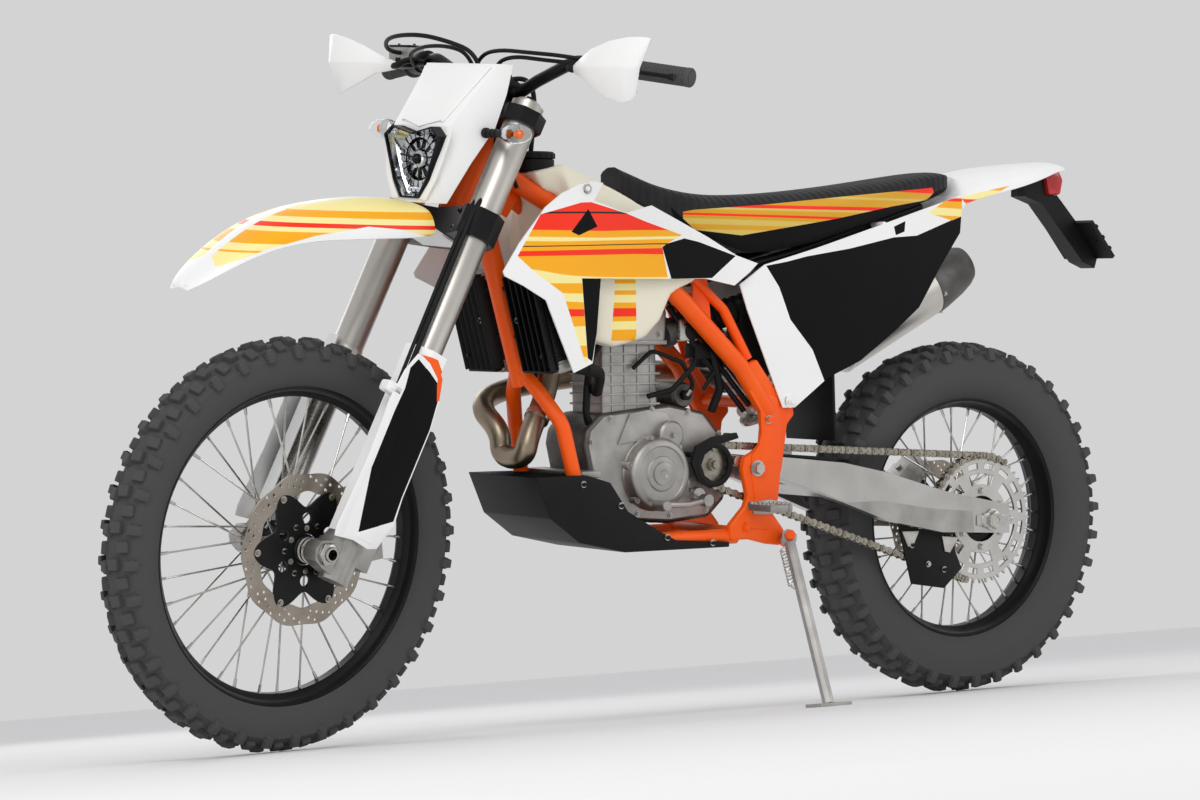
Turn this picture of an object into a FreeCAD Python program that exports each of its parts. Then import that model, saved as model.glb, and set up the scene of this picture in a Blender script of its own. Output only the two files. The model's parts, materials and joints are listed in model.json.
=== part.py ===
import FreeCAD, Part
import math
import os

from FreeCAD import Vector

# Enduro motorcycle, lengths in millimetres and angles in degrees.
# It is modelled upright with its wheels straight: X ahead, Y to the rider's left, Z up, Z = 0 on the ground.
# Then the steered pieces turn a little to the left, and the whole machine leans onto its side stand.

# Base lengths of the chassis, which the tables of shares follow
FRAME_LENGTH = 1000.0
FRAME_HEIGHT = 1000.0

# Parked attitude
LEAN_ANGLE = 8.0
STEER_ANGLE = 9.0

# Fits between pieces
SEAT_GAP = 0.3
RUNNING_GAP = 6.0
OVERRUN = 2.0

# Flat sides that stand in for round ones
TUBE_SIDES = 8
ROD_SIDES = 8
LEG_SIDES = 12
WHEEL_SIDES = 36
DRUM_SIDES = 12
DISC_SIDES = 24
NUT_SIDES = 6
FLATNESS = 0.001
SLIGHT_CORNER = math.radians(79)
SHARP_CORNER = math.radians(62)

# Steering head and fork
HEAD_SHARES = (0.363, 0.981)
RAKE_ANGLE = 26.0
FORK_REACH = 731.0
CLAMP_OFFSET = 22.0
AXLE_OFFSET = 42.0
FORK_SPREAD = 210.0
HEAD_TUBE_LENGTH = 156.0
HEAD_TUBE_RADIUS = 28.0
STEM_RADIUS = 14.0
CLAMP_GAP = 5.0
LOWER_CLAMP_HEIGHT = 52.0
UPPER_CLAMP_HEIGHT = 28.0
CLAMP_WALL = 11.0
FORK_TUBE_RADIUS = 29.0
FORK_TUBE_LENGTH = 492.0
FORK_TUBE_PROUD = 14.0
FORK_CAP_RADIUS = 21.0
FORK_CAP_HEIGHT = 9.0
FORK_LEG_RADIUS = 24.0
LUG_HEIGHT = 70.0
LUG_DROP = 34.0
LUG_WIDTH = 32.0
AXLE_CLAMP_RADIUS = 24.0

# Chain drive
COUNTERSHAFT_SHARES = (-0.0993, 0.465)
CHAIN_PITCH = 15.875
CHAIN_LINKS = 114
FRONT_TEETH = 14
REAR_TEETH = 48
CHAIN_DROOP_ANGLE = 10.85
CHAIN_LINE = 80.0
CHAIN_WIDTH = 17.0
CHAIN_HEIGHT = 15.0
CHAIN_SLOT = 8.0
REAR_ARC_SIDES = 14
FRONT_ARC_SIDES = 7
SPROCKET_THICKNESS = 5.8
ROLLER_RADIUS = 5.0

# Wheels: outer radius over the knobs, width over the knobs, crown radius across the tread
FRONT_TYRE_RADIUS = 352.0
FRONT_TYRE_WIDTH = 92.0
FRONT_CROWN_RADIUS = 52.0
FRONT_BEAD_RADIUS = 268.0
REAR_TYRE_RADIUS = 342.0
REAR_TYRE_WIDTH = 130.0
REAR_CROWN_RADIUS = 84.0
REAR_BEAD_RADIUS = 230.0
KNOB_HEIGHT = 12.0
KNOB_ROWS = 36
KNOB_LENGTH_SHARE = 0.46
RIM_DEPTH = 17.0
FRONT_RIM_WIDTH = 54.0
REAR_RIM_WIDTH = 70.0
SPOKE_COUNT = 36
SPOKE_RADIUS = 2.0
SPOKE_SIDES = 3
SPOKE_SWEEP_ANGLE = 50.0
FRONT_HUB_WIDTH = 96.0
FRONT_HUB_RADIUS = 24.0
FRONT_FLANGE_RADIUS = 34.0
REAR_HUB_WIDTH = 108.0
REAR_HUB_RADIUS = 30.0
REAR_FLANGE_RADIUS = 46.0
FLANGE_THICKNESS = 6.0
FRONT_FLANGE_SPACING = 64.0
REAR_FLANGE_SPACING = 76.0
HUB_NECK_SHARE = 0.7
CARRIER_DEPTH = 8.0
FRONT_AXLE_RADIUS = 13.0
FRONT_AXLE_BORE = 9.0
FRONT_AXLE_OUT = 17.0
REAR_AXLE_RADIUS = 12.5
REAR_AXLE_BORE = 7.0
REAR_AXLE_OUT = 14.0
AXLE_NUT_RADIUS = 19.0
FRONT_DISC_RADIUS = 130.0
REAR_DISC_RADIUS = 110.0
DISC_THICKNESS = 3.0
DISC_BAND = 26.0
DISC_LINE = 62.0
DISC_ARM_COUNT = 6
DISC_ARM_WIDTH = 16.0
DISC_BOSS_RADIUS = 52.0


def at(x_share, y, z_share):
    """A place on the chassis, by its shares of the frame's length and height."""
    return Vector(x_share * FRAME_LENGTH, y, z_share * FRAME_HEIGHT)


LEFT = Vector(0, 1, 0)
UP = Vector(0, 0, 1)
AHEAD = Vector(1, 0, 0)
RAKE = math.radians(RAKE_ANGLE)
FORK_UP = Vector(-math.sin(RAKE), 0, math.cos(RAKE))
FORK_AHEAD = Vector(math.cos(RAKE), 0, math.sin(RAKE))
HEAD = at(HEAD_SHARES[0], 0, HEAD_SHARES[1])
FRONT_AXLE = HEAD + FORK_AHEAD * (CLAMP_OFFSET + AXLE_OFFSET) - FORK_UP * FORK_REACH
FORK_Y = FORK_SPREAD / 2
LOWER_CLAMP_TOP = FORK_REACH - HEAD_TUBE_LENGTH / 2 - CLAMP_GAP
LOWER_CLAMP_LOW = LOWER_CLAMP_TOP - LOWER_CLAMP_HEIGHT
UPPER_CLAMP_LOW = FORK_REACH + HEAD_TUBE_LENGTH / 2 + CLAMP_GAP
UPPER_CLAMP_TOP = UPPER_CLAMP_LOW + UPPER_CLAMP_HEIGHT
STEER_BACK = CLAMP_OFFSET + AXLE_OFFSET


def fork(ahead, y, up):
    """A place on the fork: ahead of the front axle across the legs, and up along them from the axle."""
    return FRONT_AXLE + FORK_AHEAD * ahead + FORK_UP * up + Vector(0, y, 0)


def pitch_radius(teeth):
    return CHAIN_PITCH / (2 * math.sin(math.pi / teeth))


FRONT_PITCH = pitch_radius(FRONT_TEETH)
REAR_PITCH = pitch_radius(REAR_TEETH)


def chain_length(centres):
    """Length of the loop round both sprockets when their centres are this far apart."""
    step = REAR_PITCH - FRONT_PITCH
    lean = math.asin(step / centres)
    run = math.sqrt(centres ** 2 - step ** 2)
    return 2 * run + math.pi * (REAR_PITCH + FRONT_PITCH) + 2 * step * lean


def sprocket_centres():
    """The distance at which the chain's links close the loop."""
    wanted = CHAIN_LINKS * CHAIN_PITCH
    centres = wanted / 2 - (REAR_PITCH + FRONT_PITCH)
    for _ in range(30):
        centres += (wanted - chain_length(centres)) / 2
    return centres


COUNTERSHAFT = at(COUNTERSHAFT_SHARES[0], 0, COUNTERSHAFT_SHARES[1])
CHAIN_CENTRES = sprocket_centres()
DROOP = math.radians(CHAIN_DROOP_ANGLE)
REAR_AXLE = COUNTERSHAFT - Vector(math.cos(DROOP), 0, math.sin(DROOP)) * CHAIN_CENTRES


# Making of solids

def face_of(points):
    return Part.Face(Part.makePolygon(points + [points[0]]))


def prism(points, run):
    """A closed flat outline, pushed along a vector."""
    return face_of(points).extrude(run)


def side_plate(shares, inner, outer):
    """A plate in the machine's side plane, from its outline's shares, between two distances off the middle."""
    return prism([at(x, inner, z) for x, z in shares], Vector(0, outer - inner, 0))


def ring_of(centre, along, radius, sides):
    """Corners of a regular polygon round a centre, square to a direction."""
    along = Vector(along).normalize()
    start = along.cross(UP if abs(along.y) > 0.9 else LEFT).normalize()
    other = along.cross(start)
    turns = [2 * math.pi * (i + 0.5) / sides for i in range(sides)]
    return [centre + start * (math.cos(turn) * radius) + other * (math.sin(turn) * radius) for turn in turns]


def rod(start, end, radius, sides=ROD_SIDES):
    """A straight bar with flat sides."""
    return prism(ring_of(start, end - start, radius, sides), end - start)


def pin(start, end, radius):
    """A true cylinder, for bores and for what turns in them."""
    return Part.makeCylinder(radius, (end - start).Length, start, end - start)


def flat_bore(start, end, radius, sides):
    """A hole with flat sides that clears a round pin of this radius."""
    return rod(start, end, radius / math.cos(math.pi / sides), sides)


def tube(start, end, radius, bore):
    reach = (end - start).normalize() * OVERRUN
    return rod(start, end, radius).cut(rod(start - reach, end + reach, bore))


def quad(a, b, c, d):
    """One flat face, or two triangles across the shorter diagonal where the four corners aren't flat."""
    normal = (b - a).cross(c - a)
    if abs(normal.normalize().dot(d - a)) < FLATNESS:
        return [face_of([a, b, c, d])]
    if (c - a).Length <= (d - b).Length:
        return [face_of([a, b, c]), face_of([a, c, d])]
    return [face_of([a, b, d]), face_of([b, c, d])]


def skin(sections, closed=False):
    """A solid of flat faces through outlines with equal counts of corners; closed ones meet end to end."""
    faces = []
    following = sections[1:] + sections[:1] if closed else sections[1:]
    for one, two in zip(sections, following):
        for i in range(len(one)):
            k = (i + 1) % len(one)
            faces += quad(one[i], one[k], two[k], two[i])
    if not closed:
        faces += [face_of(sections[0]), face_of(sections[-1])]
    shell = Part.makeShell(faces)
    shell.sewShape()
    body = Part.makeSolid(shell)
    if body.Volume < 0:
        body.reverse()
    return body


def bent(points, bend):
    """A path whose corners become arcs: slight ones stay corners, broad ones get two points, sharp ones three."""
    path = [points[0]]
    for before, here, after in zip(points, points[1:], points[2:]):
        back = (before - here).normalize()
        on = (after - here).normalize()
        half = back.getAngle(on) / 2
        if half > SLIGHT_CORNER:
            path.append(here)
            continue
        cut = min(bend / math.tan(half), 0.45 * (before - here).Length, 0.45 * (after - here).Length)
        deep = cut / math.cos(half) - cut * math.tan(half)
        path.append(here + back * cut)
        if half < SHARP_CORNER:
            path.append(here + (back + on).normalize() * deep)
        path.append(here + on * cut)
    return path + [points[-1]]


def pipe(points, radius, bend, sides=TUBE_SIDES):
    """A bar with flat sides along a path, mitred at its corners."""
    path = bent(points, bend) if bend else points
    rings = [ring_of(path[0], path[1] - path[0], radius, sides)]
    for before, here, after in zip(path, path[1:], path[2:]):
        along = (here - before).normalize()
        mitre = (along + (after - here).normalize()).normalize()
        rings.append([place + along * ((here - place).dot(mitre) / along.dot(mitre)) for place in rings[-1]])
    along = (path[-1] - path[-2]).normalize()
    rings.append([place + along * (path[-1] - place).dot(along) for place in rings[-1]])
    return skin(rings)


def hoop(centre, profile, sides):
    """A ring of flat sectors round the wheel line through a centre, from (radius, y) pairs."""
    sections = []
    for i in range(sides):
        turn = 2 * math.pi * i / sides
        out = Vector(math.cos(turn), 0, math.sin(turn))
        sections.append([centre + out * radius + LEFT * y for radius, y in profile])
    return skin(sections, True)


def fused(pieces):
    return pieces[0].multiFuse(pieces[1:]).removeSplitter()


def mirrored(shape):
    return shape.mirror(Vector(), LEFT)


def mirrored_point(point):
    return Vector(point.x, -point.y, point.z)


def both_sides(shape):
    return [shape, mirrored(shape)]


def box(low, high):
    size = high - low
    return Part.makeBox(size.x, size.y, size.z, low)


# Frame
DOWN_TUBE_RADIUS = 19.0
CRADLE_RADIUS = 14.0
BEAM_RADIUS = 17.0
FRAME_BEND = 60.0
PLATE_INNER = 92.0
PLATE_THICKNESS = 16.0
CROSS_TUBE_RADIUS = 11.0
DOWN_TUBE_SHARES = ((0.362, 0.985), (0.262, 0.635))
CRADLE_SHARES = ((0.266, 0.0, 0.645), (0.247, 0.48, 0.598), (0.222, 0.84, 0.545), (0.204, 0.94, 0.455),
                 (0.168, 0.96, 0.372), (0.100, 1.0, 0.334), (-0.145, 1.0, 0.334))
CRADLE_Y = 90.0
BEAM_SHARES = ((0.346, 0.0, 1.010), (0.262, 0.42, 0.950), (0.070, 0.94, 0.838), (-0.025, 1.0, 0.760),
               (-0.153, 1.04, 0.640), (-0.210, 1.08, 0.560))
BEAM_Y = 92.0
PLATE_SHARES = ((-0.150, 0.640), (-0.190, 0.568), (-0.195, 0.530), (-0.192, 0.500), (-0.174, 0.486),
                (-0.155, 0.478), (-0.150, 0.455), (-0.162, 0.405), (-0.155, 0.388), (-0.122, 0.356),
                (-0.122, 0.328), (-0.165, 0.328), (-0.205, 0.318), (-0.238, 0.314), (-0.246, 0.342),
                (-0.218, 0.375), (-0.222, 0.400), (-0.240, 0.455), (-0.247, 0.500), (-0.252, 0.535),
                (-0.268, 0.552), (-0.264, 0.572), (-0.246, 0.592), (-0.222, 0.604), (-0.182, 0.655))
CROSS_TUBE_SHARES = ((-0.205, 0.575), (-0.138, 0.342), (-0.030, 0.762))
PIVOT_SHARES = (-0.180, 0.457)
PIVOT_BOLT_RADIUS = 8.5
PIVOT_NUT_RADIUS = 15.0
PIVOT_NUT_HEIGHT = 6.0
SHOCK_TOP_SHARES = (-0.140, 0.762)
SHOCK_Y = -30.0
SHOCK_EAR_THICKNESS = 8.0
SHOCK_EAR_SHARES = ((-0.030, 0.751), (-0.030, 0.773), (-0.150, 0.777), (-0.156, 0.762), (-0.150, 0.747))


def frame():
    """Head tube, down tube, cradle, upper beams, pivot plates and cross tubes, with the side stand's bracket."""
    low = fork(-STEER_BACK, 0, FORK_REACH - HEAD_TUBE_LENGTH / 2)
    high = fork(-STEER_BACK, 0, FORK_REACH + HEAD_TUBE_LENGTH / 2)
    pieces = [rod(low, high, HEAD_TUBE_RADIUS, LEG_SIDES)]
    pieces.append(rod(at(DOWN_TUBE_SHARES[0][0], 0, DOWN_TUBE_SHARES[0][1]),
                      at(DOWN_TUBE_SHARES[1][0], 0, DOWN_TUBE_SHARES[1][1]), DOWN_TUBE_RADIUS))
    for side in (1, -1):
        cradle = [at(x, side * y * CRADLE_Y, z) for x, y, z in CRADLE_SHARES]
        pieces.append(pipe(cradle, CRADLE_RADIUS, FRAME_BEND))
        beam = [at(x, side * y * BEAM_Y, z) for x, y, z in BEAM_SHARES]
        pieces.append(pipe(beam, BEAM_RADIUS, FRAME_BEND))
        pieces.append(side_plate(PLATE_SHARES, side * PLATE_INNER, side * (PLATE_INNER + PLATE_THICKNESS)))
        ear = SUBFRAME_Y + SUBFRAME_RADIUS + SEAT_GAP
        pieces.append(side_plate(EAR_SHARES, side * ear, side * (ear + EAR_THICKNESS)))
    for x, z in CROSS_TUBE_SHARES:
        pieces.append(rod(at(x, -PLATE_INNER, z), at(x, PLATE_INNER, z), CROSS_TUBE_RADIUS))
    for face in (SHOCK_Y - EYE_RADIUS - SEAT_GAP - SHOCK_EAR_THICKNESS, SHOCK_Y + EYE_RADIUS + SEAT_GAP):
        pieces.append(side_plate(SHOCK_EAR_SHARES, face, face + SHOCK_EAR_THICKNESS))
    pieces.append(stand_boss())
    body = fused(pieces)
    reach = FORK_UP * OVERRUN
    body = body.cut(pin(low - reach, high + reach, STEM_RADIUS + SEAT_GAP))
    top = at(SHOCK_TOP_SHARES[0], SHOCK_Y, SHOCK_TOP_SHARES[1])
    reach = LEFT * 2 * (EYE_RADIUS + SHOCK_EAR_THICKNESS)
    body = body.cut(rod(top - reach, top + reach, EYE_BOLT_RADIUS + SEAT_GAP))
    pivot = at(PIVOT_SHARES[0], 0, PIVOT_SHARES[1])
    wide = LEFT * (PLATE_INNER + PLATE_THICKNESS + OVERRUN)
    return body.cut(rod(pivot - wide, pivot + wide, PIVOT_BOLT_RADIUS + SEAT_GAP))


# Subframe
SUBFRAME_RADIUS = 9.0
SUBFRAME_Y = 62.0
SUBFRAME_TOP_SHARES = ((-0.075, 1.0, 0.795), (-0.300, 1.0, 0.850), (-0.480, 1.0, 0.903), (-0.600, 1.0, 0.938))
SUBFRAME_LOW_SHARES = ((-0.240, 1.28, 0.594), (-0.300, 1.22, 0.660), (-0.480, 1.0, 0.903))
EAR_SHARES = ((-0.054, 0.735), (-0.060, 0.806), (-0.090, 0.806), (-0.104, 0.690))
EAR_THICKNESS = 8.0


def subframe():
    """Two tubes each side that carry the seat and the rear fender, with their cross ties."""
    pieces = []
    for side in (1, -1):
        for shares in (SUBFRAME_TOP_SHARES, SUBFRAME_LOW_SHARES):
            path = [at(x, side * y * SUBFRAME_Y, z) for x, y, z in shares]
            pieces.append(pipe(path, SUBFRAME_RADIUS, 0))
    for x, _, z in (SUBFRAME_TOP_SHARES[0], SUBFRAME_TOP_SHARES[2], SUBFRAME_TOP_SHARES[3]):
        pieces.append(rod(at(x, -SUBFRAME_Y, z), at(x, SUBFRAME_Y, z), SUBFRAME_RADIUS))
    return fused(pieces)


# Swingarm: stations of the left beam as (x, low z, high z) shares, with its inner and outer faces
ARM_INNER = 90.0
ARM_WIDTH = 25.0
ARM_SHARES = ((-0.165, 0.438, 0.478, 0.68), (-0.255, 0.430, 0.474, 0.72), (-0.383, 0.387, 0.461, 0.92),
              (-0.483, 0.350, 0.440, 1.0), (-0.617, 0.323, 0.402, 1.0))
ARM_END_HALF = 27.0
ARM_END_REACH = 44.0
PIVOT_TUBE_RADIUS = 19.0
ARM_BRIDGE_SHARES = ((-0.300, 0.420), (-0.372, 0.395), (-0.372, 0.440), (-0.356, 0.456), (-0.300, 0.462))
SHOCK_FOOT_SHARES = (-0.335, 0.478)
EYE_RADIUS = 15.0
EYE_BOLT_RADIUS = 6.0


def swingarm():
    """Two beams, the pivot tube across the front, the bridge ahead of the tyre and the shock's ears."""
    sections = []
    for x, low, high, spread in ARM_SHARES:
        inner = spread * ARM_INNER
        outer = inner + ARM_WIDTH
        sections.append([at(x, inner, low), at(x, outer, low), at(x, outer, high), at(x, inner, high)])
    end = REAR_AXLE - AHEAD * ARM_END_REACH
    sections.append([end + Vector(0, y, z) for y, z in (
        (ARM_INNER, -ARM_END_HALF), (ARM_INNER + ARM_WIDTH, -ARM_END_HALF),
        (ARM_INNER + ARM_WIDTH, ARM_END_HALF), (ARM_INNER, ARM_END_HALF))])
    beam = skin(sections)
    pivot = at(PIVOT_SHARES[0], 0, PIVOT_SHARES[1])
    half = PLATE_INNER - SEAT_GAP
    pieces = both_sides(beam)
    pieces.append(rod(pivot - LEFT * half, pivot + LEFT * half, PIVOT_TUBE_RADIUS))
    bridge_half = ARM_SHARES[2][3] * ARM_INNER + ARM_WIDTH / 2
    pieces.append(side_plate(ARM_BRIDGE_SHARES, -bridge_half, bridge_half))
    foot = at(SHOCK_FOOT_SHARES[0], SHOCK_Y, SHOCK_FOOT_SHARES[1])
    for ear in (-1, 1):
        face = foot + LEFT * ear * (EYE_RADIUS + SEAT_GAP)
        pieces.append(rod(face, face + LEFT * ear * SHOCK_EAR_THICKNESS, EYE_RADIUS))
        low = Vector(foot.x - EYE_RADIUS, min(face.y, face.y + ear * SHOCK_EAR_THICKNESS),
                     at(0, 0, ARM_BRIDGE_SHARES[0][1]).z)
        pieces.append(box(low, low + Vector(2 * EYE_RADIUS, SHOCK_EAR_THICKNESS, foot.z - low.z)))
    body = fused(pieces)
    wide = LEFT * (ARM_INNER + ARM_WIDTH + OVERRUN)
    body = body.cut(rod(REAR_AXLE - wide, REAR_AXLE + wide, REAR_AXLE_RADIUS + SEAT_GAP, LEG_SIDES))
    body = body.cut(rod(pivot - wide, pivot + wide, PIVOT_BOLT_RADIUS + SEAT_GAP))
    return body.cut(rod(foot - wide, foot + wide, EYE_BOLT_RADIUS + SEAT_GAP))


def axle(centre, radius, bore, reach, nut):
    """A hollow spindle with a nut on its left end."""
    pieces = [rod(centre - LEFT * reach, centre + LEFT * reach, radius, LEG_SIDES)]
    pieces.append(rod(centre + LEFT * nut, centre + LEFT * (reach - OVERRUN), AXLE_NUT_RADIUS, NUT_SIDES))
    body = fused(pieces)
    wide = LEFT * (reach + OVERRUN)
    return body.cut(pin(centre - wide, centre + wide, bore))


def rear_axle():
    half = ARM_INNER + ARM_WIDTH
    spindle = axle(REAR_AXLE, REAR_AXLE_RADIUS, REAR_AXLE_BORE, half + REAR_AXLE_OUT, half + SEAT_GAP)
    bolt = at(PIVOT_SHARES[0], 0, PIVOT_SHARES[1])
    face = PLATE_INNER + PLATE_THICKNESS + SEAT_GAP
    reach = face + PIVOT_NUT_HEIGHT
    pivot = fused([rod(bolt - LEFT * reach, bolt + LEFT * reach, PIVOT_BOLT_RADIUS),
                   rod(bolt + LEFT * face, bolt + LEFT * reach, PIVOT_NUT_RADIUS, NUT_SIDES),
                   rod(bolt - LEFT * reach, bolt - LEFT * face, PIVOT_NUT_RADIUS, NUT_SIDES)])
    return Part.makeCompound([spindle, pivot])


# Rear shock
SPRING_RADIUS = 30.0
SPRING_WIRE = 6.0
SPRING_TURNS = 5
SHOCK_BODY_RADIUS = 22.0
SHOCK_ROD_RADIUS = 8.0
SHOCK_NECK_RADIUS = 12.0
SHOCK_SPRING_SHARES = (0.10, 0.74)
SHOCK_COLLAR_HEIGHT = 8.0


def rear_shock():
    """Damper body and rod between two bolted eyes, with the spring as a stack of rings between two collars."""
    top = at(SHOCK_TOP_SHARES[0], SHOCK_Y, SHOCK_TOP_SHARES[1])
    foot = at(SHOCK_FOOT_SHARES[0], SHOCK_Y, SHOCK_FOOT_SHARES[1])
    run = foot - top
    start = top + run * SHOCK_SPRING_SHARES[0]
    end = top + run * SHOCK_SPRING_SHARES[1]
    down = Vector(run).normalize()
    pieces = [rod(top, start, SHOCK_NECK_RADIUS), rod(start, end, SHOCK_BODY_RADIUS), rod(end, foot, SHOCK_ROD_RADIUS)]
    for place in (start, end):
        pieces.append(rod(place, place + down * SHOCK_COLLAR_HEIGHT, SPRING_RADIUS + SPRING_WIRE))
    ring_height = (end - start).Length / (2 * SPRING_TURNS)
    for turn in range(SPRING_TURNS):
        low = start + down * ring_height * (2 * turn + 1)
        pieces.append(rod(low, low + down * ring_height, SPRING_RADIUS + SPRING_WIRE / 2))
    reach = EYE_RADIUS + SEAT_GAP + SHOCK_EAR_THICKNESS
    for place in (top, foot):
        pieces.append(rod(place - LEFT * EYE_RADIUS, place + LEFT * EYE_RADIUS, EYE_RADIUS))
        pieces.append(rod(place - LEFT * reach, place + LEFT * reach, EYE_BOLT_RADIUS))
    return fused(pieces)


# Engine
CASE_LEFT = 62.0
CASE_RIGHT = 72.0
CASE_SHARES = ((0.165, 0.505), (0.150, 0.440), (0.120, 0.395), (0.060, 0.366), (-0.020, 0.360), (-0.110, 0.368),
               (-0.146, 0.400), (-0.150, 0.505), (-0.100, 0.560), (-0.020, 0.575), (0.130, 0.560), (0.160, 0.532))
CYLINDER_HALF = 50.0
CYLINDER_SHARES = ((0.118, 0.540), (-0.004, 0.540), (0.002, 0.690), (0.122, 0.690))
HEAD_HALF = 58.0
HEAD_BLOCK_SHARES = ((0.138, 0.684), (-0.014, 0.684), (-0.018, 0.742), (0.010, 0.782), (0.110, 0.786), (0.136, 0.750))
MOUNT_SHARES = (-0.152, 0.470)
MOUNT_RADIUS = 10.0
FRONT_LUG_SHARES = ((0.150, 0.461), (0.1908, 0.461), (0.1867, 0.449), (0.148, 0.449))
COVER_CENTRE_SHARES = (0.018, 0.452)
IGNITION_SHARE = 0.068
IGNITION_DEPTH = 33.0
IGNITION_CHAMFER = 12.0
IGNITION_CAP_RADIUS = 22.0
IGNITION_CAP_HEIGHT = 3.0
STARTER_SHARES = (-0.012, 0.520)
STARTER_RADIUS = 26.0
CLUTCH_SHARES = (-0.055, 0.445)
CLUTCH_SHARE = 0.066
CLUTCH_DEPTH = 30.0


def engine():
    """Cases, cylinder and head, with the lug on the cradle and the bolt between the pivot plates."""
    bolt = at(MOUNT_SHARES[0], PLATE_INNER - SEAT_GAP, MOUNT_SHARES[1])
    return fused([side_plate(CASE_SHARES, -CASE_RIGHT, CASE_LEFT),
                  side_plate(CYLINDER_SHARES, -CYLINDER_HALF, CYLINDER_HALF),
                  side_plate(HEAD_BLOCK_SHARES, -HEAD_HALF, HEAD_HALF),
                  side_plate(FRONT_LUG_SHARES, -CRADLE_Y, CRADLE_Y),
                  rod(mirrored_point(bolt), bolt, MOUNT_RADIUS)])


def domed_cover(shares, face, radius, depth, side):
    """A round cover with a bevelled rim, on the case's face."""
    centre = at(shares[0], 0, shares[1])
    out = LEFT * side
    foot = centre + out * face
    levels = ((0, radius), (depth - IGNITION_CHAMFER, radius), (depth, radius - IGNITION_CHAMFER))
    return skin([ring_of(foot + out * rise, out, reach, DRUM_SIDES) for rise, reach in levels])


def engine_covers():
    """The ignition cover with its cap and starter bump on the left, and the clutch cover on the right."""
    left = [domed_cover(COVER_CENTRE_SHARES, CASE_LEFT, IGNITION_SHARE * FRAME_LENGTH, IGNITION_DEPTH, 1)]
    cap = at(COVER_CENTRE_SHARES[0], CASE_LEFT + IGNITION_DEPTH, COVER_CENTRE_SHARES[1])
    left.append(rod(cap, cap + LEFT * IGNITION_CAP_HEIGHT, IGNITION_CAP_RADIUS))
    bump = at(STARTER_SHARES[0], CASE_LEFT, STARTER_SHARES[1])
    left.append(rod(bump, bump + LEFT * (IGNITION_DEPTH - IGNITION_CHAMFER), STARTER_RADIUS))
    right = domed_cover(CLUTCH_SHARES, CASE_RIGHT, CLUTCH_SHARE * FRAME_LENGTH, CLUTCH_DEPTH, -1)
    return Part.makeCompound([fused(left), right])


# Intake: throttle body, boot, airbox and the flap that keeps mud off the shock
THROTTLE_RADIUS = 26.0
INTAKE_Y = 30.0
THROTTLE_SHARES = ((-0.0248, 0.700), (-0.090, 0.722), (-0.262, 0.765))
AIRBOX_SHARES = ((-0.262, 0.716), (-0.262, 0.808), (-0.480, 0.868), (-0.560, 0.892), (-0.545, 0.838), (-0.420, 0.716))
AIRBOX_HALF = 52.0
FLAP_SHARES = ((-0.392, 0.716), (-0.380, 0.640), (-0.384, 0.560), (-0.388, 0.500), (-0.394, 0.500), (-0.390, 0.560),
               (-0.387, 0.640), (-0.400, 0.716))
FLAP_HALF = 74.0


def intake():
    path = [at(x, INTAKE_Y, z) for x, z in THROTTLE_SHARES]
    return fused([pipe(path, THROTTLE_RADIUS, FRAME_BEND), side_plate(AIRBOX_SHARES, -AIRBOX_HALF, AIRBOX_HALF),
                  side_plate(FLAP_SHARES, -FLAP_HALF, FLAP_HALF)])


# Exhaust
HEADER_RADIUS = 20.0
HEADER_BEND = 42.0
HEADER_Y = 100.0
HEADER_SHARES = ((0.1398, 0.0, 0.712), (0.168, 0.02, 0.710), (0.200, 0.06, 0.650), (0.214, 0.10, 0.590),
                 (0.266, 0.36, 0.525), (0.276, 0.38, 0.484), (0.276, -0.38, 0.484), (0.276, -0.40, 0.530), (0.288, -0.95, 0.572),
                 (0.225, -1.30, 0.600), (0.060, -1.32, 0.622), (-0.160, -1.34, 0.636), (-0.360, -1.36, 0.590),
                 (-0.440, -1.36, 0.612), (-0.4997, -1.36, 0.64185))
MUFFLER_SHARES = ((-0.500, 0.642), (-0.560, 0.672), (-0.800, 0.793), (-0.884, 0.835))
MUFFLER_Y = -136.0
MUFFLER_HEIGHT = 112.0
MUFFLER_WIDTH = 92.0
MUFFLER_SIDES = 12
MUFFLER_TAPER_SHARES = (0.42, 1.0, 1.0, 0.74)
OUTLET_RADIUS = 20.0
HANGER_SHARE = 0.55
HANGER_WIDTH = 18.0
HANGER_RADIUS = 14.0
HANGER_ROD_RADIUS = 6.0
OUTLET_DEPTH = 40.0


def exhaust_header():
    """From the head's port down in front of the engine, across and back along the right side."""
    return pipe([at(x, y * HEADER_Y, z) for x, y, z in HEADER_SHARES], HEADER_RADIUS, HEADER_BEND)


def muffler():
    """An oval can that narrows to the header in front and to its outlet behind."""
    places = [at(x, MUFFLER_Y, z) for x, z in MUFFLER_SHARES]
    along = (places[-1] - places[0]).normalize()
    across = along.cross(LEFT).normalize()
    sections = []
    for place, taper in zip(places, MUFFLER_TAPER_SHARES):
        ring = []
        for i in range(MUFFLER_SIDES):
            angle = 2 * math.pi * (i + 0.5) / MUFFLER_SIDES
            ring.append(place + across * (math.cos(angle) * taper * MUFFLER_HEIGHT / 2)
                        + LEFT * (math.sin(angle) * taper * MUFFLER_WIDTH / 2))
        sections.append(ring)
    high, low = (at(x, -y * SUBFRAME_Y, z) for x, y, z in (SUBFRAME_LOW_SHARES[2], SUBFRAME_LOW_SHARES[1]))
    grip = low + (high - low) * HANGER_SHARE
    half = (high - low).normalize() * HANGER_WIDTH / 2
    body = fused([skin(sections), rod(grip - half, grip + half, HANGER_RADIUS),
                  rod(grip - LEFT * HANGER_RADIUS / 2, places[1], HANGER_ROD_RADIUS)])
    body = body.cut(flat_bore(grip - half * 2, grip + half * 2, SUBFRAME_RADIUS + SEAT_GAP, TUBE_SIDES))
    end = places[-1]
    return body.cut(rod(end - along * OUTLET_DEPTH, end + along * OVERRUN, OUTLET_RADIUS, LEG_SIDES))


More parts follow.
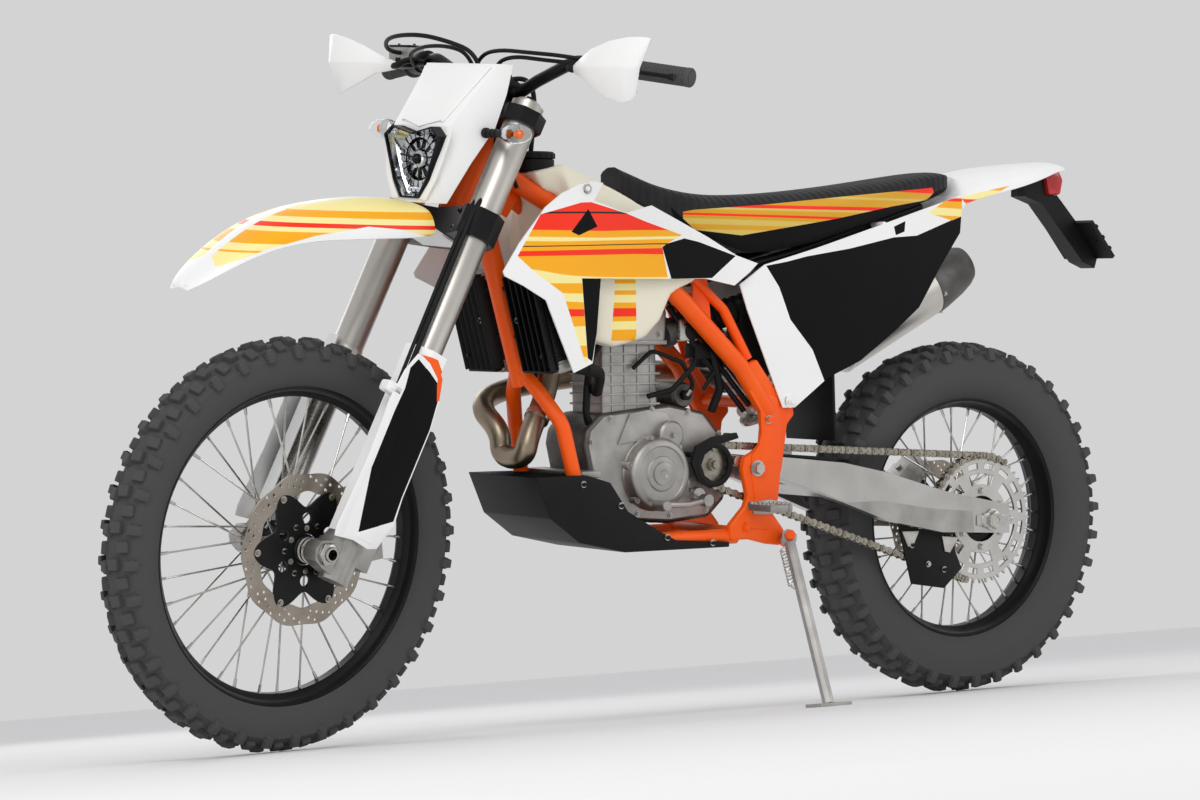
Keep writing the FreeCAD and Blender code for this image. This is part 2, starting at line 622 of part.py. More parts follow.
# Radiators with their louvred guards, one each side of the down tube
POST_RADIUS = 5.0
RADIATOR_INNER = 44.0
RADIATOR_OUTER = 136.0
RADIATOR_SHARES = ((0.268, 0.640), (0.312, 0.806), (0.278, 0.815), (0.234, 0.649))
TANK_END_HEIGHT = 26.0
LOUVRE_COUNT = 7
LOUVRE_THICKNESS = 3.0
LOUVRE_DEPTH = 16.0
RADIATOR_TAB_SHARES = (0.18, 0.42)


def radiators():
    """A finned block each side, with upright louvres on its front that stand in a slim frame."""
    low = at(RADIATOR_SHARES[0][0], 0, RADIATOR_SHARES[0][1])
    high = at(RADIATOR_SHARES[1][0], 0, RADIATOR_SHARES[1][1])
    ahead = (high - low).cross(LEFT).normalize() * -1
    pieces = [side_plate(RADIATOR_SHARES, RADIATOR_INNER, RADIATOR_OUTER)]
    step = (RADIATOR_OUTER - RADIATOR_INNER - LOUVRE_THICKNESS) / (LOUVRE_COUNT - 1)
    for i in range(LOUVRE_COUNT):
        y = RADIATOR_INNER + i * step
        blade = [low + LEFT * y, high + LEFT * y, high + LEFT * y + ahead * LOUVRE_DEPTH,
                 low + LEFT * y + ahead * LOUVRE_DEPTH]
        pieces.append(prism(blade, LEFT * LOUVRE_THICKNESS))
    top, foot = (at(x, 0, z) for x, z in DOWN_TUBE_SHARES)
    for share in RADIATOR_TAB_SHARES:
        root = foot + (top - foot) * share
        side = DOWN_TUBE_RADIUS * math.cos(math.pi / ROD_SIDES) + SEAT_GAP
        pieces.append(rod(root + LEFT * side, root + LEFT * (RADIATOR_INNER + OVERRUN), POST_RADIUS))
    return Part.makeCompound(both_sides(fused(pieces)))


# Shrouds
PANEL_THICKNESS = 3.0
SHROUD_SIDE_SHARES = ((0.390, 0.810), (0.300, 0.918), (0.228, 0.962), (0.172, 0.964), (0.124, 0.926),
                      (0.064, 0.930), (-0.060, 0.874), (-0.140, 0.838), (-0.180, 0.828), (-0.124, 0.788),
                      (-0.052, 0.798), (0.044, 0.806), (0.180, 0.800), (0.190, 0.650), (0.256, 0.638),
                      (0.260, 0.766), (0.352, 0.800))
SHROUD_PLAN_SHARES = ((0.400, 1.0), (0.260, 1.0), (0.120, 0.92), (0.0, 0.87), (-0.100, 0.81), (-0.200, 0.74))
SHROUD_Y = 152.0
SHROUD_LEAN = 10.0
SHROUD_TANK_SHARES = (0.090, 0.780)
SHROUD_RADIATOR_SHARES = (0.270, 0.770)
TANK_Y = 114.0


def shrouds():
    """Thin side panels of the tank, bowed in plan and cut to their outline."""
    sections = []
    for z_share, lean in ((0.62, 0), (0.98, SHROUD_LEAN)):
        outer = [at(x, y * SHROUD_Y - lean, z_share) for x, y in SHROUD_PLAN_SHARES]
        inner = [point - LEFT * PANEL_THICKNESS for point in reversed(outer)]
        sections.append(outer + inner)
    wall = skin(sections)
    outline = side_plate(SHROUD_SIDE_SHARES, 0, SHROUD_Y + OVERRUN)
    count = len(SHROUD_PLAN_SHARES)
    inside = skin([row[:count] + [at(SHROUD_PLAN_SHARES[k][0], 0, row[0].z / FRAME_HEIGHT) for k in (-1, 0)]
                   for row in sections])
    pieces = [wall.common(outline)]
    for x, z, seat_at in ((*SHROUD_TANK_SHARES, TANK_Y), (*SHROUD_RADIATOR_SHARES, RADIATOR_OUTER)):
        peg = rod(at(x, seat_at + SEAT_GAP, z), at(x, SHROUD_Y, z), POST_RADIUS)
        pieces.append(peg.common(inside))
    return Part.makeCompound(both_sides(fused(pieces)))


# Fuel tank
TANK_SIDE_SHARES = ((0.250, 0.955), (0.268, 0.985), (0.200, 1.002), (0.070, 0.932), (-0.050, 0.880), (-0.050, 0.800),
                    (0.012, 0.770), (0.030, 0.730), (0.062, 0.694), (0.130, 0.678), (0.178, 0.690), (0.186, 0.800),
                    (0.225, 0.870))
TANK_END_SHARES = ((0.40, 1.010), (0.82, 0.950), (0.98, 0.880), (1.0, 0.780), (0.94, 0.670), (0.60, 0.670),
                   (0.60, 0.800), (0.42, 0.860), (-0.42, 0.860), (-0.60, 0.800), (-0.60, 0.670), (-0.94, 0.670),
                   (-1.0, 0.780), (-0.98, 0.880), (-0.82, 0.950), (-0.40, 1.010))
TANK_NOSE_Y = 56.0
TANK_SHOULDER_SHARE = 0.215
CAP_SHARES = (0.236, 0.994)
CAP_RADIUS = 42.0
CAP_HEIGHT = 34.0
CAP_SEAT = 6.0


def fuel_tank():
    """The tank: its side outline crossed with its end outline, over the frame's beams."""
    low = TANK_SIDE_SHARES[5][0]
    high = TANK_SIDE_SHARES[1][0]
    end_outline = [at(low, y * TANK_Y, z) for y, z in TANK_END_SHARES]
    body = side_plate(TANK_SIDE_SHARES, -TANK_Y, TANK_Y)
    body = body.common(prism(end_outline, AHEAD * ((high - low) * FRAME_LENGTH)))
    for side in (1, -1):
        beam = [at(x, side * y * BEAM_Y, z) for x, y, z in BEAM_SHARES]
        body = body.cut(pipe(beam, BEAM_RADIUS + SEAT_GAP, FRAME_BEND))
        nose = box(at(TANK_SHOULDER_SHARE, TANK_NOSE_Y, 0), at(1, 2 * TANK_Y, 2))
        body = body.cut(nose if side == 1 else mirrored(nose))
    seat = at(CAP_SHARES[0], 0, CAP_SHARES[1])
    body = body.cut(rod(seat - UP * CAP_SEAT, seat + UP * CAP_HEIGHT, CAP_RADIUS + SEAT_GAP, DRUM_SIDES))
    return max(body.Solids, key=lambda solid: solid.Volume)


def fuel_cap():
    seat = at(CAP_SHARES[0], 0, CAP_SHARES[1]) - UP * (CAP_SEAT - SEAT_GAP)
    return rod(seat, seat + UP * CAP_HEIGHT, CAP_RADIUS, DRUM_SIDES)


# Seat: stations as (x, top z, bottom z, half width at the top, half width below)
SEAT_Y = 100.0
SEAT_SHARES = ((0.060, 0.996, 0.952, 0.26, 0.34), (0.0, 0.966, 0.915, 0.44, 0.58),
               (-0.060, 0.954, 0.889, 0.55, 0.76), (-0.180, 0.952, 0.842, 0.62, 0.88),
               (-0.320, 0.961, 0.8652, 0.74, 1.0), (-0.520, 0.986, 0.9242, 0.80, 1.0),
               (-0.660, 1.008, 0.966, 0.62, 0.74), (-0.688, 1.001, 0.980, 0.44, 0.50))
SEAT_SHOULDER_SHARE = 0.28


def seat():
    """The seat's pad, narrow on the tank and broad behind."""
    sections = []
    for x, top, low, half_top, half_low in SEAT_SHARES:
        shoulder = top - (top - low) * SEAT_SHOULDER_SHARE
        half = [(half_top, top), (half_low, shoulder), (half_low, low)]
        right = [at(x, y * SEAT_Y, z) for y, z in half]
        left = [at(x, -y * SEAT_Y, z) for y, z in reversed(half)]
        sections.append(right + left)
    return skin(sections)


# Side panels
SIDE_PANEL_Y = 120.0
SIDE_PANEL_LEFT_SHARES = ((-0.145, 0.790), (-0.200, 0.826), (-0.320, 0.858), (-0.540, 0.922), (-0.680, 0.962),
                          (-0.672, 0.890), (-0.620, 0.828), (-0.560, 0.748), (-0.415, 0.650), (-0.336, 0.618),
                          (-0.262, 0.566), (-0.236, 0.566), (-0.226, 0.588))
SIDE_PANEL_RIGHT_SHARES = ((-0.145, 0.790), (-0.200, 0.826), (-0.320, 0.858), (-0.540, 0.922), (-0.680, 0.962),
                           (-0.700, 0.890), (-0.560, 0.800), (-0.420, 0.740), (-0.300, 0.730), (-0.200, 0.740))
SIDE_PANEL_LOW_SHARES = ((-0.100, 0.92), (-0.300, 1.0), (-0.500, 1.0), (-0.720, 0.90))
SIDE_PANEL_TOP_SHARES = ((-0.100, 0.86), (-0.300, 0.86), (-0.500, 0.88), (-0.720, 0.84))


SIDE_PANEL_START = SIDE_PANEL_LOW_SHARES[0][0]
SIDE_PANEL_END = SIDE_PANEL_LOW_SHARES[-1][0]
PANEL_BOLT_SHARES = (-0.252, 0.578)
PANEL_BOLT_RADIUS = 9.0


def side_panels():
    """Thin panels that close the sides below the seat; the right one stops above the muffler."""
    sections = []
    half_row = len(SIDE_PANEL_LOW_SHARES)
    for z_share, shares in ((0.54, SIDE_PANEL_LOW_SHARES), (0.98, SIDE_PANEL_TOP_SHARES)):
        outer = [at(x, y * SIDE_PANEL_Y, z_share) for x, y in shares]
        inner = [point - LEFT * PANEL_THICKNESS for point in reversed(outer)]
        sections.append(outer + inner)
    wall = skin(sections)
    tube_side = SUBFRAME_Y + SUBFRAME_RADIUS * math.cos(math.pi / TUBE_SIDES) + SEAT_GAP
    x, _, z = SUBFRAME_TOP_SHARES[2]
    post = rod(at(x, tube_side, z), at(x, SIDE_PANEL_Y, z), POST_RADIUS)
    x, z = PANEL_BOLT_SHARES
    bolt = rod(at(x, PLATE_INNER + PLATE_THICKNESS + SEAT_GAP, z), at(x, SIDE_PANEL_Y, z), PANEL_BOLT_RADIUS)
    inside = skin([row[:half_row] + [at(x, 0, row[0].z / FRAME_HEIGHT) for x in (SIDE_PANEL_END, SIDE_PANEL_START)]
                   for row in sections])
    left = wall.common(side_plate(SIDE_PANEL_LEFT_SHARES, 0, SIDE_PANEL_Y + OVERRUN))
    right = wall.common(side_plate(SIDE_PANEL_RIGHT_SHARES, 0, SIDE_PANEL_Y + OVERRUN))
    left = fused([left, post.common(inside), bolt.common(inside)])
    return Part.makeCompound([left, mirrored(fused([right, post.common(inside)]))])


# Fenders: stations as (x, crest z, half width, drop of the edge) shares
FENDER_THICKNESS = 4.0
REAR_FENDER_Y = 100.0
REAR_FENDER_DROP = 60.0
REAR_FENDER_SHARES = ((-0.400, 0.8701, 0.50, 0.24), (-0.600, 0.9281, 0.50, 0.30), (-0.692, 0.962, 0.80, 0.50),
                      (-0.700, 1.006, 0.74, 0.95), (-0.800, 1.020, 0.66, 0.90), (-0.900, 1.030, 0.56, 0.66),
                      (-0.975, 1.035, 0.42, 0.34), (-0.998, 1.026, 0.36, 0.20))
FENDER_CROWN_SHARES = ((1.0, 1.0), (0.86, 0.30), (0.0, 0.0))


def fender_section(place, half_width, drop):
    """An arched strip across the machine, crowned in the middle."""
    outer = [place + Vector(0, y * half_width, -z * drop) for y, z in FENDER_CROWN_SHARES]
    outer += [place + Vector(0, -y * half_width, -z * drop) for y, z in reversed(FENDER_CROWN_SHARES[:-1])]
    inner = [point - UP * FENDER_THICKNESS for point in reversed(outer)]
    return outer + inner


def rear_fender():
    sections = []
    for x, z, half, drop in REAR_FENDER_SHARES:
        sections.append(fender_section(at(x, 0, z), half * REAR_FENDER_Y, drop * REAR_FENDER_DROP))
    return skin(sections)


TAIL_LIGHT_SHARES = ((-0.950, 1.022), (-0.985, 1.022), (-0.999, 1.000), (-0.992, 0.970), (-0.962, 0.970))
TAIL_LIGHT_HALF = 30.0
HOLDER_SHARES = ((-0.905, 1.021), (-0.9494, 1.024), (-0.9614, 0.9697), (-0.990, 0.9697), (-1.040, 0.920), (-1.100, 0.850),
                 (-1.092, 0.826), (-1.060, 0.838), (-1.010, 0.890), (-0.950, 0.952), (-0.905, 0.966))
HOLDER_HALF = 20.0
HOLDER_WING_SHARES = ((-1.040, 0.920), (-1.100, 0.850), (-1.094, 0.845), (-1.034, 0.915))
HOLDER_WING_HALF = 70.0
HOLDER_HOLE_RADIUS = 3.5
HOLDER_HOLE_SPACING = 110.0


def tail_light():
    return side_plate(TAIL_LIGHT_SHARES, -TAIL_LIGHT_HALF, TAIL_LIGHT_HALF)


def plate_holder():
    """The arm behind the rear fender and the blade that a number plate is screwed to."""
    body = fused([side_plate(HOLDER_SHARES, -HOLDER_HALF, HOLDER_HALF),
                  side_plate(HOLDER_WING_SHARES, -HOLDER_WING_HALF, HOLDER_WING_HALF)])
    high = at(HOLDER_WING_SHARES[0][0], 0, HOLDER_WING_SHARES[0][1])
    low = at(HOLDER_WING_SHARES[1][0], 0, HOLDER_WING_SHARES[1][1])
    middle = (high + low) / 2
    out = (low - high).cross(LEFT).normalize() * HOLDER_HALF
    for side in (1, -1):
        hole = middle + LEFT * side * HOLDER_HOLE_SPACING / 2
        body = body.cut(rod(hole - out, hole + out, HOLDER_HOLE_RADIUS))
    return body


# Skid plate
SKID_OUTER_SHARES = ((0.300, 0.455), (0.268, 0.382), (0.208, 0.338), (0.110, 0.3168), (-0.118, 0.3168),
                     (-0.118, 0.326), (0.0, 0.334), (0.037, 0.352), (0.104, 0.389), (0.142, 0.441), (0.190, 0.455))
SKID_INNER_SHARES = ((0.330, 0.520), (0.263, 0.384), (0.207, 0.342), (0.109, 0.3208), (-0.200, 0.3208),
                     (-0.200, 0.520))
SKID_HALF = 110.0
SKID_THICKNESS = 4.0


def skid_plate():
    """A shell under the engine: its side outline, hollowed from above, with the nose drawn in."""
    body = side_plate(SKID_OUTER_SHARES, -SKID_HALF, SKID_HALF)
    hollow = side_plate(SKID_INNER_SHARES, -(SKID_HALF - SKID_THICKNESS), SKID_HALF - SKID_THICKNESS)
    return body.cut(hollow)


# Foot controls
PEG_SHARES = (-0.176, 0.388)
PEG_LENGTH = 72.0
PEG_WIDTH = 50.0
PEG_HEIGHT = 16.0
PEG_ARM_RADIUS = 9.0
LEVER_SHAFT_SHARES = (-0.075, 0.402)
LEVER_TIP_SHARES = (0.042, 0.398)
LEVER_RADIUS = 7.0
LEVER_Y = 98.0
TOE_LENGTH = 30.0
PEDAL_SHARES = ((-0.176, 0.362), (-0.110, 0.352), (-0.020, 0.392))
PEDAL_Y = -128.0


def foot_controls():
    """Two pegs with their arms to the pivot plates, the gear lever and the brake pedal."""
    plate = PLATE_INNER + PLATE_THICKNESS
    place = at(PEG_SHARES[0], plate + SEAT_GAP, PEG_SHARES[1])
    arm = rod(place, place + LEFT * PEG_HEIGHT, PEG_ARM_RADIUS)
    low = place + Vector(-PEG_WIDTH / 2, PEG_HEIGHT / 2, -PEG_HEIGHT / 2)
    peg = box(low, low + Vector(PEG_WIDTH, PEG_LENGTH, PEG_HEIGHT))
    pieces = both_sides(fused([arm, peg]))
    shaft = at(LEVER_SHAFT_SHARES[0], CASE_LEFT, LEVER_SHAFT_SHARES[1])
    knee = at(LEVER_SHAFT_SHARES[0], LEVER_Y, LEVER_SHAFT_SHARES[1])
    tip = at(LEVER_TIP_SHARES[0], LEVER_Y + TOE_LENGTH / 2, LEVER_TIP_SHARES[1])
    toe = tip + LEFT * TOE_LENGTH
    pieces.append(fused([rod(shaft, knee + LEFT * LEVER_RADIUS, LEVER_RADIUS), rod(knee, tip, LEVER_RADIUS),
                         rod(tip - LEFT * LEVER_RADIUS, toe, LEVER_RADIUS + OVERRUN)]))
    path = [at(x, PEDAL_Y, z) for x, z in PEDAL_SHARES]
    root = Vector(path[0].x, -(plate + SEAT_GAP), path[0].z)
    pieces.append(fused([rod(root, path[0], PEG_ARM_RADIUS), pipe(path, LEVER_RADIUS, FRAME_BEND),
                         rod(path[-1], path[-1] - LEFT * TOE_LENGTH, LEVER_RADIUS + OVERRUN)]))
    return Part.makeCompound(pieces)


# Brake calipers
CALIPER_THICKNESS = 40.0
CALIPER_LENGTH = 84.0
CALIPER_HEIGHT = 46.0
CALIPER_SLOT = 16.0
CALIPER_BITE = 30.0
CARRIER_INNER = 81.0
CARRIER_RADIUS = 24.0
CARRIER_LINK_SHARE = 0.92
BRACKET_THICKNESS = 8.0
BRACKET_REACH = 40.0
BRACKET_RISE = (6.0, 52.0)
FRONT_CALIPER_ANGLE = 172.0
REAR_CALIPER_ANGLE = 48.0


def caliper(centre, line, disc_radius, angle):
    """A block that straddles the disc's edge at an angle round the wheel."""
    out = Vector(math.cos(math.radians(angle)), 0, math.sin(math.radians(angle)))
    half = out.cross(LEFT) * CALIPER_LENGTH / 2
    middle = centre + LEFT * (line - CALIPER_THICKNESS / 2) + out * (disc_radius - CALIPER_BITE)
    top = middle + out * CALIPER_HEIGHT
    body = prism([middle - half, middle + half, top + half, top - half], LEFT * CALIPER_THICKNESS)
    groove = centre + LEFT * (line - CALIPER_SLOT / 2)
    floor = out * (disc_radius + RUNNING_GAP)
    slot = [groove - half * 2, groove + half * 2, groove + half * 2 + floor, groove - half * 2 + floor]
    return body.cut(prism(slot, LEFT * CALIPER_SLOT)), top


def rear_caliper():
    """The caliper on its carrier, which turns round the axle inside the right beam."""
    block, top = caliper(REAR_AXLE, -DISC_LINE, REAR_DISC_RADIUS, REAR_CALIPER_ANGLE)
    inner = REAR_AXLE - LEFT * CARRIER_INNER
    outer = REAR_AXLE - LEFT * (ARM_INNER - SEAT_GAP)
    reach = Vector(top.x, inner.y, top.z) - inner
    aside = reach.cross(LEFT).normalize() * CARRIER_RADIUS
    arm = prism([inner - aside, inner - aside * 0.5 + reach, inner + aside * 0.5 + reach, inner + aside],
                outer - inner)
    link = rod(inner + reach * CARRIER_LINK_SHARE, inner + reach * CARRIER_LINK_SHARE + LEFT * CALIPER_SLOT, POST_RADIUS)
    body = fused([block, arm, rod(inner, outer, CARRIER_RADIUS, LEG_SIDES), link])
    return body.cut(rod(outer - LEFT * OVERRUN, inner + LEFT * OVERRUN, REAR_AXLE_RADIUS + SEAT_GAP, LEG_SIDES))


def front_caliper():
    """The caliper with its bracket to the back of the left fork lug."""
    block, _ = caliper(FRONT_AXLE, DISC_LINE, FRONT_DISC_RADIUS, FRONT_CALIPER_ANGLE)
    face = -AXLE_OFFSET - FORK_LEG_RADIUS - SEAT_GAP
    side = DISC_LINE + CALIPER_THICKNESS / 2
    corners = [fork(face, side - BRACKET_THICKNESS, up) for up in BRACKET_RISE]
    corners += [fork(face - BRACKET_REACH, side - BRACKET_THICKNESS, up) for up in reversed(BRACKET_RISE)]
    return fused([block, prism(corners, LEFT * (FORK_Y - side + BRACKET_THICKNESS))])


# Chain and sprockets

def belt_face(front_radius, rear_radius):
    """The face inside a belt round both sprocket centres, in the middle plane."""
    along = (REAR_AXLE - COUNTERSHAFT).normalize()
    across = along.cross(LEFT)
    lean = math.asin((rear_radius - front_radius) / CHAIN_CENTRES)
    touch = []
    for side in (1, -1):
        normal = across * side * math.cos(lean) - along * math.sin(lean)
        touch.append((COUNTERSHAFT + normal * front_radius, REAR_AXLE + normal * rear_radius))
    points = []
    for centre, radius, start, count in ((REAR_AXLE, rear_radius, touch[0][1], REAR_ARC_SIDES),
                                         (COUNTERSHAFT, front_radius, touch[1][0], FRONT_ARC_SIDES)):
        arm = start - centre
        sweep = math.pi + 2 * lean if centre is REAR_AXLE else math.pi - 2 * lean
        for k in range(count + 1):
            spun = FreeCAD.Rotation(LEFT, math.degrees(-sweep * k / count)).multVec(arm)
            points.append(centre + spun)
    return face_of(points)


def belt(grow_out, grow_in, low, high):
    """A closed band between two offsets of the pitch line, from one distance off the middle to another."""
    outer = belt_face(FRONT_PITCH + grow_out, REAR_PITCH + grow_out)
    inner = belt_face(FRONT_PITCH - grow_in, REAR_PITCH - grow_in)
    outer.translate(LEFT * low)
    inner.translate(LEFT * (low - OVERRUN))
    band = outer.extrude(LEFT * (high - low))
    return band.cut(inner.extrude(LEFT * (high - low + 2 * OVERRUN)))


def chain():
    """The whole loop as a band with a slot inside for the sprocket teeth."""
    half = CHAIN_WIDTH / 2
    band = belt(CHAIN_HEIGHT / 2, CHAIN_HEIGHT / 2, CHAIN_LINE - half, CHAIN_LINE + half)
    slot = belt(ROLLER_RADIUS, CHAIN_HEIGHT, CHAIN_LINE - CHAIN_SLOT / 2, CHAIN_LINE + CHAIN_SLOT / 2)
    return band.cut(slot)


SPROCKET_RIM = 20.0
SHAFT_RADIUS = 12.0
SPROCKET_HUB_RADIUS = 62.0
TOOTH_HEIGHT = 3.4
TOOTH_SHARES = ((0.0, -1.0), (0.5, 1.0))


def toothed_face(centre, teeth):
    """A sprocket's outline: roots under the rollers and flat-topped teeth between them."""
    points = []
    radius = pitch_radius(teeth)
    for tooth in range(teeth):
        for turn, rise in TOOTH_SHARES:
            angle = 2 * math.pi * (tooth + turn) / teeth + math.pi / 2 - DROOP
            reach = radius + (rise * TOOTH_HEIGHT if rise > 0 else rise * (ROLLER_RADIUS + SEAT_GAP))
            points.append(centre + Vector(math.cos(angle) * reach, 0, math.sin(angle) * reach))
    return face_of(points)


def front_sprocket():
    """The small sprocket on the engine's output shaft."""
    body = toothed_face(COUNTERSHAFT, FRONT_TEETH).extrude(LEFT * SPROCKET_THICKNESS)
    body.translate(LEFT * (CHAIN_LINE - SPROCKET_THICKNESS / 2))
    shaft = rod(COUNTERSHAFT + LEFT * (CASE_LEFT + SEAT_GAP), COUNTERSHAFT + LEFT * (CHAIN_LINE + SPROCKET_THICKNESS),
                SHAFT_RADIUS)
    return fused([body, shaft])


SPROCKET_WINDOWS = 8
SPROCKET_WINDOW_RADIUS = 15.0


def rear_sprocket():
    """Ring with teeth outside, a round bore on the hub's carrier and a circle of windows."""
    low = CHAIN_LINE - SPROCKET_THICKNESS / 2
    body = toothed_face(REAR_AXLE, REAR_TEETH).extrude(LEFT * SPROCKET_THICKNESS)
    body.translate(LEFT * low)
    start = REAR_AXLE + LEFT * (low - OVERRUN)
    end = REAR_AXLE + LEFT * (low + SPROCKET_THICKNESS + OVERRUN)
    cuts = [rod(start, end, SPROCKET_HUB_RADIUS - SPROCKET_RIM, DRUM_SIDES)]
    ring = (SPROCKET_HUB_RADIUS + REAR_PITCH) / 2
    for i in range(SPROCKET_WINDOWS):
        angle = 2 * math.pi * i / SPROCKET_WINDOWS
        off = Vector(math.cos(angle) * ring, 0, math.sin(angle) * ring)
        cuts.append(rod(start + off, end + off, SPROCKET_WINDOW_RADIUS, TUBE_SIDES))
    return body.cut(Part.makeCompound(cuts))


# Chain guards: slider on the swingarm, guide round the lower run, cover outside the front sprocket
GUIDE_SHARES = ((-0.527, 0.3405), (-0.617, 0.3225), (-0.650, 0.3205), (-0.684, 0.250), (-0.640, 0.214), (-0.560, 0.226))
GUIDE_THICKNESS = 3.0
SLIDER_SHARES = ((-0.210, 0.4765), (-0.255, 0.4745), (-0.383, 0.4615), (-0.383, 0.4700), (-0.255, 0.4800), (-0.210, 0.4815))
SPROCKET_COVER_SHARES = ((-0.045, 0.470), (-0.055, 0.500), (-0.090, 0.515), (-0.145, 0.522), (-0.150, 0.512),
                         (-0.100, 0.500), (-0.074, 0.484), (-0.066, 0.465), (-0.074, 0.446), (-0.090, 0.436),
                         (-0.086, 0.424), (-0.060, 0.436))
COVER_POST_SHARES = ((-0.0505, 0.484), (-0.142, 0.516))
COVER_THICKNESS = 6.0


def chain_guards():
    outer = CHAIN_LINE + CHAIN_WIDTH / 2
    cover_face = outer + SEAT_GAP
    cover = [side_plate(SPROCKET_COVER_SHARES, cover_face, cover_face + COVER_THICKNESS)]
    for x, z in COVER_POST_SHARES:
        cover.append(rod(at(x, CASE_LEFT, z), at(x, cover_face + OVERRUN, z), POST_RADIUS))
    slider = side_plate(SLIDER_SHARES, CHAIN_LINE - CHAIN_WIDTH / 2, outer)
    inner_face = CHAIN_LINE - CHAIN_WIDTH / 2 - SEAT_GAP
    guide = side_plate(GUIDE_SHARES, outer + SEAT_GAP, outer + SEAT_GAP + GUIDE_THICKNESS)
    return Part.makeCompound([fused(cover), slider, guide])


# Wheels

def tyre_profile(radius, width, crown, bead, rim_width):
    """Half outlines from bead to bead as (radius, y) pairs: side wall, shoulder and crown."""
    half = width / 2
    edge = radius - crown + math.sqrt(crown ** 2 - half ** 2)
    between = radius - crown + math.sqrt(crown ** 2 - half ** 2 / 4)
    side = [(bead, rim_width / 2), ((bead + edge) / 2, half), (edge, half), (between, half / 2)]
    return [(r, -y) for r, y in side] + [(radius, 0)] + side[::-1]


def knobbed(centre, radius, width, crown, bead, rim_width, shares):
    """A tyre whose casing lies a knob's height inside its outline, with rows of blocks that reach out to it."""
    casing = tyre_profile(radius - KNOB_HEIGHT, width - KNOB_HEIGHT, crown, bead, rim_width)
    pieces = [hoop(centre, casing, WHEEL_SIDES)]
    step = 2 * math.pi / KNOB_ROWS
    half = step * KNOB_LENGTH_SHARE / 2
    middle = radius - crown
    for row in range(KNOB_ROWS):
        for start, end in shares[row % len(shares)]:
            low, high = (share * math.asin(width / 2 / crown) for share in (start, end))
            corners = []
            for turn in ((row + 0.5) * step - half, (row + 0.5) * step + half):
                out = Vector(math.cos(turn), 0, math.sin(turn))
                for angle, reach in ((low, crown), (high, crown), (high, crown - 2 * KNOB_HEIGHT),
                                     (low, crown - 2 * KNOB_HEIGHT)):
                    corners.append(centre + out * (middle + math.cos(angle) * reach) + LEFT * (math.sin(angle) * reach))
            pieces.append(skin([corners[:4], corners[4:]]))
    return fused(pieces)


FRONT_TYRE_PROFILE = tyre_profile(FRONT_TYRE_RADIUS, FRONT_TYRE_WIDTH, FRONT_CROWN_RADIUS, FRONT_BEAD_RADIUS,
                                  FRONT_RIM_WIDTH)
REAR_TYRE_PROFILE = tyre_profile(REAR_TYRE_RADIUS, REAR_TYRE_WIDTH, REAR_CROWN_RADIUS, REAR_BEAD_RADIUS,
                                 REAR_RIM_WIDTH)


# Across the tread, from one shoulder to the other: a row with a middle block, then one with a pair
KNOB_SHARES = (((-1.0, -0.70), (-0.24, 0.24), (0.70, 1.0)), ((-0.62, -0.16), (0.16, 0.62)))


def rim(centre, bead, width):
    """A hoop whose walls slope in to the band that the spokes pull on."""
    half = width / 2
    outer = bead - SEAT_GAP
    inner = bead - RIM_DEPTH
    return hoop(centre, [(outer, -half), (inner, -half / 2), (inner, half / 2), (outer, half)], WHEEL_SIDES)


def spokes(centre, flange_radius, flange_spacing, bead):
    """Pairs of crossed spokes from both faces of each flange to the rim."""
    inner = (bead - RIM_DEPTH) * math.cos(math.pi / WHEEL_SIDES) - SEAT_GAP
    hole = flange_radius - SPOKE_RADIUS
    pieces = []
    quarter = SPOKE_COUNT // 4
    for side in (1, -1):
        for lead in (1, -1):
            face = flange_spacing / 2 + lead * (FLANGE_THICKNESS / 2 + SPOKE_RADIUS + 2 * SEAT_GAP)
            for i in range(quarter):
                turn = i + (0 if lead == 1 else 0.5) + (0 if side == 1 else 0.25)
                at_rim = 2 * math.pi * turn / quarter
                at_hub = at_rim + lead * math.radians(SPOKE_SWEEP_ANGLE)
                start = centre + Vector(math.cos(at_hub) * hole, side * face, math.sin(at_hub) * hole)
                off = side * (2 + lead) * SPOKE_RADIUS
                end = centre + Vector(math.cos(at_rim) * inner, off, math.sin(at_rim) * inner)
                pieces.append(rod(start, end, SPOKE_RADIUS, SPOKE_SIDES))
    return Part.makeCompound(pieces)


def drum(centre, low, high, radius):
    """A flat-sided drum on the wheel line, from one distance off the centre to another."""
    return rod(centre + LEFT * low, centre + LEFT * high, radius, DRUM_SIDES)


def hub(centre, width, radius, flange_radius, flange_spacing, bore, bosses):
    """A barrel with two spoke flanges, bored for the axle, and a round seat for what bolts to each side."""
    half = width / 2
    pieces = [drum(centre, -half, half, radius)]
    for side in (1, -1):
        middle = side * flange_spacing / 2
        pieces.append(drum(centre, middle - FLANGE_THICKNESS / 2, middle + FLANGE_THICKNESS / 2, flange_radius))
    pieces += [drum(centre, low, high, seat_radius) for low, high, seat_radius in bosses]
    return fused(pieces).cut(pin(centre - LEFT * width, centre + LEFT * width, bore))


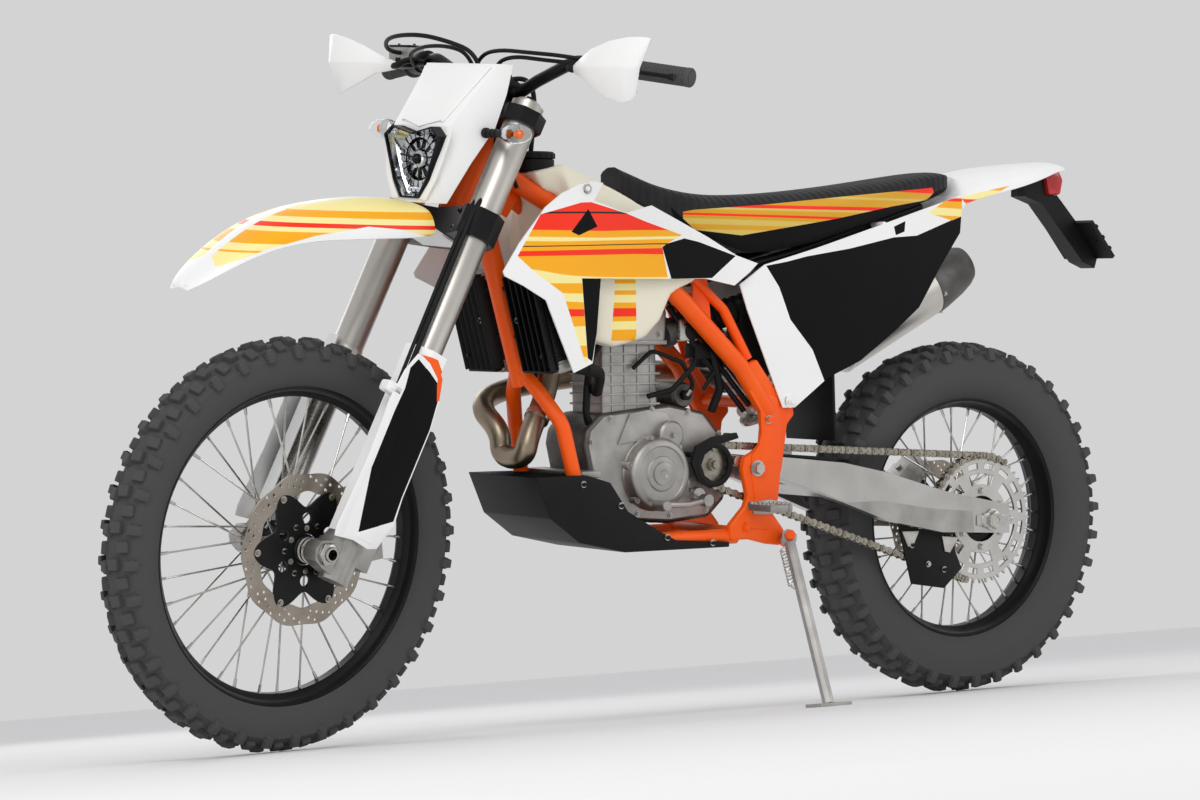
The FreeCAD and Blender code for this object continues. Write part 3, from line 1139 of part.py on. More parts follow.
def disc(centre, line, radius, bore):
    """A friction ring on arms, round a centre that sits on the hub."""
    low = line - DISC_THICKNESS / 2
    body = rod(centre + LEFT * low, centre + LEFT * (low + DISC_THICKNESS), radius, DISC_SIDES)
    inner = DISC_BOSS_RADIUS
    outer = radius - DISC_BAND
    step = 2 * math.pi / DISC_ARM_COUNT
    cuts = [drum(centre, low - OVERRUN, low + DISC_THICKNESS + OVERRUN, bore)]
    for i in range(DISC_ARM_COUNT):
        points = []
        for reach, count in ((outer, 5), (inner, 3)):
            half = step / 2 - math.asin(DISC_ARM_WIDTH / 2 / reach)
            arc = [half * (2 * k / (count - 1) - 1) for k in range(count)]
            for turn in (arc if reach == outer else arc[::-1]):
                angle = step * (i + 0.5) + turn
                points.append(centre + Vector(math.cos(angle) * reach, low - OVERRUN, math.sin(angle) * reach))
        cuts.append(prism(points, LEFT * (DISC_THICKNESS + 2 * OVERRUN)))
    return body.cut(Part.makeCompound(cuts))


def front_wheel():
    bore = FRONT_AXLE_RADIUS + SEAT_GAP
    half = FORK_Y - LUG_WIDTH / 2 - RUNNING_GAP
    bosses = [(0, DISC_LINE + DISC_THICKNESS, FRONT_HUB_RADIUS), (-half, half, FRONT_HUB_RADIUS * HUB_NECK_SHARE)]
    return {
        "front_tyre": knobbed(FRONT_AXLE, FRONT_TYRE_RADIUS, FRONT_TYRE_WIDTH, FRONT_CROWN_RADIUS, FRONT_BEAD_RADIUS,
                              FRONT_RIM_WIDTH, KNOB_SHARES),
        "front_rim": rim(FRONT_AXLE, FRONT_BEAD_RADIUS, FRONT_RIM_WIDTH),
        "front_spokes": spokes(FRONT_AXLE, FRONT_FLANGE_RADIUS, FRONT_FLANGE_SPACING, FRONT_BEAD_RADIUS),
        "front_hub": hub(FRONT_AXLE, FRONT_HUB_WIDTH, FRONT_HUB_RADIUS, FRONT_FLANGE_RADIUS, FRONT_FLANGE_SPACING,
                         bore, bosses),
        "front_disc": disc(FRONT_AXLE, DISC_LINE, FRONT_DISC_RADIUS, FRONT_HUB_RADIUS + SEAT_GAP),
    }


def rear_wheel():
    bore = REAR_AXLE_RADIUS + SEAT_GAP
    half = ARM_INNER - RUNNING_GAP
    carrier = CHAIN_LINE - SPROCKET_THICKNESS / 2
    right = CARRIER_INNER - RUNNING_GAP
    bosses = [(-DISC_LINE - DISC_THICKNESS, 0, REAR_HUB_RADIUS), (-right, half, REAR_HUB_RADIUS * HUB_NECK_SHARE),
              (carrier - CARRIER_DEPTH, carrier - SEAT_GAP, SPROCKET_HUB_RADIUS)]
    return {
        "rear_tyre": knobbed(REAR_AXLE, REAR_TYRE_RADIUS, REAR_TYRE_WIDTH, REAR_CROWN_RADIUS, REAR_BEAD_RADIUS,
                             REAR_RIM_WIDTH, KNOB_SHARES),
        "rear_rim": rim(REAR_AXLE, REAR_BEAD_RADIUS, REAR_RIM_WIDTH),
        "rear_spokes": spokes(REAR_AXLE, REAR_FLANGE_RADIUS, REAR_FLANGE_SPACING, REAR_BEAD_RADIUS),
        "rear_hub": hub(REAR_AXLE, REAR_HUB_WIDTH, REAR_HUB_RADIUS, REAR_FLANGE_RADIUS, REAR_FLANGE_SPACING,
                        bore, bosses),
        "rear_disc": disc(REAR_AXLE, -DISC_LINE, REAR_DISC_RADIUS, REAR_HUB_RADIUS + SEAT_GAP),
        "rear_sprocket": rear_sprocket(),
    }


# Steered pieces
RISER_WIDTH = 24.0
RISER_DEPTH = 44.0
RISER_SPREAD = 64.0
RISER_HEIGHT = 40.0
BAR_RADIUS = 11.0
BAR_FIT = 0.06
BAR_CENTRE_RADIUS = 14.0
BAR_AHEAD = 12.0


def clamp_outline(up):
    """A triple clamp's plan: round both legs and the stem, with a waist between."""
    wide = FORK_TUBE_RADIUS + CLAMP_WALL
    legs = -AXLE_OFFSET
    stem = -STEER_BACK
    back = stem - STEM_RADIUS - CLAMP_WALL
    points = [(legs + wide * 0.7, FORK_Y + wide * 0.7), (legs + wide, FORK_Y), (legs + wide * 0.7, FORK_Y - wide * 0.7),
              (legs + FORK_TUBE_RADIUS * 0.4, 0)]
    half = points[:-1] + [points[-1]]
    mirror = [(a, -y) for a, y in reversed(points[:-1])]
    rear = [(legs - wide * 0.7, -FORK_Y - wide * 0.7), (legs - wide, -FORK_Y), (back, -STEM_RADIUS * 2),
            (back, STEM_RADIUS * 2), (legs - wide, FORK_Y), (legs - wide * 0.7, FORK_Y + wide * 0.7),
            (legs, FORK_Y + wide)]
    side = [(legs, -FORK_Y - wide)]
    return [fork(a, y, up) for a, y in half + mirror + side + rear]


def triple_clamps():
    """Lower and upper clamp joined by the stem, with the risers that hold the handlebar."""
    pieces = [prism(clamp_outline(LOWER_CLAMP_LOW), FORK_UP * LOWER_CLAMP_HEIGHT),
              prism(clamp_outline(UPPER_CLAMP_LOW), FORK_UP * UPPER_CLAMP_HEIGHT)]
    pieces.append(rod(fork(-STEER_BACK, 0, LOWER_CLAMP_LOW), fork(-STEER_BACK, 0, UPPER_CLAMP_TOP + CLAMP_GAP),
                      STEM_RADIUS))
    bar = BAR_AHEAD - STEER_BACK
    for side in (1, -1):
        middle = side * RISER_SPREAD / 2
        foot = [fork(bar + a, middle + y, UPPER_CLAMP_TOP - OVERRUN)
                for a, y in ((-RISER_DEPTH / 2, -RISER_WIDTH / 2), (RISER_DEPTH / 2, -RISER_WIDTH / 2),
                             (RISER_DEPTH / 2, RISER_WIDTH / 2), (-RISER_DEPTH / 2, RISER_WIDTH / 2))]
        pieces.append(prism(foot, FORK_UP * (RISER_HEIGHT + BAR_CENTRE_RADIUS + CLAMP_WALL)))
    body = fused(pieces)
    for side in (1, -1):
        leg = rod(fork(-AXLE_OFFSET, side * FORK_Y, LOWER_CLAMP_LOW - OVERRUN),
                  fork(-AXLE_OFFSET, side * FORK_Y, UPPER_CLAMP_TOP + OVERRUN), FORK_TUBE_RADIUS + SEAT_GAP, LEG_SIDES)
        body = body.cut(leg)
    wide = LEFT * RISER_SPREAD
    centre = bar_centre()
    return body.cut(rod(centre - wide, centre + wide, BAR_CENTRE_RADIUS + SEAT_GAP))


def bar_centre():
    return fork(BAR_AHEAD - STEER_BACK, 0, UPPER_CLAMP_TOP + RISER_HEIGHT)


def fork_tubes():
    """The two upper tubes with their caps."""
    pieces = []
    top = UPPER_CLAMP_TOP + FORK_TUBE_PROUD
    for side in (1, -1):
        low = fork(-AXLE_OFFSET, side * FORK_Y, top - FORK_TUBE_LENGTH)
        high = fork(-AXLE_OFFSET, side * FORK_Y, top)
        body = fused([rod(low, high, FORK_TUBE_RADIUS, LEG_SIDES),
                      rod(high, high + FORK_UP * FORK_CAP_HEIGHT, FORK_CAP_RADIUS)])
        bore = rod(low - FORK_UP * OVERRUN, low + FORK_UP * LUG_HEIGHT, FORK_LEG_RADIUS + SEAT_GAP, LEG_SIDES)
        pieces.append(body.cut(bore))
    return Part.makeCompound(pieces)


def fork_lowers():
    """The two legs that slide in the tubes, each with its cast lug and axle clamp."""
    top = UPPER_CLAMP_TOP + FORK_TUBE_PROUD - FORK_TUBE_LENGTH + LUG_HEIGHT - SEAT_GAP
    pieces = []
    for side in (1, -1):
        y = side * FORK_Y
        half = LUG_WIDTH / 2
        foot = fork(-AXLE_OFFSET, y, -LUG_DROP)
        leg = rod(foot, fork(-AXLE_OFFSET, y, top), FORK_LEG_RADIUS, LEG_SIDES)
        outline = [(-AXLE_OFFSET - FORK_LEG_RADIUS, -LUG_DROP), (0, -AXLE_CLAMP_RADIUS), (0, AXLE_CLAMP_RADIUS),
                   (-AXLE_OFFSET + FORK_LEG_RADIUS, LUG_HEIGHT), (-AXLE_OFFSET - FORK_LEG_RADIUS, LUG_HEIGHT)]
        lug = prism([fork(a, y - half, b) for a, b in outline], LEFT * LUG_WIDTH)
        ring = rod(FRONT_AXLE + LEFT * (y - half), FRONT_AXLE + LEFT * (y + half), AXLE_CLAMP_RADIUS)
        body = fused([leg, lug, ring])
        wide = LEFT * LUG_WIDTH
        bore = rod(FRONT_AXLE + LEFT * y - wide, FRONT_AXLE + LEFT * y + wide, FRONT_AXLE_RADIUS + SEAT_GAP, LEG_SIDES)
        body = body.cut(bore)
        pieces.append(body)
    return Part.makeCompound(pieces)


GUARD_TOP_SHARE = 1.06
GUARD_THICKNESS = 3.0
GUARD_GAP = 5.0
GUARD_SECTION_SHARES = ((-0.55, 1.0), (0.35, 1.0), (1.0, 0.45), (1.0, -0.35))


def fork_guards():
    """Blades that cover the front and outside of each leg from the axle lug up over the tube's end."""
    reach = FORK_TUBE_RADIUS + GUARD_GAP
    slope = (reach - AXLE_OFFSET - SEAT_GAP) / (FORK_LEG_RADIUS - AXLE_OFFSET)
    low = AXLE_CLAMP_RADIUS + slope * (LUG_HEIGHT - AXLE_CLAMP_RADIUS)
    tube_end = UPPER_CLAMP_TOP + FORK_TUBE_PROUD - FORK_TUBE_LENGTH
    pieces = []
    for side in (1, -1):
        sections = []
        for up in (low, tube_end * GUARD_TOP_SHARE):
            outer = [(a * (reach + GUARD_THICKNESS), y * (reach + GUARD_THICKNESS)) for a, y in GUARD_SECTION_SHARES]
            inner = [(a * reach, y * reach) for a, y in reversed(GUARD_SECTION_SHARES)]
            sections.append([fork(-AXLE_OFFSET + a, side * (FORK_Y + y), up) for a, y in outer + inner])
        pieces.append(skin(sections))
    return Part.makeCompound(pieces)


def front_axle():
    half = FORK_Y + LUG_WIDTH / 2
    return axle(FRONT_AXLE, FRONT_AXLE_RADIUS, FRONT_AXLE_BORE, half + FRONT_AXLE_OUT, half + SEAT_GAP)


# Front fender: stations along it ahead of the stem, as (ahead, crest height over the clamp's foot, half width, drop)
FENDER_LENGTH = 500.0
FENDER_RISE = 100.0
FENDER_Y = 78.0
FENDER_DROP = 72.0
FRONT_FENDER_SHARES = ((0.130, 0.36, 0.60, 0.30), (0.144, 0.70, 0.90, 0.70), (0.260, 0.78, 0.94, 0.94),
                       (0.460, 0.76, 1.0, 0.92), (0.660, 0.62, 1.0, 0.78), (0.790, 0.40, 0.96, 0.62),
                       (0.905, 0.06, 0.86, 0.42), (1.010, -0.34, 0.68, 0.26), (1.090, -0.70, 0.34, 0.12))
FENDER_FOOT_SHARES = (-0.01, 0.20)


def front_fender():
    """A crowned blade over the wheel, with a flat foot under the lower clamp."""
    foot = fork(-STEER_BACK, 0, LOWER_CLAMP_LOW)
    sections = []
    for ahead, rise, half, drop in FRONT_FENDER_SHARES:
        place = foot + AHEAD * ahead * FENDER_LENGTH + UP * rise * FENDER_RISE
        sections.append(fender_section(place, half * FENDER_Y, drop * FENDER_DROP))
    blade = skin(sections)
    under = SEAT_GAP + FENDER_THICKNESS
    rear = FENDER_FOOT_SHARES[0] * FENDER_LENGTH
    front = FENDER_FOOT_SHARES[1] * FENDER_LENGTH
    half = FORK_Y / 2
    corners = [fork(-STEER_BACK + a, y, LOWER_CLAMP_LOW - under) for a, y in (
        (rear, -half), (front, -half), (front, half), (rear, half))]
    return fused([blade, prism(corners, FORK_UP * FENDER_THICKNESS)])


# Headlight mask: levels as (front x, corner half width, rear x, rear half width, z)
MASK_SHARES = ((0.497, 0.40, 0.470, 0.63, 0.930), (0.490, 0.56, 0.435, 0.80, 1.000), (0.480, 0.68, 0.395, 0.92, 1.062),
               (0.434, 0.78, 0.378, 0.98, 1.120), (0.396, 0.86, 0.368, 1.0, 1.171))
MASK_Y = 109.0
LENS_SHARES = ((0.0, 1.050), (0.46, 1.060), (0.62, 1.040), (0.36, 0.960), (0.14, 0.938), (-0.14, 0.938),
               (-0.36, 0.960), (-0.62, 1.040), (-0.46, 1.060))
LENS_DEPTH = 34.0
LENS_PROUD = 2.0


def mask_section(front, corner, rear, rear_half, z, inset):
    """One level of the mask: two rear edges, two corners and a crest in the middle."""
    edge = rear_half * MASK_Y - inset
    turn = corner * MASK_Y - inset
    return [at(rear, edge, z), at(front, turn, z) - AHEAD * (inset + PANEL_THICKNESS), at(front, 0, z) - AHEAD * inset,
            at(front, -turn, z) - AHEAD * (inset + PANEL_THICKNESS), at(rear, -edge, z)]


def headlight_mask():
    """A faceted shell in front of the clamps, open behind, with the headlight's window."""
    outer = [mask_section(*level, 0) for level in MASK_SHARES]
    inner = [mask_section(*level, PANEL_THICKNESS) for level in MASK_SHARES]
    sections = [o + list(reversed(i)) for o, i in zip(outer, inner)]
    shell = skin(sections)
    return shell.cut(lens_prism(SEAT_GAP, 3 * LENS_DEPTH))


def lens_prism(grow, depth):
    """The headlight's outline, pushed back from in front of the mask."""
    front = at(MASK_SHARES[0][0], 0, 0).x + LENS_PROUD
    size = 1 + grow / MASK_Y
    points = []
    middle = (LENS_SHARES[1][1] + LENS_SHARES[4][1]) / 2
    for y, z in LENS_SHARES:
        place = at(0, y * MASK_Y * size, middle + (z - middle) * size)
        points.append(Vector(front, place.y, place.z))
    return prism(points, AHEAD * -depth)


def headlight():
    """The lamp's body behind its window, with the front raked like the mask."""
    return lens_prism(0, LENS_DEPTH)


SIGNAL_SHARES = (0.415, 1.053)
SIGNAL_STALK_RADIUS = 7.0
SIGNAL_ROOT_SHARE = 0.882
SIGNAL_Y = 150.0
SIGNAL_LENGTH = 66.0
SIGNAL_HEIGHT = 34.0
SIGNAL_WIDTH = 36.0
SIGNAL_SECTION_SHARES = ((0.0, 0.5), (0.3, 0.9), (0.7, 1.0), (1.0, 0.4))


def turn_signals():
    """Two lamps on stalks beside the mask."""
    pieces = []
    for side in (1, -1):
        root = at(SIGNAL_SHARES[0], side * (SIGNAL_ROOT_SHARE * MASK_Y + SEAT_GAP), SIGNAL_SHARES[1])
        sections = []
        for along, size in SIGNAL_SECTION_SHARES:
            ring = []
            y = side * (SIGNAL_Y + along * SIGNAL_LENGTH)
            for i in range(8):
                angle = math.pi * (i + 0.5) / 4
                ring.append(at(SIGNAL_SHARES[0], y, SIGNAL_SHARES[1])
                            + AHEAD * (math.cos(angle) * size * SIGNAL_WIDTH / 2)
                            + UP * (math.sin(angle) * size * SIGNAL_HEIGHT / 2))
            sections.append(ring)
        stalk = rod(root, at(SIGNAL_SHARES[0], side * (SIGNAL_Y + OVERRUN), SIGNAL_SHARES[1]), SIGNAL_STALK_RADIUS)
        pieces.append(fused([skin(sections), stalk]))
    return Part.makeCompound(pieces)


# Handlebar and what it carries
BAR_HALF = 405.0
BAR_SHARES = ((0.13, 0.0, 0.0), (0.24, -0.10, 0.40), (0.46, -0.22, 1.0), (1.0, -1.30, 0.62))
BAR_RISE = 60.0
BAR_BEND = 50.0
GRIP_LENGTH = 122.0
GRIP_RADIUS = 16.0
GRIP_FLANGE_RADIUS = 24.0
GRIP_FLANGE_WIDTH = 5.0
PERCH_SHARE = 0.60
PERCH_LENGTH = 34.0
LEVER_LENGTH = 150.0
LEVER_THICKNESS = 9.0
LEVER_GAP = 44.0
RESERVOIR_SIZE = 38.0


def bar_point(share, back, rise):
    """A place on the left half of the handlebar."""
    return bar_centre() + Vector(back * BAR_RISE, share * BAR_HALF, rise * BAR_RISE)


def bar_end():
    """The last bend of the left half and its open end."""
    return bar_point(*BAR_SHARES[-2]), bar_point(*BAR_SHARES[-1])


def handlebar():
    """A bent tube, thicker where the risers hold it."""
    left = [bar_point(*row) for row in BAR_SHARES]
    right = [Vector(p.x, -p.y, p.z) for p in reversed(left)]
    body = pipe(right + left, BAR_RADIUS, BAR_BEND)
    half = LEFT * (RISER_SPREAD / 2 + RISER_WIDTH / 2)
    return fused([body, rod(bar_centre() - half, bar_centre() + half, BAR_CENTRE_RADIUS)])


def grips():
    """A sleeve on each end of the handlebar with a flange at its inner end."""
    bend, end = bar_end()
    out = (end - bend).normalize()
    start = end - out * GRIP_LENGTH
    body = fused([rod(start, end, GRIP_RADIUS), rod(start, start + out * GRIP_FLANGE_WIDTH, GRIP_FLANGE_RADIUS)])
    body = body.cut(flat_bore(start - out * OVERRUN, end + out * OVERRUN, BAR_RADIUS + BAR_FIT, ROD_SIDES))
    return Part.makeCompound(both_sides(body))


def hand_controls():
    """A perch with its reservoir and lever inboard of each grip."""
    bend, end = bar_end()
    out = (end - bend).normalize()
    start = end - out * (GRIP_LENGTH + PERCH_LENGTH + GRIP_FLANGE_WIDTH)
    ring = rod(start, start + out * PERCH_LENGTH, BAR_RADIUS + LEVER_THICKNESS)
    middle = start + out * PERCH_LENGTH / 2
    low = middle + Vector(BAR_RADIUS, -RESERVOIR_SIZE / 2, -LEVER_THICKNESS)
    tank = box(low, low + Vector(LEVER_GAP - BAR_RADIUS, RESERVOIR_SIZE, RESERVOIR_SIZE))
    pivot = middle + AHEAD * LEVER_GAP
    tip = pivot + out * LEVER_LENGTH + AHEAD * LEVER_THICKNESS
    lever = rod(pivot - out * LEVER_THICKNESS, tip, LEVER_THICKNESS / 2)
    body = fused([ring, tank, lever])
    spare = out * RESERVOIR_SIZE
    body = body.cut(flat_bore(start - spare, start + spare * 2, BAR_RADIUS + BAR_FIT, ROD_SIDES))
    return Part.makeCompound(both_sides(body))


HANDGUARD_AHEAD = 74.0
HANDGUARD_SHARES = ((0.66, -0.10, 0.10, 0.42), (0.74, 0.06, 0.36, 0.50), (0.92, 0.04, 0.36, 0.50), (1.06, -0.20, 0.26, 0.44))
HANDGUARD_HEIGHT = 100.0
HANDGUARD_DEPTH = 100.0
STAY_RADIUS = 6.0


def handguards():
    """Shields in front of the grips, each on a stay from the bar."""
    bend, end = bar_end()
    sections = []
    for y, ahead, low, high in HANDGUARD_SHARES:
        place = Vector(bend.x + HANDGUARD_AHEAD + ahead * HANDGUARD_DEPTH, y * BAR_HALF, bend.z)
        top = place + UP * high * HANDGUARD_HEIGHT - AHEAD * FENDER_THICKNESS
        foot = place - UP * (1 - high) * HANDGUARD_HEIGHT
        sections.append([top, place, foot, foot - AHEAD * FENDER_THICKNESS, place - AHEAD * FENDER_THICKNESS,
                         top - AHEAD * FENDER_THICKNESS])
    shield = skin(sections)
    out = (end - bend).normalize()
    hold = end - out * (GRIP_LENGTH + 2 * PERCH_LENGTH + 2 * GRIP_FLANGE_WIDTH)
    ring = tube(hold, hold + out * PERCH_LENGTH * 0.5, BAR_RADIUS + STAY_RADIUS,
                (BAR_RADIUS + BAR_FIT) / math.cos(math.pi / ROD_SIDES))
    clip = hold + out * PERCH_LENGTH * 0.25 + AHEAD * (BAR_RADIUS + STAY_RADIUS / 2)
    far = sections[0][1] - AHEAD * FENDER_THICKNESS / 2 + LEFT * OVERRUN
    return Part.makeCompound(both_sides(fused([shield, ring, rod(clip, far, STAY_RADIUS)])))


# Control cables: hose from the right master cylinder over the mask and down the left leg, and two loops
CABLE_RADIUS = 4.0
CABLE_SHARES = ((0.3147, -2.62, 1.190), (0.350, -2.62, 1.190), (0.412, -1.90, 1.214), (0.420, -0.90, 1.220),
                (0.397, -0.30, 1.208), (0.374, 0.15, 1.190), (0.370, 0.38, 1.130), (0.3826, 0.447, 1.0984),
                (0.3606, 0.499, 1.0877))
CABLE_Y = 100.0


def control_cables():
    """Cables that loop from the controls to the middle behind the mask."""
    left = [at(x, y * CABLE_Y, z) for x, y, z in CABLE_SHARES]
    return pipe(left, CABLE_RADIUS, BAR_BEND)


# Side stand
STAND_PIVOT_SHARES = (-0.241, 0.329)
STAND_PIVOT_Y = 124.0
STAND_FOOT_X = 42.0
STAND_FOOT_Y = 172.0
STAND_STOWED_SHARES = (-0.965, 0.17, 0.20)
STAND_EYE_RADIUS = 15.0
STAND_HEAD_RADIUS = 9.5
STAND_EYE_LENGTH = 14.0
STAND_PIN_RADIUS = 6.0
STAND_LEG_RADIUS = 11.0
STAND_HEAD_HEIGHT = 6.0
STAND_PAD_LENGTH = 70.0
STAND_PAD_WIDTH = 44.0
STAND_PAD_THICKNESS = 6.0


def lowest_of_wheel(centre, axis, profile):
    """Height of a tyre's lowest point above Z = 0 when its axle points along an axis."""
    slope = math.sqrt(1 - axis.z ** 2)
    return centre.z + min(y * axis.z - radius * slope for radius, y in profile)


def steered(vector):
    """A vector of the straight fork, turned with the steering."""
    turn = FreeCAD.Rotation(FORK_UP, STEER_ANGLE)
    return turn.multVec(vector)


STEER_ORIGIN = HEAD


def placed(trim):
    """The lean and the small pitch that together put both tyres on the ground."""
    return FreeCAD.Rotation(AHEAD, -LEAN_ANGLE).multiply(FreeCAD.Rotation(LEFT, trim))


def wheel_heights(trim):
    spin = placed(trim)
    front = STEER_ORIGIN + steered(FRONT_AXLE - STEER_ORIGIN)
    return (lowest_of_wheel(spin.multVec(front), spin.multVec(steered(LEFT)), FRONT_TYRE_PROFILE),
            lowest_of_wheel(spin.multVec(REAR_AXLE), spin.multVec(LEFT), REAR_TYRE_PROFILE))


def find_trim():
    """The pitch at which both tyres are equally high."""
    trim = 0.0
    span = FRONT_AXLE.x - REAR_AXLE.x
    for _ in range(20):
        front, rear = wheel_heights(trim)
        trim += math.degrees((front - rear) / span)
    return trim


TRIM = find_trim()
LIFT = -wheel_heights(TRIM)[1]
PARKED = FreeCAD.Placement(UP * LIFT, placed(TRIM))
STEERED = FreeCAD.Placement(Vector(), FreeCAD.Rotation(FORK_UP, STEER_ANGLE), STEER_ORIGIN)


def stand_frame():
    """Pivot, foot and hinge axis of the side stand, on the upright machine."""
    pivot = at(STAND_PIVOT_SHARES[0], STAND_PIVOT_Y, STAND_PIVOT_SHARES[1])
    ground = PARKED.inverse()
    normal = ground.Rotation.multVec(UP)
    origin = ground.multVec(Vector())
    foot = pivot + Vector(STAND_FOOT_X, STAND_FOOT_Y, 0)
    foot.z = origin.z - ((foot.x - origin.x) * normal.x + (foot.y - origin.y) * normal.y) / normal.z
    down = (foot - pivot).normalize()
    stowed = Vector(*STAND_STOWED_SHARES).normalize()
    return pivot, foot, down.cross(stowed).normalize(), normal


def stand_boss():
    """The frame's boss and pin that the side stand turns on."""
    pivot, _, hinge, _ = stand_frame()
    half = STAND_EYE_LENGTH / 2 + SEAT_GAP
    plate = at(STAND_PIVOT_SHARES[0], PLATE_INNER + PLATE_THICKNESS / 2, STAND_PIVOT_SHARES[1])
    back = pivot - hinge * (half + 2 * STAND_HEAD_HEIGHT)
    return fused([rod(plate, back, STAND_HEAD_RADIUS), rod(back, pivot - hinge * half, STAND_HEAD_RADIUS),
                  pin(pivot - hinge * half, pivot + hinge * half, STAND_PIN_RADIUS),
                  rod(pivot + hinge * half, pivot + hinge * (half + STAND_HEAD_HEIGHT), STAND_HEAD_RADIUS)])


def side_stand():
    """Eye, leg and foot pad, with the pad flat on the ground when the machine leans on it."""
    pivot, foot, hinge, normal = stand_frame()
    half = hinge * (STAND_EYE_LENGTH / 2)
    down = (foot - pivot).normalize()
    eye = rod(pivot - half, pivot + half, STAND_EYE_RADIUS)
    leg = rod(pivot + down * (STAND_HEAD_RADIUS + OVERRUN), foot + normal * STAND_PAD_THICKNESS / 2,
              STAND_LEG_RADIUS)
    aside = normal.cross(AHEAD).normalize() * STAND_PAD_WIDTH / 2
    along = aside.cross(normal).normalize() * STAND_PAD_LENGTH / 2
    corners = [foot - along - aside, foot + along - aside, foot + along + aside, foot - along + aside]
    pad = prism(corners, normal * STAND_PAD_THICKNESS)
    body = fused([eye, leg, pad])
    below = [point - normal * STAND_PAD_LENGTH for point in corners]
    body = body.cut(prism(below, normal * STAND_PAD_LENGTH))
    bore = hinge * (STAND_EYE_LENGTH / 2 + OVERRUN)
    return body.cut(pin(pivot - bore, pivot + bore, STAND_PIN_RADIUS + SEAT_GAP))


CHASSIS = {
    "frame": frame,
    "subframe": subframe,
    "swingarm": swingarm,
    "rear_axle": rear_axle,
    "rear_shock": rear_shock,
    "engine": engine,
    "engine_covers": engine_covers,
    "intake": intake,
    "exhaust_header": exhaust_header,
    "muffler": muffler,
    "radiators": radiators,
    "shrouds": shrouds,
    "fuel_tank": fuel_tank,
    "fuel_cap": fuel_cap,
    "seat": seat,
    "side_panels": side_panels,
    "rear_fender": rear_fender,
    "tail_light": tail_light,
    "plate_holder": plate_holder,
    "skid_plate": skid_plate,
    "foot_controls": foot_controls,
    "rear_caliper": rear_caliper,
    "front_sprocket": front_sprocket,
    "chain": chain,
    "chain_guards": chain_guards,
    "side_stand": side_stand,
}

STEERING = {
    "triple_clamps": triple_clamps,
    "fork_tubes": fork_tubes,
    "fork_lowers": fork_lowers,
    "fork_guards": fork_guards,
    "front_axle": front_axle,
    "front_caliper": front_caliper,
    "front_fender": front_fender,
    "headlight_mask": headlight_mask,
    "headlight": headlight,
    "turn_signals": turn_signals,
    "handlebar": handlebar,
    "grips": grips,
    "hand_controls": hand_controls,
    "handguards": handguards,
    "control_cables": control_cables,
}


def build():
    """All nodes by name, each parked on the ground."""
    nodes = {name: make() for name, make in CHASSIS.items()}
    nodes.update(rear_wheel())
    ahead = {name: make() for name, make in STEERING.items()}
    ahead.update(front_wheel())
    for name, shape in ahead.items():
        shape.Placement = STEERED.multiply(shape.Placement)
        nodes[name] = shape
    for shape in nodes.values():
        shape.Placement = PARKED.multiply(shape.Placement)
    whole = Part.makeCompound(list(nodes.values())).BoundBox
    centre = Vector(-(whole.XMin + whole.XMax) / 2, -(whole.YMin + whole.YMax) / 2, 0)
    for shape in nodes.values():
        shape.translate(centre)
    return nodes, centre


def main():
    os.makedirs("parts", exist_ok=True)
    nodes, _ = build()
    for name, shape in nodes.items():
        shape.exportStep("parts/" + name + ".step")
    print(len(nodes), "nodes")


main()
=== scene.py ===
"""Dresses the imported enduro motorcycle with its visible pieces, finishes, floor, lights and camera."""
import json
from math import asin, cos, pi, radians, sin, sqrt, tan

import bmesh
import bpy
from mathutils import Matrix, Quaternion, Vector

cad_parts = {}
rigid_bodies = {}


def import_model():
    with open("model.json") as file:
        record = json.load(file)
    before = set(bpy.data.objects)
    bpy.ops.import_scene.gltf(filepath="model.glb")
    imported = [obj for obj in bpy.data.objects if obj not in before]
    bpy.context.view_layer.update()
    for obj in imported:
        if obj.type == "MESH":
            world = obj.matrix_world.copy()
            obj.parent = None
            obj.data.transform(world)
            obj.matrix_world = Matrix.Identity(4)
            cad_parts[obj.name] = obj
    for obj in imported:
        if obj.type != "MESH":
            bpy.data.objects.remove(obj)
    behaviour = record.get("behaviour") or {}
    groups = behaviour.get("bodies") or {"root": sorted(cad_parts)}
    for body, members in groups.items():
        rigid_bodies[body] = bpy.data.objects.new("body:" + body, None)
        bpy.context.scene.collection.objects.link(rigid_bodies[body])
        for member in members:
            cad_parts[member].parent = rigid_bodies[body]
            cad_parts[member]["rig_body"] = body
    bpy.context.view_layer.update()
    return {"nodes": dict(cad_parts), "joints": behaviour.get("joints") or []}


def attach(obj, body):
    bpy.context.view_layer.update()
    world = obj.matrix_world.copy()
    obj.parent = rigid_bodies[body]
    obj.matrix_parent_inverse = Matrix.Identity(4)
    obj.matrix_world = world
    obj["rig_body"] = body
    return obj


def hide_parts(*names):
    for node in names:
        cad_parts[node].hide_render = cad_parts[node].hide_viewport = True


bl_info = {
    "name": "Enduro motorcycle dresser",
    "version": (1, 0, 0),
    "blender": (4, 5, 0),
    "location": "3D View > Sidebar > Enduro",
    "description": "Builds the visible pieces of an enduro motorcycle round its packed frame",
    "category": "Object",
}

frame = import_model()
JOINTS = {joint["name"]: joint for joint in frame["joints"]}

# The upright machine, in millimetres: X ahead, Y to the rider's left, Z up
AHEAD = Vector((1, 0, 0))
LEFT = Vector((0, 1, 0))
UP = Vector((0, 0, 1))
RAKE = radians(26)
FORK_UP = Vector((-sin(RAKE), 0, cos(RAKE)))
FORK_AHEAD = Vector((cos(RAKE), 0, sin(RAKE)))
HEAD = Vector((363, 0, 981))
FRONT_AXLE = HEAD + FORK_AHEAD * 64 - FORK_UP * 731
COUNTERSHAFT = Vector((-99.3, 0, 465))

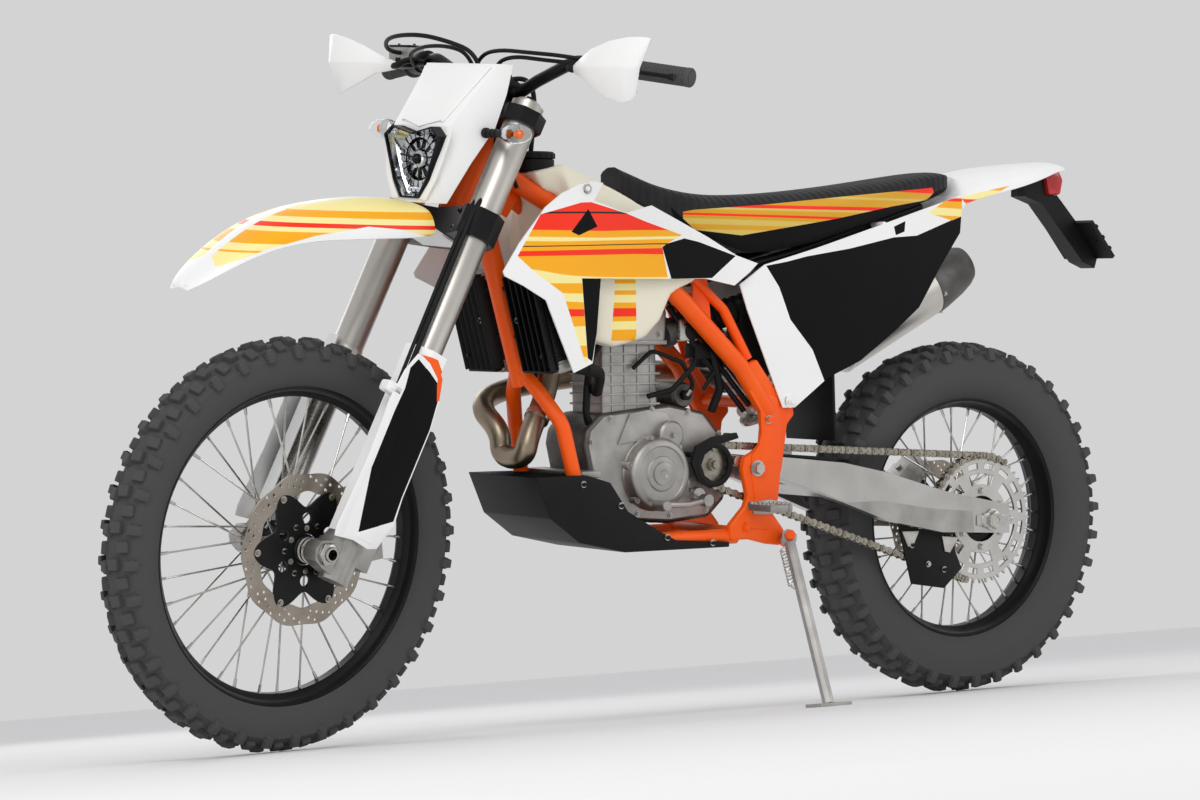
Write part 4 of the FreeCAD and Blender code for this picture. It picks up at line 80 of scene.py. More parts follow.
# The chain: its pitch, the pitch radii of its sprockets and the centre distance at which it closes
PITCH = 15.875
LINKS, FRONT_TEETH, REAR_TEETH = 114, 14, 48
FRONT_PITCH = PITCH / (2 * sin(pi / FRONT_TEETH))
REAR_PITCH = PITCH / (2 * sin(pi / REAR_TEETH))
CHAIN_CENTRES = 652.572967
CHAIN_LINE = 80
DROOP = radians(10.85)
REAR_AXLE = COUNTERSHAFT - Vector((cos(DROOP), 0, sin(DROOP))) * CHAIN_CENTRES
STEERED_BODIES = ("steering", "front_wheel")

# Places that several pieces share
LEG_AHEAD, LEG_Y = -42, 105
STEM_AHEAD = -64
DISC_LINE = 62
SWINGARM_PIVOT = Vector((-180, 0, 457))
STAND_PIVOT = Vector((-241, 124, 329))
STAND_HINGE = Vector((0.252027, 0.812873, 0.52509))
SHOCK_TOP, SHOCK_FOOT = Vector((-140, -30, 762)), Vector((-335, -30, 478))
MUFFLER_FRONT, MUFFLER_END = Vector((-500, -136, 642)), Vector((-884, -136, 835))
LAMP_HEIGHT = 1003
SIGNAL_AHEAD, SIGNAL_HEIGHT = 415, 1053
BAR_CENTRE_AHEAD, BAR_CENTRE_UP = -52, 882


def placement(left, up, anchor, here):
    """Takes upright millimetres to the parked machine's metres, from two directions and one place."""
    left, up = Vector(left), Vector(up)
    turn = Matrix((left.cross(up), left, up)).transposed() @ Matrix((FORK_AHEAD, LEFT, FORK_UP))
    shrunk = Matrix.Translation(-here / 1000) @ Matrix.Scale(0.001, 4)
    return Matrix.Translation(anchor) @ turn.to_4x4() @ shrunk


STEM = JOINTS["steering_turn"]
REAR_SPIN = JOINTS["rear_wheel_spin"]
PARKED = placement(REAR_SPIN["axis"], STEM["axis"], REAR_SPIN["pos_m"], REAR_AXLE)
STEERED = placement(JOINTS["front_wheel_spin"]["axis"], STEM["axis"], STEM["pos_m"], HEAD)


def fork(ahead, y, up):
    """A place on the fork: ahead of the front axle across the legs, and up along them."""
    return FRONT_AXLE + FORK_AHEAD * ahead + FORK_UP * up + LEFT * y


def side_pairs(rows):
    """The (x, z) pairs of places on the fork, from (ahead, up) rows."""
    return [(place.x, place.z) for place in (fork(ahead, 0, up) for ahead, up in rows)]


def at(x, y, z):
    """A place on the chassis."""
    return Vector((x, y, z))


# Meshes

def basis(origin, x, y, z):
    """The matrix that takes a pattern's own axes to three directions at a place."""
    made = Matrix((x, y, z)).transposed().to_4x4()
    made.translation = origin
    return made


def facing(origin, along):
    """The matrix that stands a pattern's Z along a direction."""
    return Matrix.Translation(origin) @ along.to_track_quat("Z", "Y").to_matrix().to_4x4()


def edge_loop(bm, points):
    """A closed loop of new edges, with its corners."""
    corners = [bm.verts.new(point) for point in points]
    return [bm.edges.new(pair) for pair in zip(corners, corners[1:] + corners[:1])], corners


def painted_from(bm, first, index):
    """Gives every face made since a count one material."""
    bm.faces.ensure_lookup_table()
    for face in bm.faces[first:]:
        face.material_index = index


def recounted(bm):
    """Renumbers a mesh after faces were cut away, so that new faces are again the last ones."""
    held = bpy.data.meshes.new("held")
    bm.to_mesh(held)
    bm.clear()
    bm.from_mesh(held)
    bpy.data.meshes.remove(held)


def loft(bm, rings, index=0, caps=True):
    """Bridges closed rings, one after another."""
    first = len(bm.faces)
    loops = [edge_loop(bm, ring) for ring in rings]
    for (one, _), (two, _) in zip(loops, loops[1:]):
        bmesh.ops.bridge_loops(bm, edges=one + two)
    if caps:
        bm.faces.new(loops[0][1])
        bm.faces.new(loops[-1][1])
    painted_from(bm, first, index)


def bar(bm, start, end, radius, end_radius=None, sides=20, index=0):
    """A round bar or cone between two places."""
    start, end = Vector(start), Vector(end)
    run = end - start
    first = len(bm.faces)
    end_radius = radius if end_radius is None else end_radius
    bmesh.ops.create_cone(bm, cap_ends=True, segments=sides, radius1=radius, radius2=end_radius,
                          depth=run.length, matrix=facing((start + end) / 2, run))
    painted_from(bm, first, index)


def lathe(bm, profile, centre, axis, steps=64, index=0, closed=True):
    """A turned shape from (along, radius) pairs round an axis."""
    centre, axis = Vector(centre), axis.normalized()
    out = axis.cross(UP if abs(axis.z) < 0.9 else LEFT).normalized()
    made = bmesh.new()
    corners = [made.verts.new(centre + axis * along + out * radius) for along, radius in profile]
    pairs = list(zip(corners, corners[1:] + corners[:1] if closed else corners[1:]))
    edges = [made.edges.new(pair) for pair in pairs]
    bmesh.ops.spin(made, geom=corners + edges, cent=centre, axis=axis, angle=2 * pi, steps=steps,
                   use_merge=True)
    joined(bm, made, index)


def turned(bm, profile, centre, axis, steps=48, index=0):
    """A solid turned shape, closed on its axis at both ends."""
    lathe(bm, [(profile[0][0], 0)] + list(profile) + [(profile[-1][0], 0)], centre, axis, steps, index,
          False)


def sharp_edges(bm, degrees):
    """Edges where two faces meet at more than an angle."""
    shared = [edge for edge in bm.edges if len(edge.link_faces) == 2]
    return [edge for edge in shared if edge.calc_face_angle(0) > radians(degrees)]


def eased(bm, width, segments=2, degrees=30):
    """Rounds the sharp edges."""
    bmesh.ops.bevel(bm, geom=sharp_edges(bm, degrees), offset=width, offset_type="OFFSET",
                    segments=segments, profile=0.5, affect="EDGES", clamp_overlap=True, material=-1)
    recounted(bm)


def corners_of(geometry):
    """The corners among the items that a mesh operation made."""
    return [item for item in geometry if isinstance(item, bmesh.types.BMVert)]


def plate(bm, corners, way, ease=2.0, index=0, segments=2):
    """A flat plate from its corners and a thickness given as a direction, with rounded edges."""
    made = bmesh.new()
    face = made.faces.new([made.verts.new(corner) for corner in corners])
    pushed = bmesh.ops.extrude_face_region(made, geom=[face])["geom"]
    bmesh.ops.translate(made, vec=way, verts=corners_of(pushed))
    bmesh.ops.recalc_face_normals(made, faces=made.faces)
    if ease:
        eased(made, ease, segments)
    joined(bm, made, index)


def slab(bm, outline, one, other, ease=2.0, index=0, segments=2):
    """A plate in the side plane, from (x, z) pairs, between two distances off the middle."""
    low, high = sorted((one, other))
    plate(bm, [(x, low, z) for x, z in outline], LEFT * (high - low), ease, index, segments)


def block(bm, place, size, ease=2.0, index=0, segments=2, axes=(AHEAD, LEFT, UP)):
    """A box with rounded edges, its three sizes along three axes."""
    made = bmesh.new()
    bmesh.ops.create_cube(made, size=1, matrix=basis(place, *axes) @ Matrix.Diagonal((*size, 1)))
    eased(made, ease, segments)
    joined(bm, made, index)


def joined(bm, made, index=None):
    """Adds a finished mesh to another, and frees it."""
    pattern = bpy.data.meshes.new("pattern")
    made.to_mesh(pattern)
    made.free()
    stamped(bm, pattern, [Matrix.Identity(4)], index)


def stamped(bm, pattern, places, index=None):
    """Copies a pattern mesh to each place, and drops the pattern."""
    first = len(bm.faces)
    for place in places:
        count = len(bm.verts)
        bm.from_mesh(pattern)
        bm.verts.ensure_lookup_table()
        bmesh.ops.transform(bm, matrix=place, verts=bm.verts[count:])
    if index is not None:
        painted_from(bm, first, index)
    bpy.data.meshes.remove(pattern)


def filleted(points, bend, steps=5):
    """A path whose corners are rounded to a bend radius."""
    path = [points[0]]
    for before, here, after in zip(points, points[1:], points[2:]):
        back, on = (before - here), (after - here)
        half = back.angle(on) / 2
        cut = min(bend / tan(half), 0.48 * back.length, 0.48 * on.length)
        one, two = here + back.normalized() * cut, here + on.normalized() * cut
        for k in range(steps + 1):
            t = k / steps
            path.append(one * (1 - t) ** 2 + here * 2 * t * (1 - t) + two * t ** 2)
    return path + [points[-1]]


def drawn(curve):
    """The mesh of a curve, and the curve removed."""
    holder = bpy.data.objects.new("drawn", curve)
    bpy.context.scene.collection.objects.link(holder)
    bpy.context.view_layer.update()
    mesh = bpy.data.meshes.new_from_object(holder.evaluated_get(bpy.context.evaluated_depsgraph_get()))
    bpy.data.objects.remove(holder)
    bpy.data.curves.remove(curve)
    return mesh


def tubing(bm, points, radius, bend=40.0, index=0, round_steps=5, kind="POLY"):
    """A round tube along a path with rounded corners, closed at its ends."""
    curve = bpy.data.curves.new("tube", "CURVE")
    curve.dimensions = "3D"
    curve.bevel_depth = radius
    curve.bevel_resolution = round_steps
    curve.use_fill_caps = True
    points = [Vector(point) for point in points]
    path = filleted(points, bend) if kind == "POLY" and bend else points
    spline = curve.splines.new(kind)
    spline.points.add(len(path) - 1)
    for point, place in zip(spline.points, path):
        point.co = (*place, 1)
    if kind == "NURBS":
        spline.order_u = 3
        spline.use_endpoint_u = True
        spline.resolution_u = 8
    stamped(bm, drawn(curve), [Matrix.Identity(4)], index)


def cut_plate(bm, outlines, thickness, centre, ease=0.4, index=0):
    """A flat plate in the side plane, from (x, z) outlines of which all but the first are holes."""
    curve = bpy.data.curves.new("plate", "CURVE")
    curve.dimensions = "2D"
    curve.fill_mode = "BOTH"
    curve.extrude = thickness / 2 - ease
    curve.bevel_depth = ease
    curve.bevel_resolution = 0
    curve.offset = -ease
    for outline in outlines:
        spline = curve.splines.new("POLY")
        spline.points.add(len(outline) - 1)
        for point, (x, z) in zip(spline.points, outline):
            point.co = (x, z, 0, 1)
        spline.use_cyclic_u = True
    stamped(bm, drawn(curve), [basis(centre, AHEAD, UP, -LEFT)], index)


def around(count, shift=0.0):
    """Turns spread evenly round a circle, moved on by a share of the step between them."""
    return [2 * pi * (k + shift) / count for k in range(count)]


def polar(turn, reach):
    """An (x, z) pair in the side plane, at a turn from ahead towards up."""
    return cos(turn) * reach, sin(turn) * reach


def ray(turn, reach, y=0.0):
    """The same as a vector, with a distance to the left."""
    return Vector((cos(turn) * reach, y, sin(turn) * reach))


def circle(radius, count=24, middle=(0.0, 0.0), start=0.0):
    """Corners round a circle in the side plane."""
    pairs = [polar(start + turn, radius) for turn in around(count)]
    return [(middle[0] + x, middle[1] + z) for x, z in pairs]


def bolts(bm, places, index=0):
    """Flanged hexagon heads, from (place, direction, radius) rows."""
    for place, way, radius in places:
        place, way = Vector(place), way.normalized()
        bar(bm, place, place + way * radius * 0.25, radius, sides=16, index=index)
        bar(bm, place + way * radius * 0.25, place + way * radius * 0.85, radius * 0.74, radius * 0.68, 6,
            index)


def mirrored(bm):
    """Adds the mirror image of what was made."""
    made = bmesh.ops.duplicate(bm, geom=bm.faces[:])["geom"]
    bmesh.ops.scale(bm, vec=(1, -1, 1), verts=corners_of(made))
    bmesh.ops.reverse_faces(bm, faces=[item for item in made if isinstance(item, bmesh.types.BMFace)])


def softened(node, width, segments=2, degrees=25):
    """A copy of a CAD node in upright millimetres, with its flats merged and its edges rounded."""
    place = STEERED if frame["nodes"][node]["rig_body"] in STEERED_BODIES else PARKED
    bm = bmesh.new()
    bm.from_mesh(frame["nodes"][node].data)
    bm.transform(place.inverted())
    for face in bm.faces:
        face.material_index = 0
    bmesh.ops.remove_doubles(bm, verts=bm.verts, dist=0.02)
    bmesh.ops.dissolve_limit(bm, angle_limit=radians(1.5), verts=bm.verts, edges=bm.edges)
    if width:
        eased(bm, width, segments, degrees)
    recounted(bm)
    return bm


def smoothed(bm, levels=2, creased=35):
    """A subdivision surface of a cage, with its sharp borders creased."""
    crease = bm.edges.layers.float.get("crease_edge") or bm.edges.layers.float.new("crease_edge")
    for edge in sharp_edges(bm, creased):
        edge[crease] = 0.75
    return modified(bm, "SUBSURF", levels=levels, render_levels=levels)


def modified(bm, kind, **settings):
    """The mesh after one modifier."""
    mesh = bpy.data.meshes.new("cage")
    bm.to_mesh(mesh)
    bm.free()
    holder = bpy.data.objects.new("cage", mesh)
    bpy.context.scene.collection.objects.link(holder)
    modifier = holder.modifiers.new("shape", kind)
    for key, value in settings.items():
        setattr(modifier, key, value)
    bpy.context.view_layer.update()
    shaped = bpy.data.meshes.new_from_object(holder.evaluated_get(bpy.context.evaluated_depsgraph_get()))
    bpy.data.objects.remove(holder)
    bpy.data.meshes.remove(mesh)
    bm = bmesh.new()
    bm.from_mesh(shaped)
    bpy.data.meshes.remove(shaped)
    return bm


def inside(x, z, outline):
    """Whether a place lies in an outline of the side plane."""
    hit = False
    for (x1, z1), (x2, z2) in zip(outline, outline[1:] + outline[:1]):
        if (z1 > z) != (z2 > z) and x < (x2 - x1) * (z - z1) / (z2 - z1) + x1:
            hit = not hit
    return hit


def scored(bm, outline):
    """Cuts the mesh along every side of an outline in the side plane."""
    for (x1, z1), (x2, z2) in zip(outline, outline[1:] + outline[:1]):
        normal = Vector((z1 - z2, 0, x2 - x1))
        if normal.length > 0.1:
            bmesh.ops.bisect_plane(bm, geom=bm.verts[:] + bm.edges[:] + bm.faces[:], dist=0.02,
                                   plane_co=(x1, 0, z1), plane_no=normal)


def field(bm, outline, index, off=0.0, tilt=0.15):
    """Gives the faces inside an outline in the side plane one material, off the middle by some distance."""
    scored(bm, outline)
    bmesh.ops.recalc_face_normals(bm, faces=bm.faces)
    bm.normal_update()
    for face in bm.faces:
        middle = face.calc_center_median()
        outward = face.normal.y if middle.y > 0 else -face.normal.y
        if abs(middle.y) >= off and outward > tilt and inside(middle.x, middle.z, outline):
            face.material_index = index
    recounted(bm)


def bowed_panel(outline, plan, lean, z_range, thickness, columns=28):
    """A thin panel cut to an outline, bent to a plan of (x, y) pairs that leans in towards its top."""
    bm = bmesh.new()
    low_x, high_x = min(x for x, _ in plan), max(x for x, _ in plan)
    rows = []
    for z, inward in ((z_range[0], 0), ((z_range[0] + z_range[1]) / 2, 0.3 * lean), (z_range[1], lean)):
        row = []
        for i in range(columns + 1):
            x = low_x + (high_x - low_x) * i / columns
            row.append(bm.verts.new((x, along_plan(plan, x) - inward, z)))
        rows.append([bm.edges.new(pair) for pair in zip(row, row[1:])])
    for one, two in zip(rows, rows[1:]):
        bmesh.ops.bridge_loops(bm, edges=one + two)
    scored(bm, outline)
    middles = [(face, face.calc_center_median()) for face in bm.faces]
    stray = [face for face, middle in middles if not inside(middle.x, middle.z, outline)]
    bmesh.ops.delete(bm, geom=stray, context="FACES")
    bmesh.ops.dissolve_limit(bm, angle_limit=radians(0.4), verts=bm.verts, edges=bm.edges)
    bm.normal_update()
    for face in bm.faces:
        if face.normal.y < 0:
            face.normal_flip()
    bmesh.ops.solidify(bm, geom=bm.faces, thickness=thickness)
    return bm


def along_plan(plan, x):
    """The distance off the middle at a place along a plan, on a smooth curve through its points."""
    pairs = sorted(plan)
    for k, ((x1, y1), (x2, y2)) in enumerate(zip(pairs, pairs[1:])):
        if x <= x2 or k == len(pairs) - 2:
            before, after = pairs[max(k - 1, 0)], pairs[min(k + 2, len(pairs) - 1)]
            t = min(max((x - x1) / (x2 - x1), 0), 1)
            slope1 = (y2 - before[1]) / (x2 - before[0]) * (x2 - x1)
            slope2 = (after[1] - y1) / (after[0] - x1) * (x2 - x1)
            return ((2 * t ** 3 - 3 * t ** 2 + 1) * y1 + (t ** 3 - 2 * t ** 2 + t) * slope1
                    + (3 * t ** 2 - 2 * t ** 3) * y2 + (t ** 3 - t ** 2) * slope2)
    return pairs[-1][1]


def dressed(bm, name, body, finishes, replaces=(), smooth=32):
    """Finishes a piece: places it, rounds its shading and hides the CAD nodes that it takes the place of.
    """
    bmesh.ops.remove_doubles(bm, verts=bm.verts, dist=0.005)
    bmesh.ops.recalc_face_normals(bm, faces=bm.faces)
    bm.transform(STEERED if body in STEERED_BODIES else PARKED)
    mesh = bpy.data.meshes.new(name)
    bm.to_mesh(mesh)
    bm.free()
    for finish in finishes:
        mesh.materials.append(bpy.data.materials[finish])
    mesh.shade_smooth()
    mesh.set_sharp_from_angle(angle=radians(smooth))
    piece = bpy.data.objects.new(name, mesh)
    bpy.context.scene.collection.objects.link(piece)
    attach(piece, body)
    if replaces:
        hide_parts(*replaces)
    return piece


# Finishes

def linear(colour):
    """An sRGB hex colour as linear light."""
    parts = [int(colour[i:i + 2], 16) / 255 for i in (1, 3, 5)]
    return [part / 12.92 if part <= 0.04045 else ((part + 0.055) / 1.055) ** 2.4 for part in parts] + [1.0]


def add(tree, kind, sockets=None, links=None, **settings):
    """Adds a node with its settings, socket values and links."""
    made = tree.nodes.new(kind)
    for key, value in settings.items():
        setattr(made, key, value)
    for key, value in (sockets or {}).items():
        made.inputs[key].default_value = value
    for key, (source, output) in (links or {}).items():
        tree.links.new(source.outputs[output], made.inputs[key])
    return made


def shaded(name, low, high, patch_mm, grain_mm, relief_mm, roughness, spread=0.06, stretch=(1, 1, 1),
           turn=(0, 0, 0), strength=0.4, **shader):
    """A finish that drifts between two colours in patches, with a fine relief and an uneven gloss.

    Sizes are real ones in millimetres; stretch draws the relief out along an axis, as brushing does."""
    material = bpy.data.materials.new(name)
    material.use_nodes = True
    tree = material.node_tree
    tree.nodes.clear()
    place = add(tree, "ShaderNodeTexCoord")
    lay = add(tree, "ShaderNodeMapping", {"Scale": stretch, "Rotation": turn},
              {"Vector": (place, "Object")})
    patch = add(tree, "ShaderNodeTexNoise", {"Scale": 1000 / patch_mm, "Detail": 3.0},
                {"Vector": (place, "Object")})
    grain = add(tree, "ShaderNodeTexNoise", {"Scale": 1000 / grain_mm, "Detail": 2.0},
                {"Vector": (lay, "Vector")})
    tint = add(tree, "ShaderNodeValToRGB", links={"Fac": (patch, "Fac")})
    tint.color_ramp.elements[0].position = 0.3
    tint.color_ramp.elements[1].position = 0.7
    tint.color_ramp.elements[0].color = linear(low)
    tint.color_ramp.elements[1].color = linear(high)
    gloss = add(tree, "ShaderNodeMapRange", {"To Min": roughness - spread, "To Max": roughness + spread},
                {"Value": (grain, "Fac")})
    relief = add(tree, "ShaderNodeBump", {"Strength": strength, "Distance": relief_mm / 1000},
                 {"Height": (grain, "Fac")})
    body = add(tree, "ShaderNodeBsdfPrincipled", shader, {"Base Color": (tint, "Color"),
            "Roughness": (gloss, "Result"), "Normal": (relief, "Normal")})
    add(tree, "ShaderNodeOutputMaterial", links={"Surface": (body, "BSDF")})
    return tree, body, place


def printed_film(name, bands, low_z, high_z, place=PARKED, streak_mm=240.0, waver_mm=9.0):
    """A printed graphic: level bands of colour from (height share, hex) rows, drawn out into streaks.

    It is vinyl film under a clear laminate, so it is glossier than the plastic round it."""
    material = bpy.data.materials.new(name)
    material.use_nodes = True
    tree = material.node_tree
    tree.nodes.clear()
    coordinates = add(tree, "ShaderNodeTexCoord")
    upright = place.inverted()
    rows = [Vector(upright[i][:3]) for i in range(3)]
    height = add(tree, "ShaderNodeVectorMath", {1: rows[2]}, {0: (coordinates, "Object")},
                 operation="DOT_PRODUCT")
    along = add(tree, "ShaderNodeVectorMath", {1: rows[0]}, {0: (coordinates, "Object")},
                operation="DOT_PRODUCT")
    plane = add(tree, "ShaderNodeCombineXYZ", links={"X": (along, "Value"), "Y": (height, "Value")})
    drawn_out = add(tree, "ShaderNodeMapping", {"Scale": (1 / streak_mm, 1 / 42.0, 1)},
                    {"Vector": (plane, "Vector")})
    streak = add(tree, "ShaderNodeTexNoise", {"Scale": 1.0, "Detail": 0.0},
                 {"Vector": (drawn_out, "Vector")})
    waver = add(tree, "ShaderNodeMapRange", {"From Min": 0.3, "From Max": 0.7, "To Min": -waver_mm,
            "To Max": waver_mm}, {"Value": (streak, "Fac")})
    level = add(tree, "ShaderNodeMath", links={0: (height, "Value"), 1: (waver, "Result")}, operation="ADD")
    share = add(tree, "ShaderNodeMapRange", {"From Min": low_z - upright[2][3],
            "From Max": high_z - upright[2][3]}, {"Value": (level, "Value")})
    ramp = add(tree, "ShaderNodeValToRGB", links={"Fac": (share, "Result")})
    ramp.color_ramp.interpolation = "CONSTANT"
    while len(ramp.color_ramp.elements) > 1:
        ramp.color_ramp.elements.remove(ramp.color_ramp.elements[-1])
    ramp.color_ramp.elements[0].position = bands[0][0]
    ramp.color_ramp.elements[0].color = linear(bands[0][1])
    for start, colour in bands[1:]:
        ramp.color_ramp.elements.new(start).color = linear(colour)
    peel = add(tree, "ShaderNodeTexNoise", {"Scale": 160.0, "Detail": 1.0},
               {"Vector": (coordinates, "Object")})
    relief = add(tree, "ShaderNodeBump", {"Strength": 0.15, "Distance": 0.0004}, {"Height": (peel, "Fac")})
    body = add(tree, "ShaderNodeBsdfPrincipled", {"Roughness": 0.36, "Specular IOR Level": 0.4},
               {"Base Color": (ramp, "Color"), "Normal": (relief, "Normal")})
    add(tree, "ShaderNodeOutputMaterial", links={"Surface": (body, "BSDF")})


# Finishes that many pieces share
WHITE, BLACK, AREA = "white_polypropylene", "black_polypropylene", "black_number_area"
STEEL, ANODISED, CAST = "bright_steel", "black_anodised", "cast_aluminium"

# Inks of the printed films
YELLOW = "#FFB000"
PALE = "#FFF0A0"
RED = "#FF2A00"
INK = "#151008"
SAND = "#D9C060"
OCHRE = "#DDA21C"


class EnduroPaints(bpy.types.PropertyGroup):
    """Colours that an owner would change."""
    plastic: bpy.props.StringProperty(name="Plastic",
            description="Hex colour of the fenders, shrouds and mask", default="#F3F3F1")
    chassis: bpy.props.StringProperty(name="Chassis", description="Hex colour of the powder-coated frame",
            default="#FF5600")
    tank: bpy.props.StringProperty(name="Tank", description="Hex colour of the moulded fuel tank",
            default="#EFE8D2")
    seat: bpy.props.StringProperty(name="Seat", description="Hex colour of the seat's cover",
            default="#232326")


class EnduroSizes(bpy.types.PropertyGroup):
    """Sizes that an owner would change."""
    spoke: bpy.props.FloatProperty(name="Spoke", description="Thickness of a spoke, in millimetres",
            default=3.8, min=2, max=5)
    knob: bpy.props.FloatProperty(name="Knob", description="Height of a tread block, in millimetres",
            default=12.0, min=4, max=16)
    wire: bpy.props.FloatProperty(name="Spring wire",
            description="Thickness of the shock's spring wire, in millimetres", default=11.0, min=6, max=14)
    louvres: bpy.props.IntProperty(name="Louvres", description="Blades in front of each radiator",
            default=6, min=4, max=14)


def mix_finishes(scene):
    paints = scene.enduro_paints
    # Injection-moulded polypropylene: an even gloss with a soft, slightly wavy skin
    shaded("white_polypropylene", paints.plastic, "#F8F8F7", 160, 9, 0.12, 0.36, 0.05)
    # Grained polypropylene: black, with a matt leather-like grain, drawn coarser than real so that it shows
    dull = {"Specular IOR Level": 0.22}
    shaded("black_polypropylene", "#0B0B0C", "#121213", 60, 2.5, 0.2, 0.5, 0.08, **dull)
    # The large black number areas: the same plastic, smoother
    shaded("black_number_area", "#060607", "#09090A", 120, 5, 0.06, 0.5, 0.04,
           **{"Specular IOR Level": 0.12})
    # Powder coat: thick paint whose skin has a fine orange peel
    shaded("orange_powder_coat", paints.chassis, "#FF6200", 90, 4, 0.12, 0.38, 0.05,
           **{"Specular IOR Level": 0.35})
    shaded("black_powder_coat", "#0C0C0D", "#141416", 80, 4, 0.12, 0.42, 0.06, **dull)
    # Rotation-moulded polyethylene: milky and a little see-through, with a waxy skin
    shaded("translucent_polyethylene", paints.tank, "#F6F0DC", 110, 14, 0.25, 0.4, 0.05,
           **{"Subsurface Weight": 0.2, "Subsurface Radius": (0.012, 0.009, 0.005)})
    # Moulded tyre rubber: matt, with paler dusty patches
    shaded("tyre_rubber", "#0A0A0B", "#141415", 28, 3, 0.3, 0.8, 0.1, **{"Specular IOR Level": 0.04})
    shaded("grip_rubber", "#0F0F10", "#161617", 20, 2, 0.3, 0.62, 0.08, **dull)
    metal = {"Metallic": 1.0}
    # Die-cast aluminium, blasted: pale grey with a sandy skin, darker in patches
    shaded("cast_aluminium", "#A3A19D", "#BDBBB7", 45, 2.2, 0.3, 0.5, 0.09, **metal)
    shaded("dark_cast_aluminium", "#5C5B59", "#787673", 40, 2.2, 0.3, 0.52, 0.09, **metal)
    # Machined and anodised aluminium: clear, with fine turning marks along the tube
    shaded("machined_aluminium", "#C3C1BC", "#D3D1CC", 60, 3, 0.08, 0.3, 0.07, (1, 1, 8), **metal)
    shaded("fork_tube_aluminium", "#BDB9B2", "#CFCBC4", 140, 60, 0.03, 0.4, 0.03, (20, 20, 1),
           (0.0, 0.45, 0.0), 0.08, **metal)
    shaded("swingarm_aluminium", "#B7B5B1", "#CCCAC6", 80, 12, 0.1, 0.36, 0.08, (1, 1, 9), **metal)
    # Black anodised aluminium: dark, with a metal's soft highlight
    shaded("black_anodised", "#0E0E10", "#18181A", 70, 3, 0.06, 0.4, 0.06,
           **{"Metallic": 0.4, "Specular IOR Level": 0.35})
    # Zinc-plated and stainless steel: bright, with small scratches
    shaded("bright_steel", "#B5B2AC", "#CFCCC6", 25, 2, 0.05, 0.28, 0.08, **metal)
    shaded("disc_steel", "#978E82", "#AEA599", 40, 2, 0.05, 0.34, 0.08, **metal)
    shaded("chain_steel", "#8E897F", "#B3AC9E", 16, 2, 0.1, 0.35, 0.1, **metal)
    # Heat-tinted stainless tube: straw to brown where the gas is hottest
    shaded("heat_tinted_steel", "#7A6A57", "#A59885", 130, 5, 0.08, 0.36, 0.08, **metal)
    # Brushed muffler skin: the brush runs round the can
    shaded("brushed_muffler", "#C2BEB7", "#D6D2CB", 120, 20, 0.05, 0.34, 0.05, (1, 1, 14), (0.0, 0.0, 0.0),
           0.2, **metal)
    # Chromed reflector bowl
    shaded("chromed_reflector", "#B9BCC0", "#E6E8EA", 30, 20, 0.1, 0.12, 0.03, **metal)
    # Polycarbonate lenses: clear, red and the amber bulb behind
    shaded("clear_polycarbonate", "#F8F9FA", "#FFFFFF", 100, 40, 0.01, 0.02, 0.01, strength=0.05,
           **{"Transmission Weight": 1.0, "IOR": 1.06})
    shaded("red_polycarbonate", "#B01012", "#D2201C", 30, 6, 0.1, 0.15, 0.03,
           **{"Transmission Weight": 0.15, "Coat Weight": 0.5})
    shaded("amber_bulb", "#F06A10", "#FF8A20", 20, 6, 0.05, 0.2, 0.03, **{"Coat Weight": 0.4})
    printed_film("fender_film", ((0, PALE), (0.40, YELLOW), (0.425, PALE), (0.50, YELLOW), (0.625, PALE),
            (0.669, RED), (0.7125, PALE), (0.769, YELLOW), (0.8375, PALE)), 780, 940, STEERED, 900, 2)
    printed_film("shroud_film", ((0, PALE), (0.06, YELLOW), (0.14, PALE), (0.20, YELLOW), (0.30, RED),
            (0.36, YELLOW), (0.41, PALE), (0.45, YELLOW), (0.52, PALE), (0.56, YELLOW), (0.64, RED),
            (0.69, YELLOW), (0.735, INK), (0.75, YELLOW), (0.79, PALE), (0.82, YELLOW), (0.86, RED),
            (0.92, INK), (0.935, RED)), 655, 930, PARKED, 700, 11)
    printed_film("tank_film", ((0, YELLOW), (0.16, PALE), (0.28, YELLOW), (0.36, RED), (0.5, YELLOW),
                               (0.58, PALE), (0.68, YELLOW), (0.74, PALE), (0.84, YELLOW), (0.9, PALE)),
                 688, 812, PARKED, 500, 3)
    printed_film("seat_film", ((0, SAND), (0.12, OCHRE), (0.2, SAND), (0.3, OCHRE), (0.36, RED),
                               (0.41, OCHRE), (0.5, SAND), (0.54, RED), (0.60, OCHRE), (0.72, SAND),
                               (0.76, OCHRE), (0.9, RED)), 880, 978, PARKED, 1100, 5)
    printed_film("tail_film", ((0, YELLOW), (0.2, PALE), (0.36, YELLOW), (0.52, RED), (0.6, PALE),
                               (0.8, YELLOW)), 905, 990, PARKED, 420, 3)
    seat_vinyl(paints)


def seat_vinyl(paints):
    """Vinyl over foam: matt charcoal with moulded ribs across the seat, 16 mm apart."""
    tree, body, place = shaded("ribbed_seat_vinyl", "#161618", paints.seat, 45, 2.4, 0.25, 0.62, 0.07,
                               **{"Specular IOR Level": 0.3})
    upright = PARKED.inverted()
    along = add(tree, "ShaderNodeVectorMath", {1: Vector(upright[0][:3])}, {0: (place, "Object")},
                operation="DOT_PRODUCT")
    rib = add(tree, "ShaderNodeMath", {1: 2 * pi / 16}, {0: (along, "Value")}, operation="MULTIPLY")
    wave = add(tree, "ShaderNodeMath", links={0: (rib, "Value")}, operation="SINE")
    grain = body.inputs["Normal"].links[0].from_node
    ribs = add(tree, "ShaderNodeBump", {"Strength": 0.9, "Distance": 0.0012},
               {"Height": (wave, "Value"), "Normal": (grain, "Normal")})
    tree.links.new(ribs.outputs["Normal"], body.inputs["Normal"])


# Wheels

# Each rim's bead radius and width
RIMS = {"front": (268, 54), "rear": (230, 70)}
KNOB_ROWS = 72


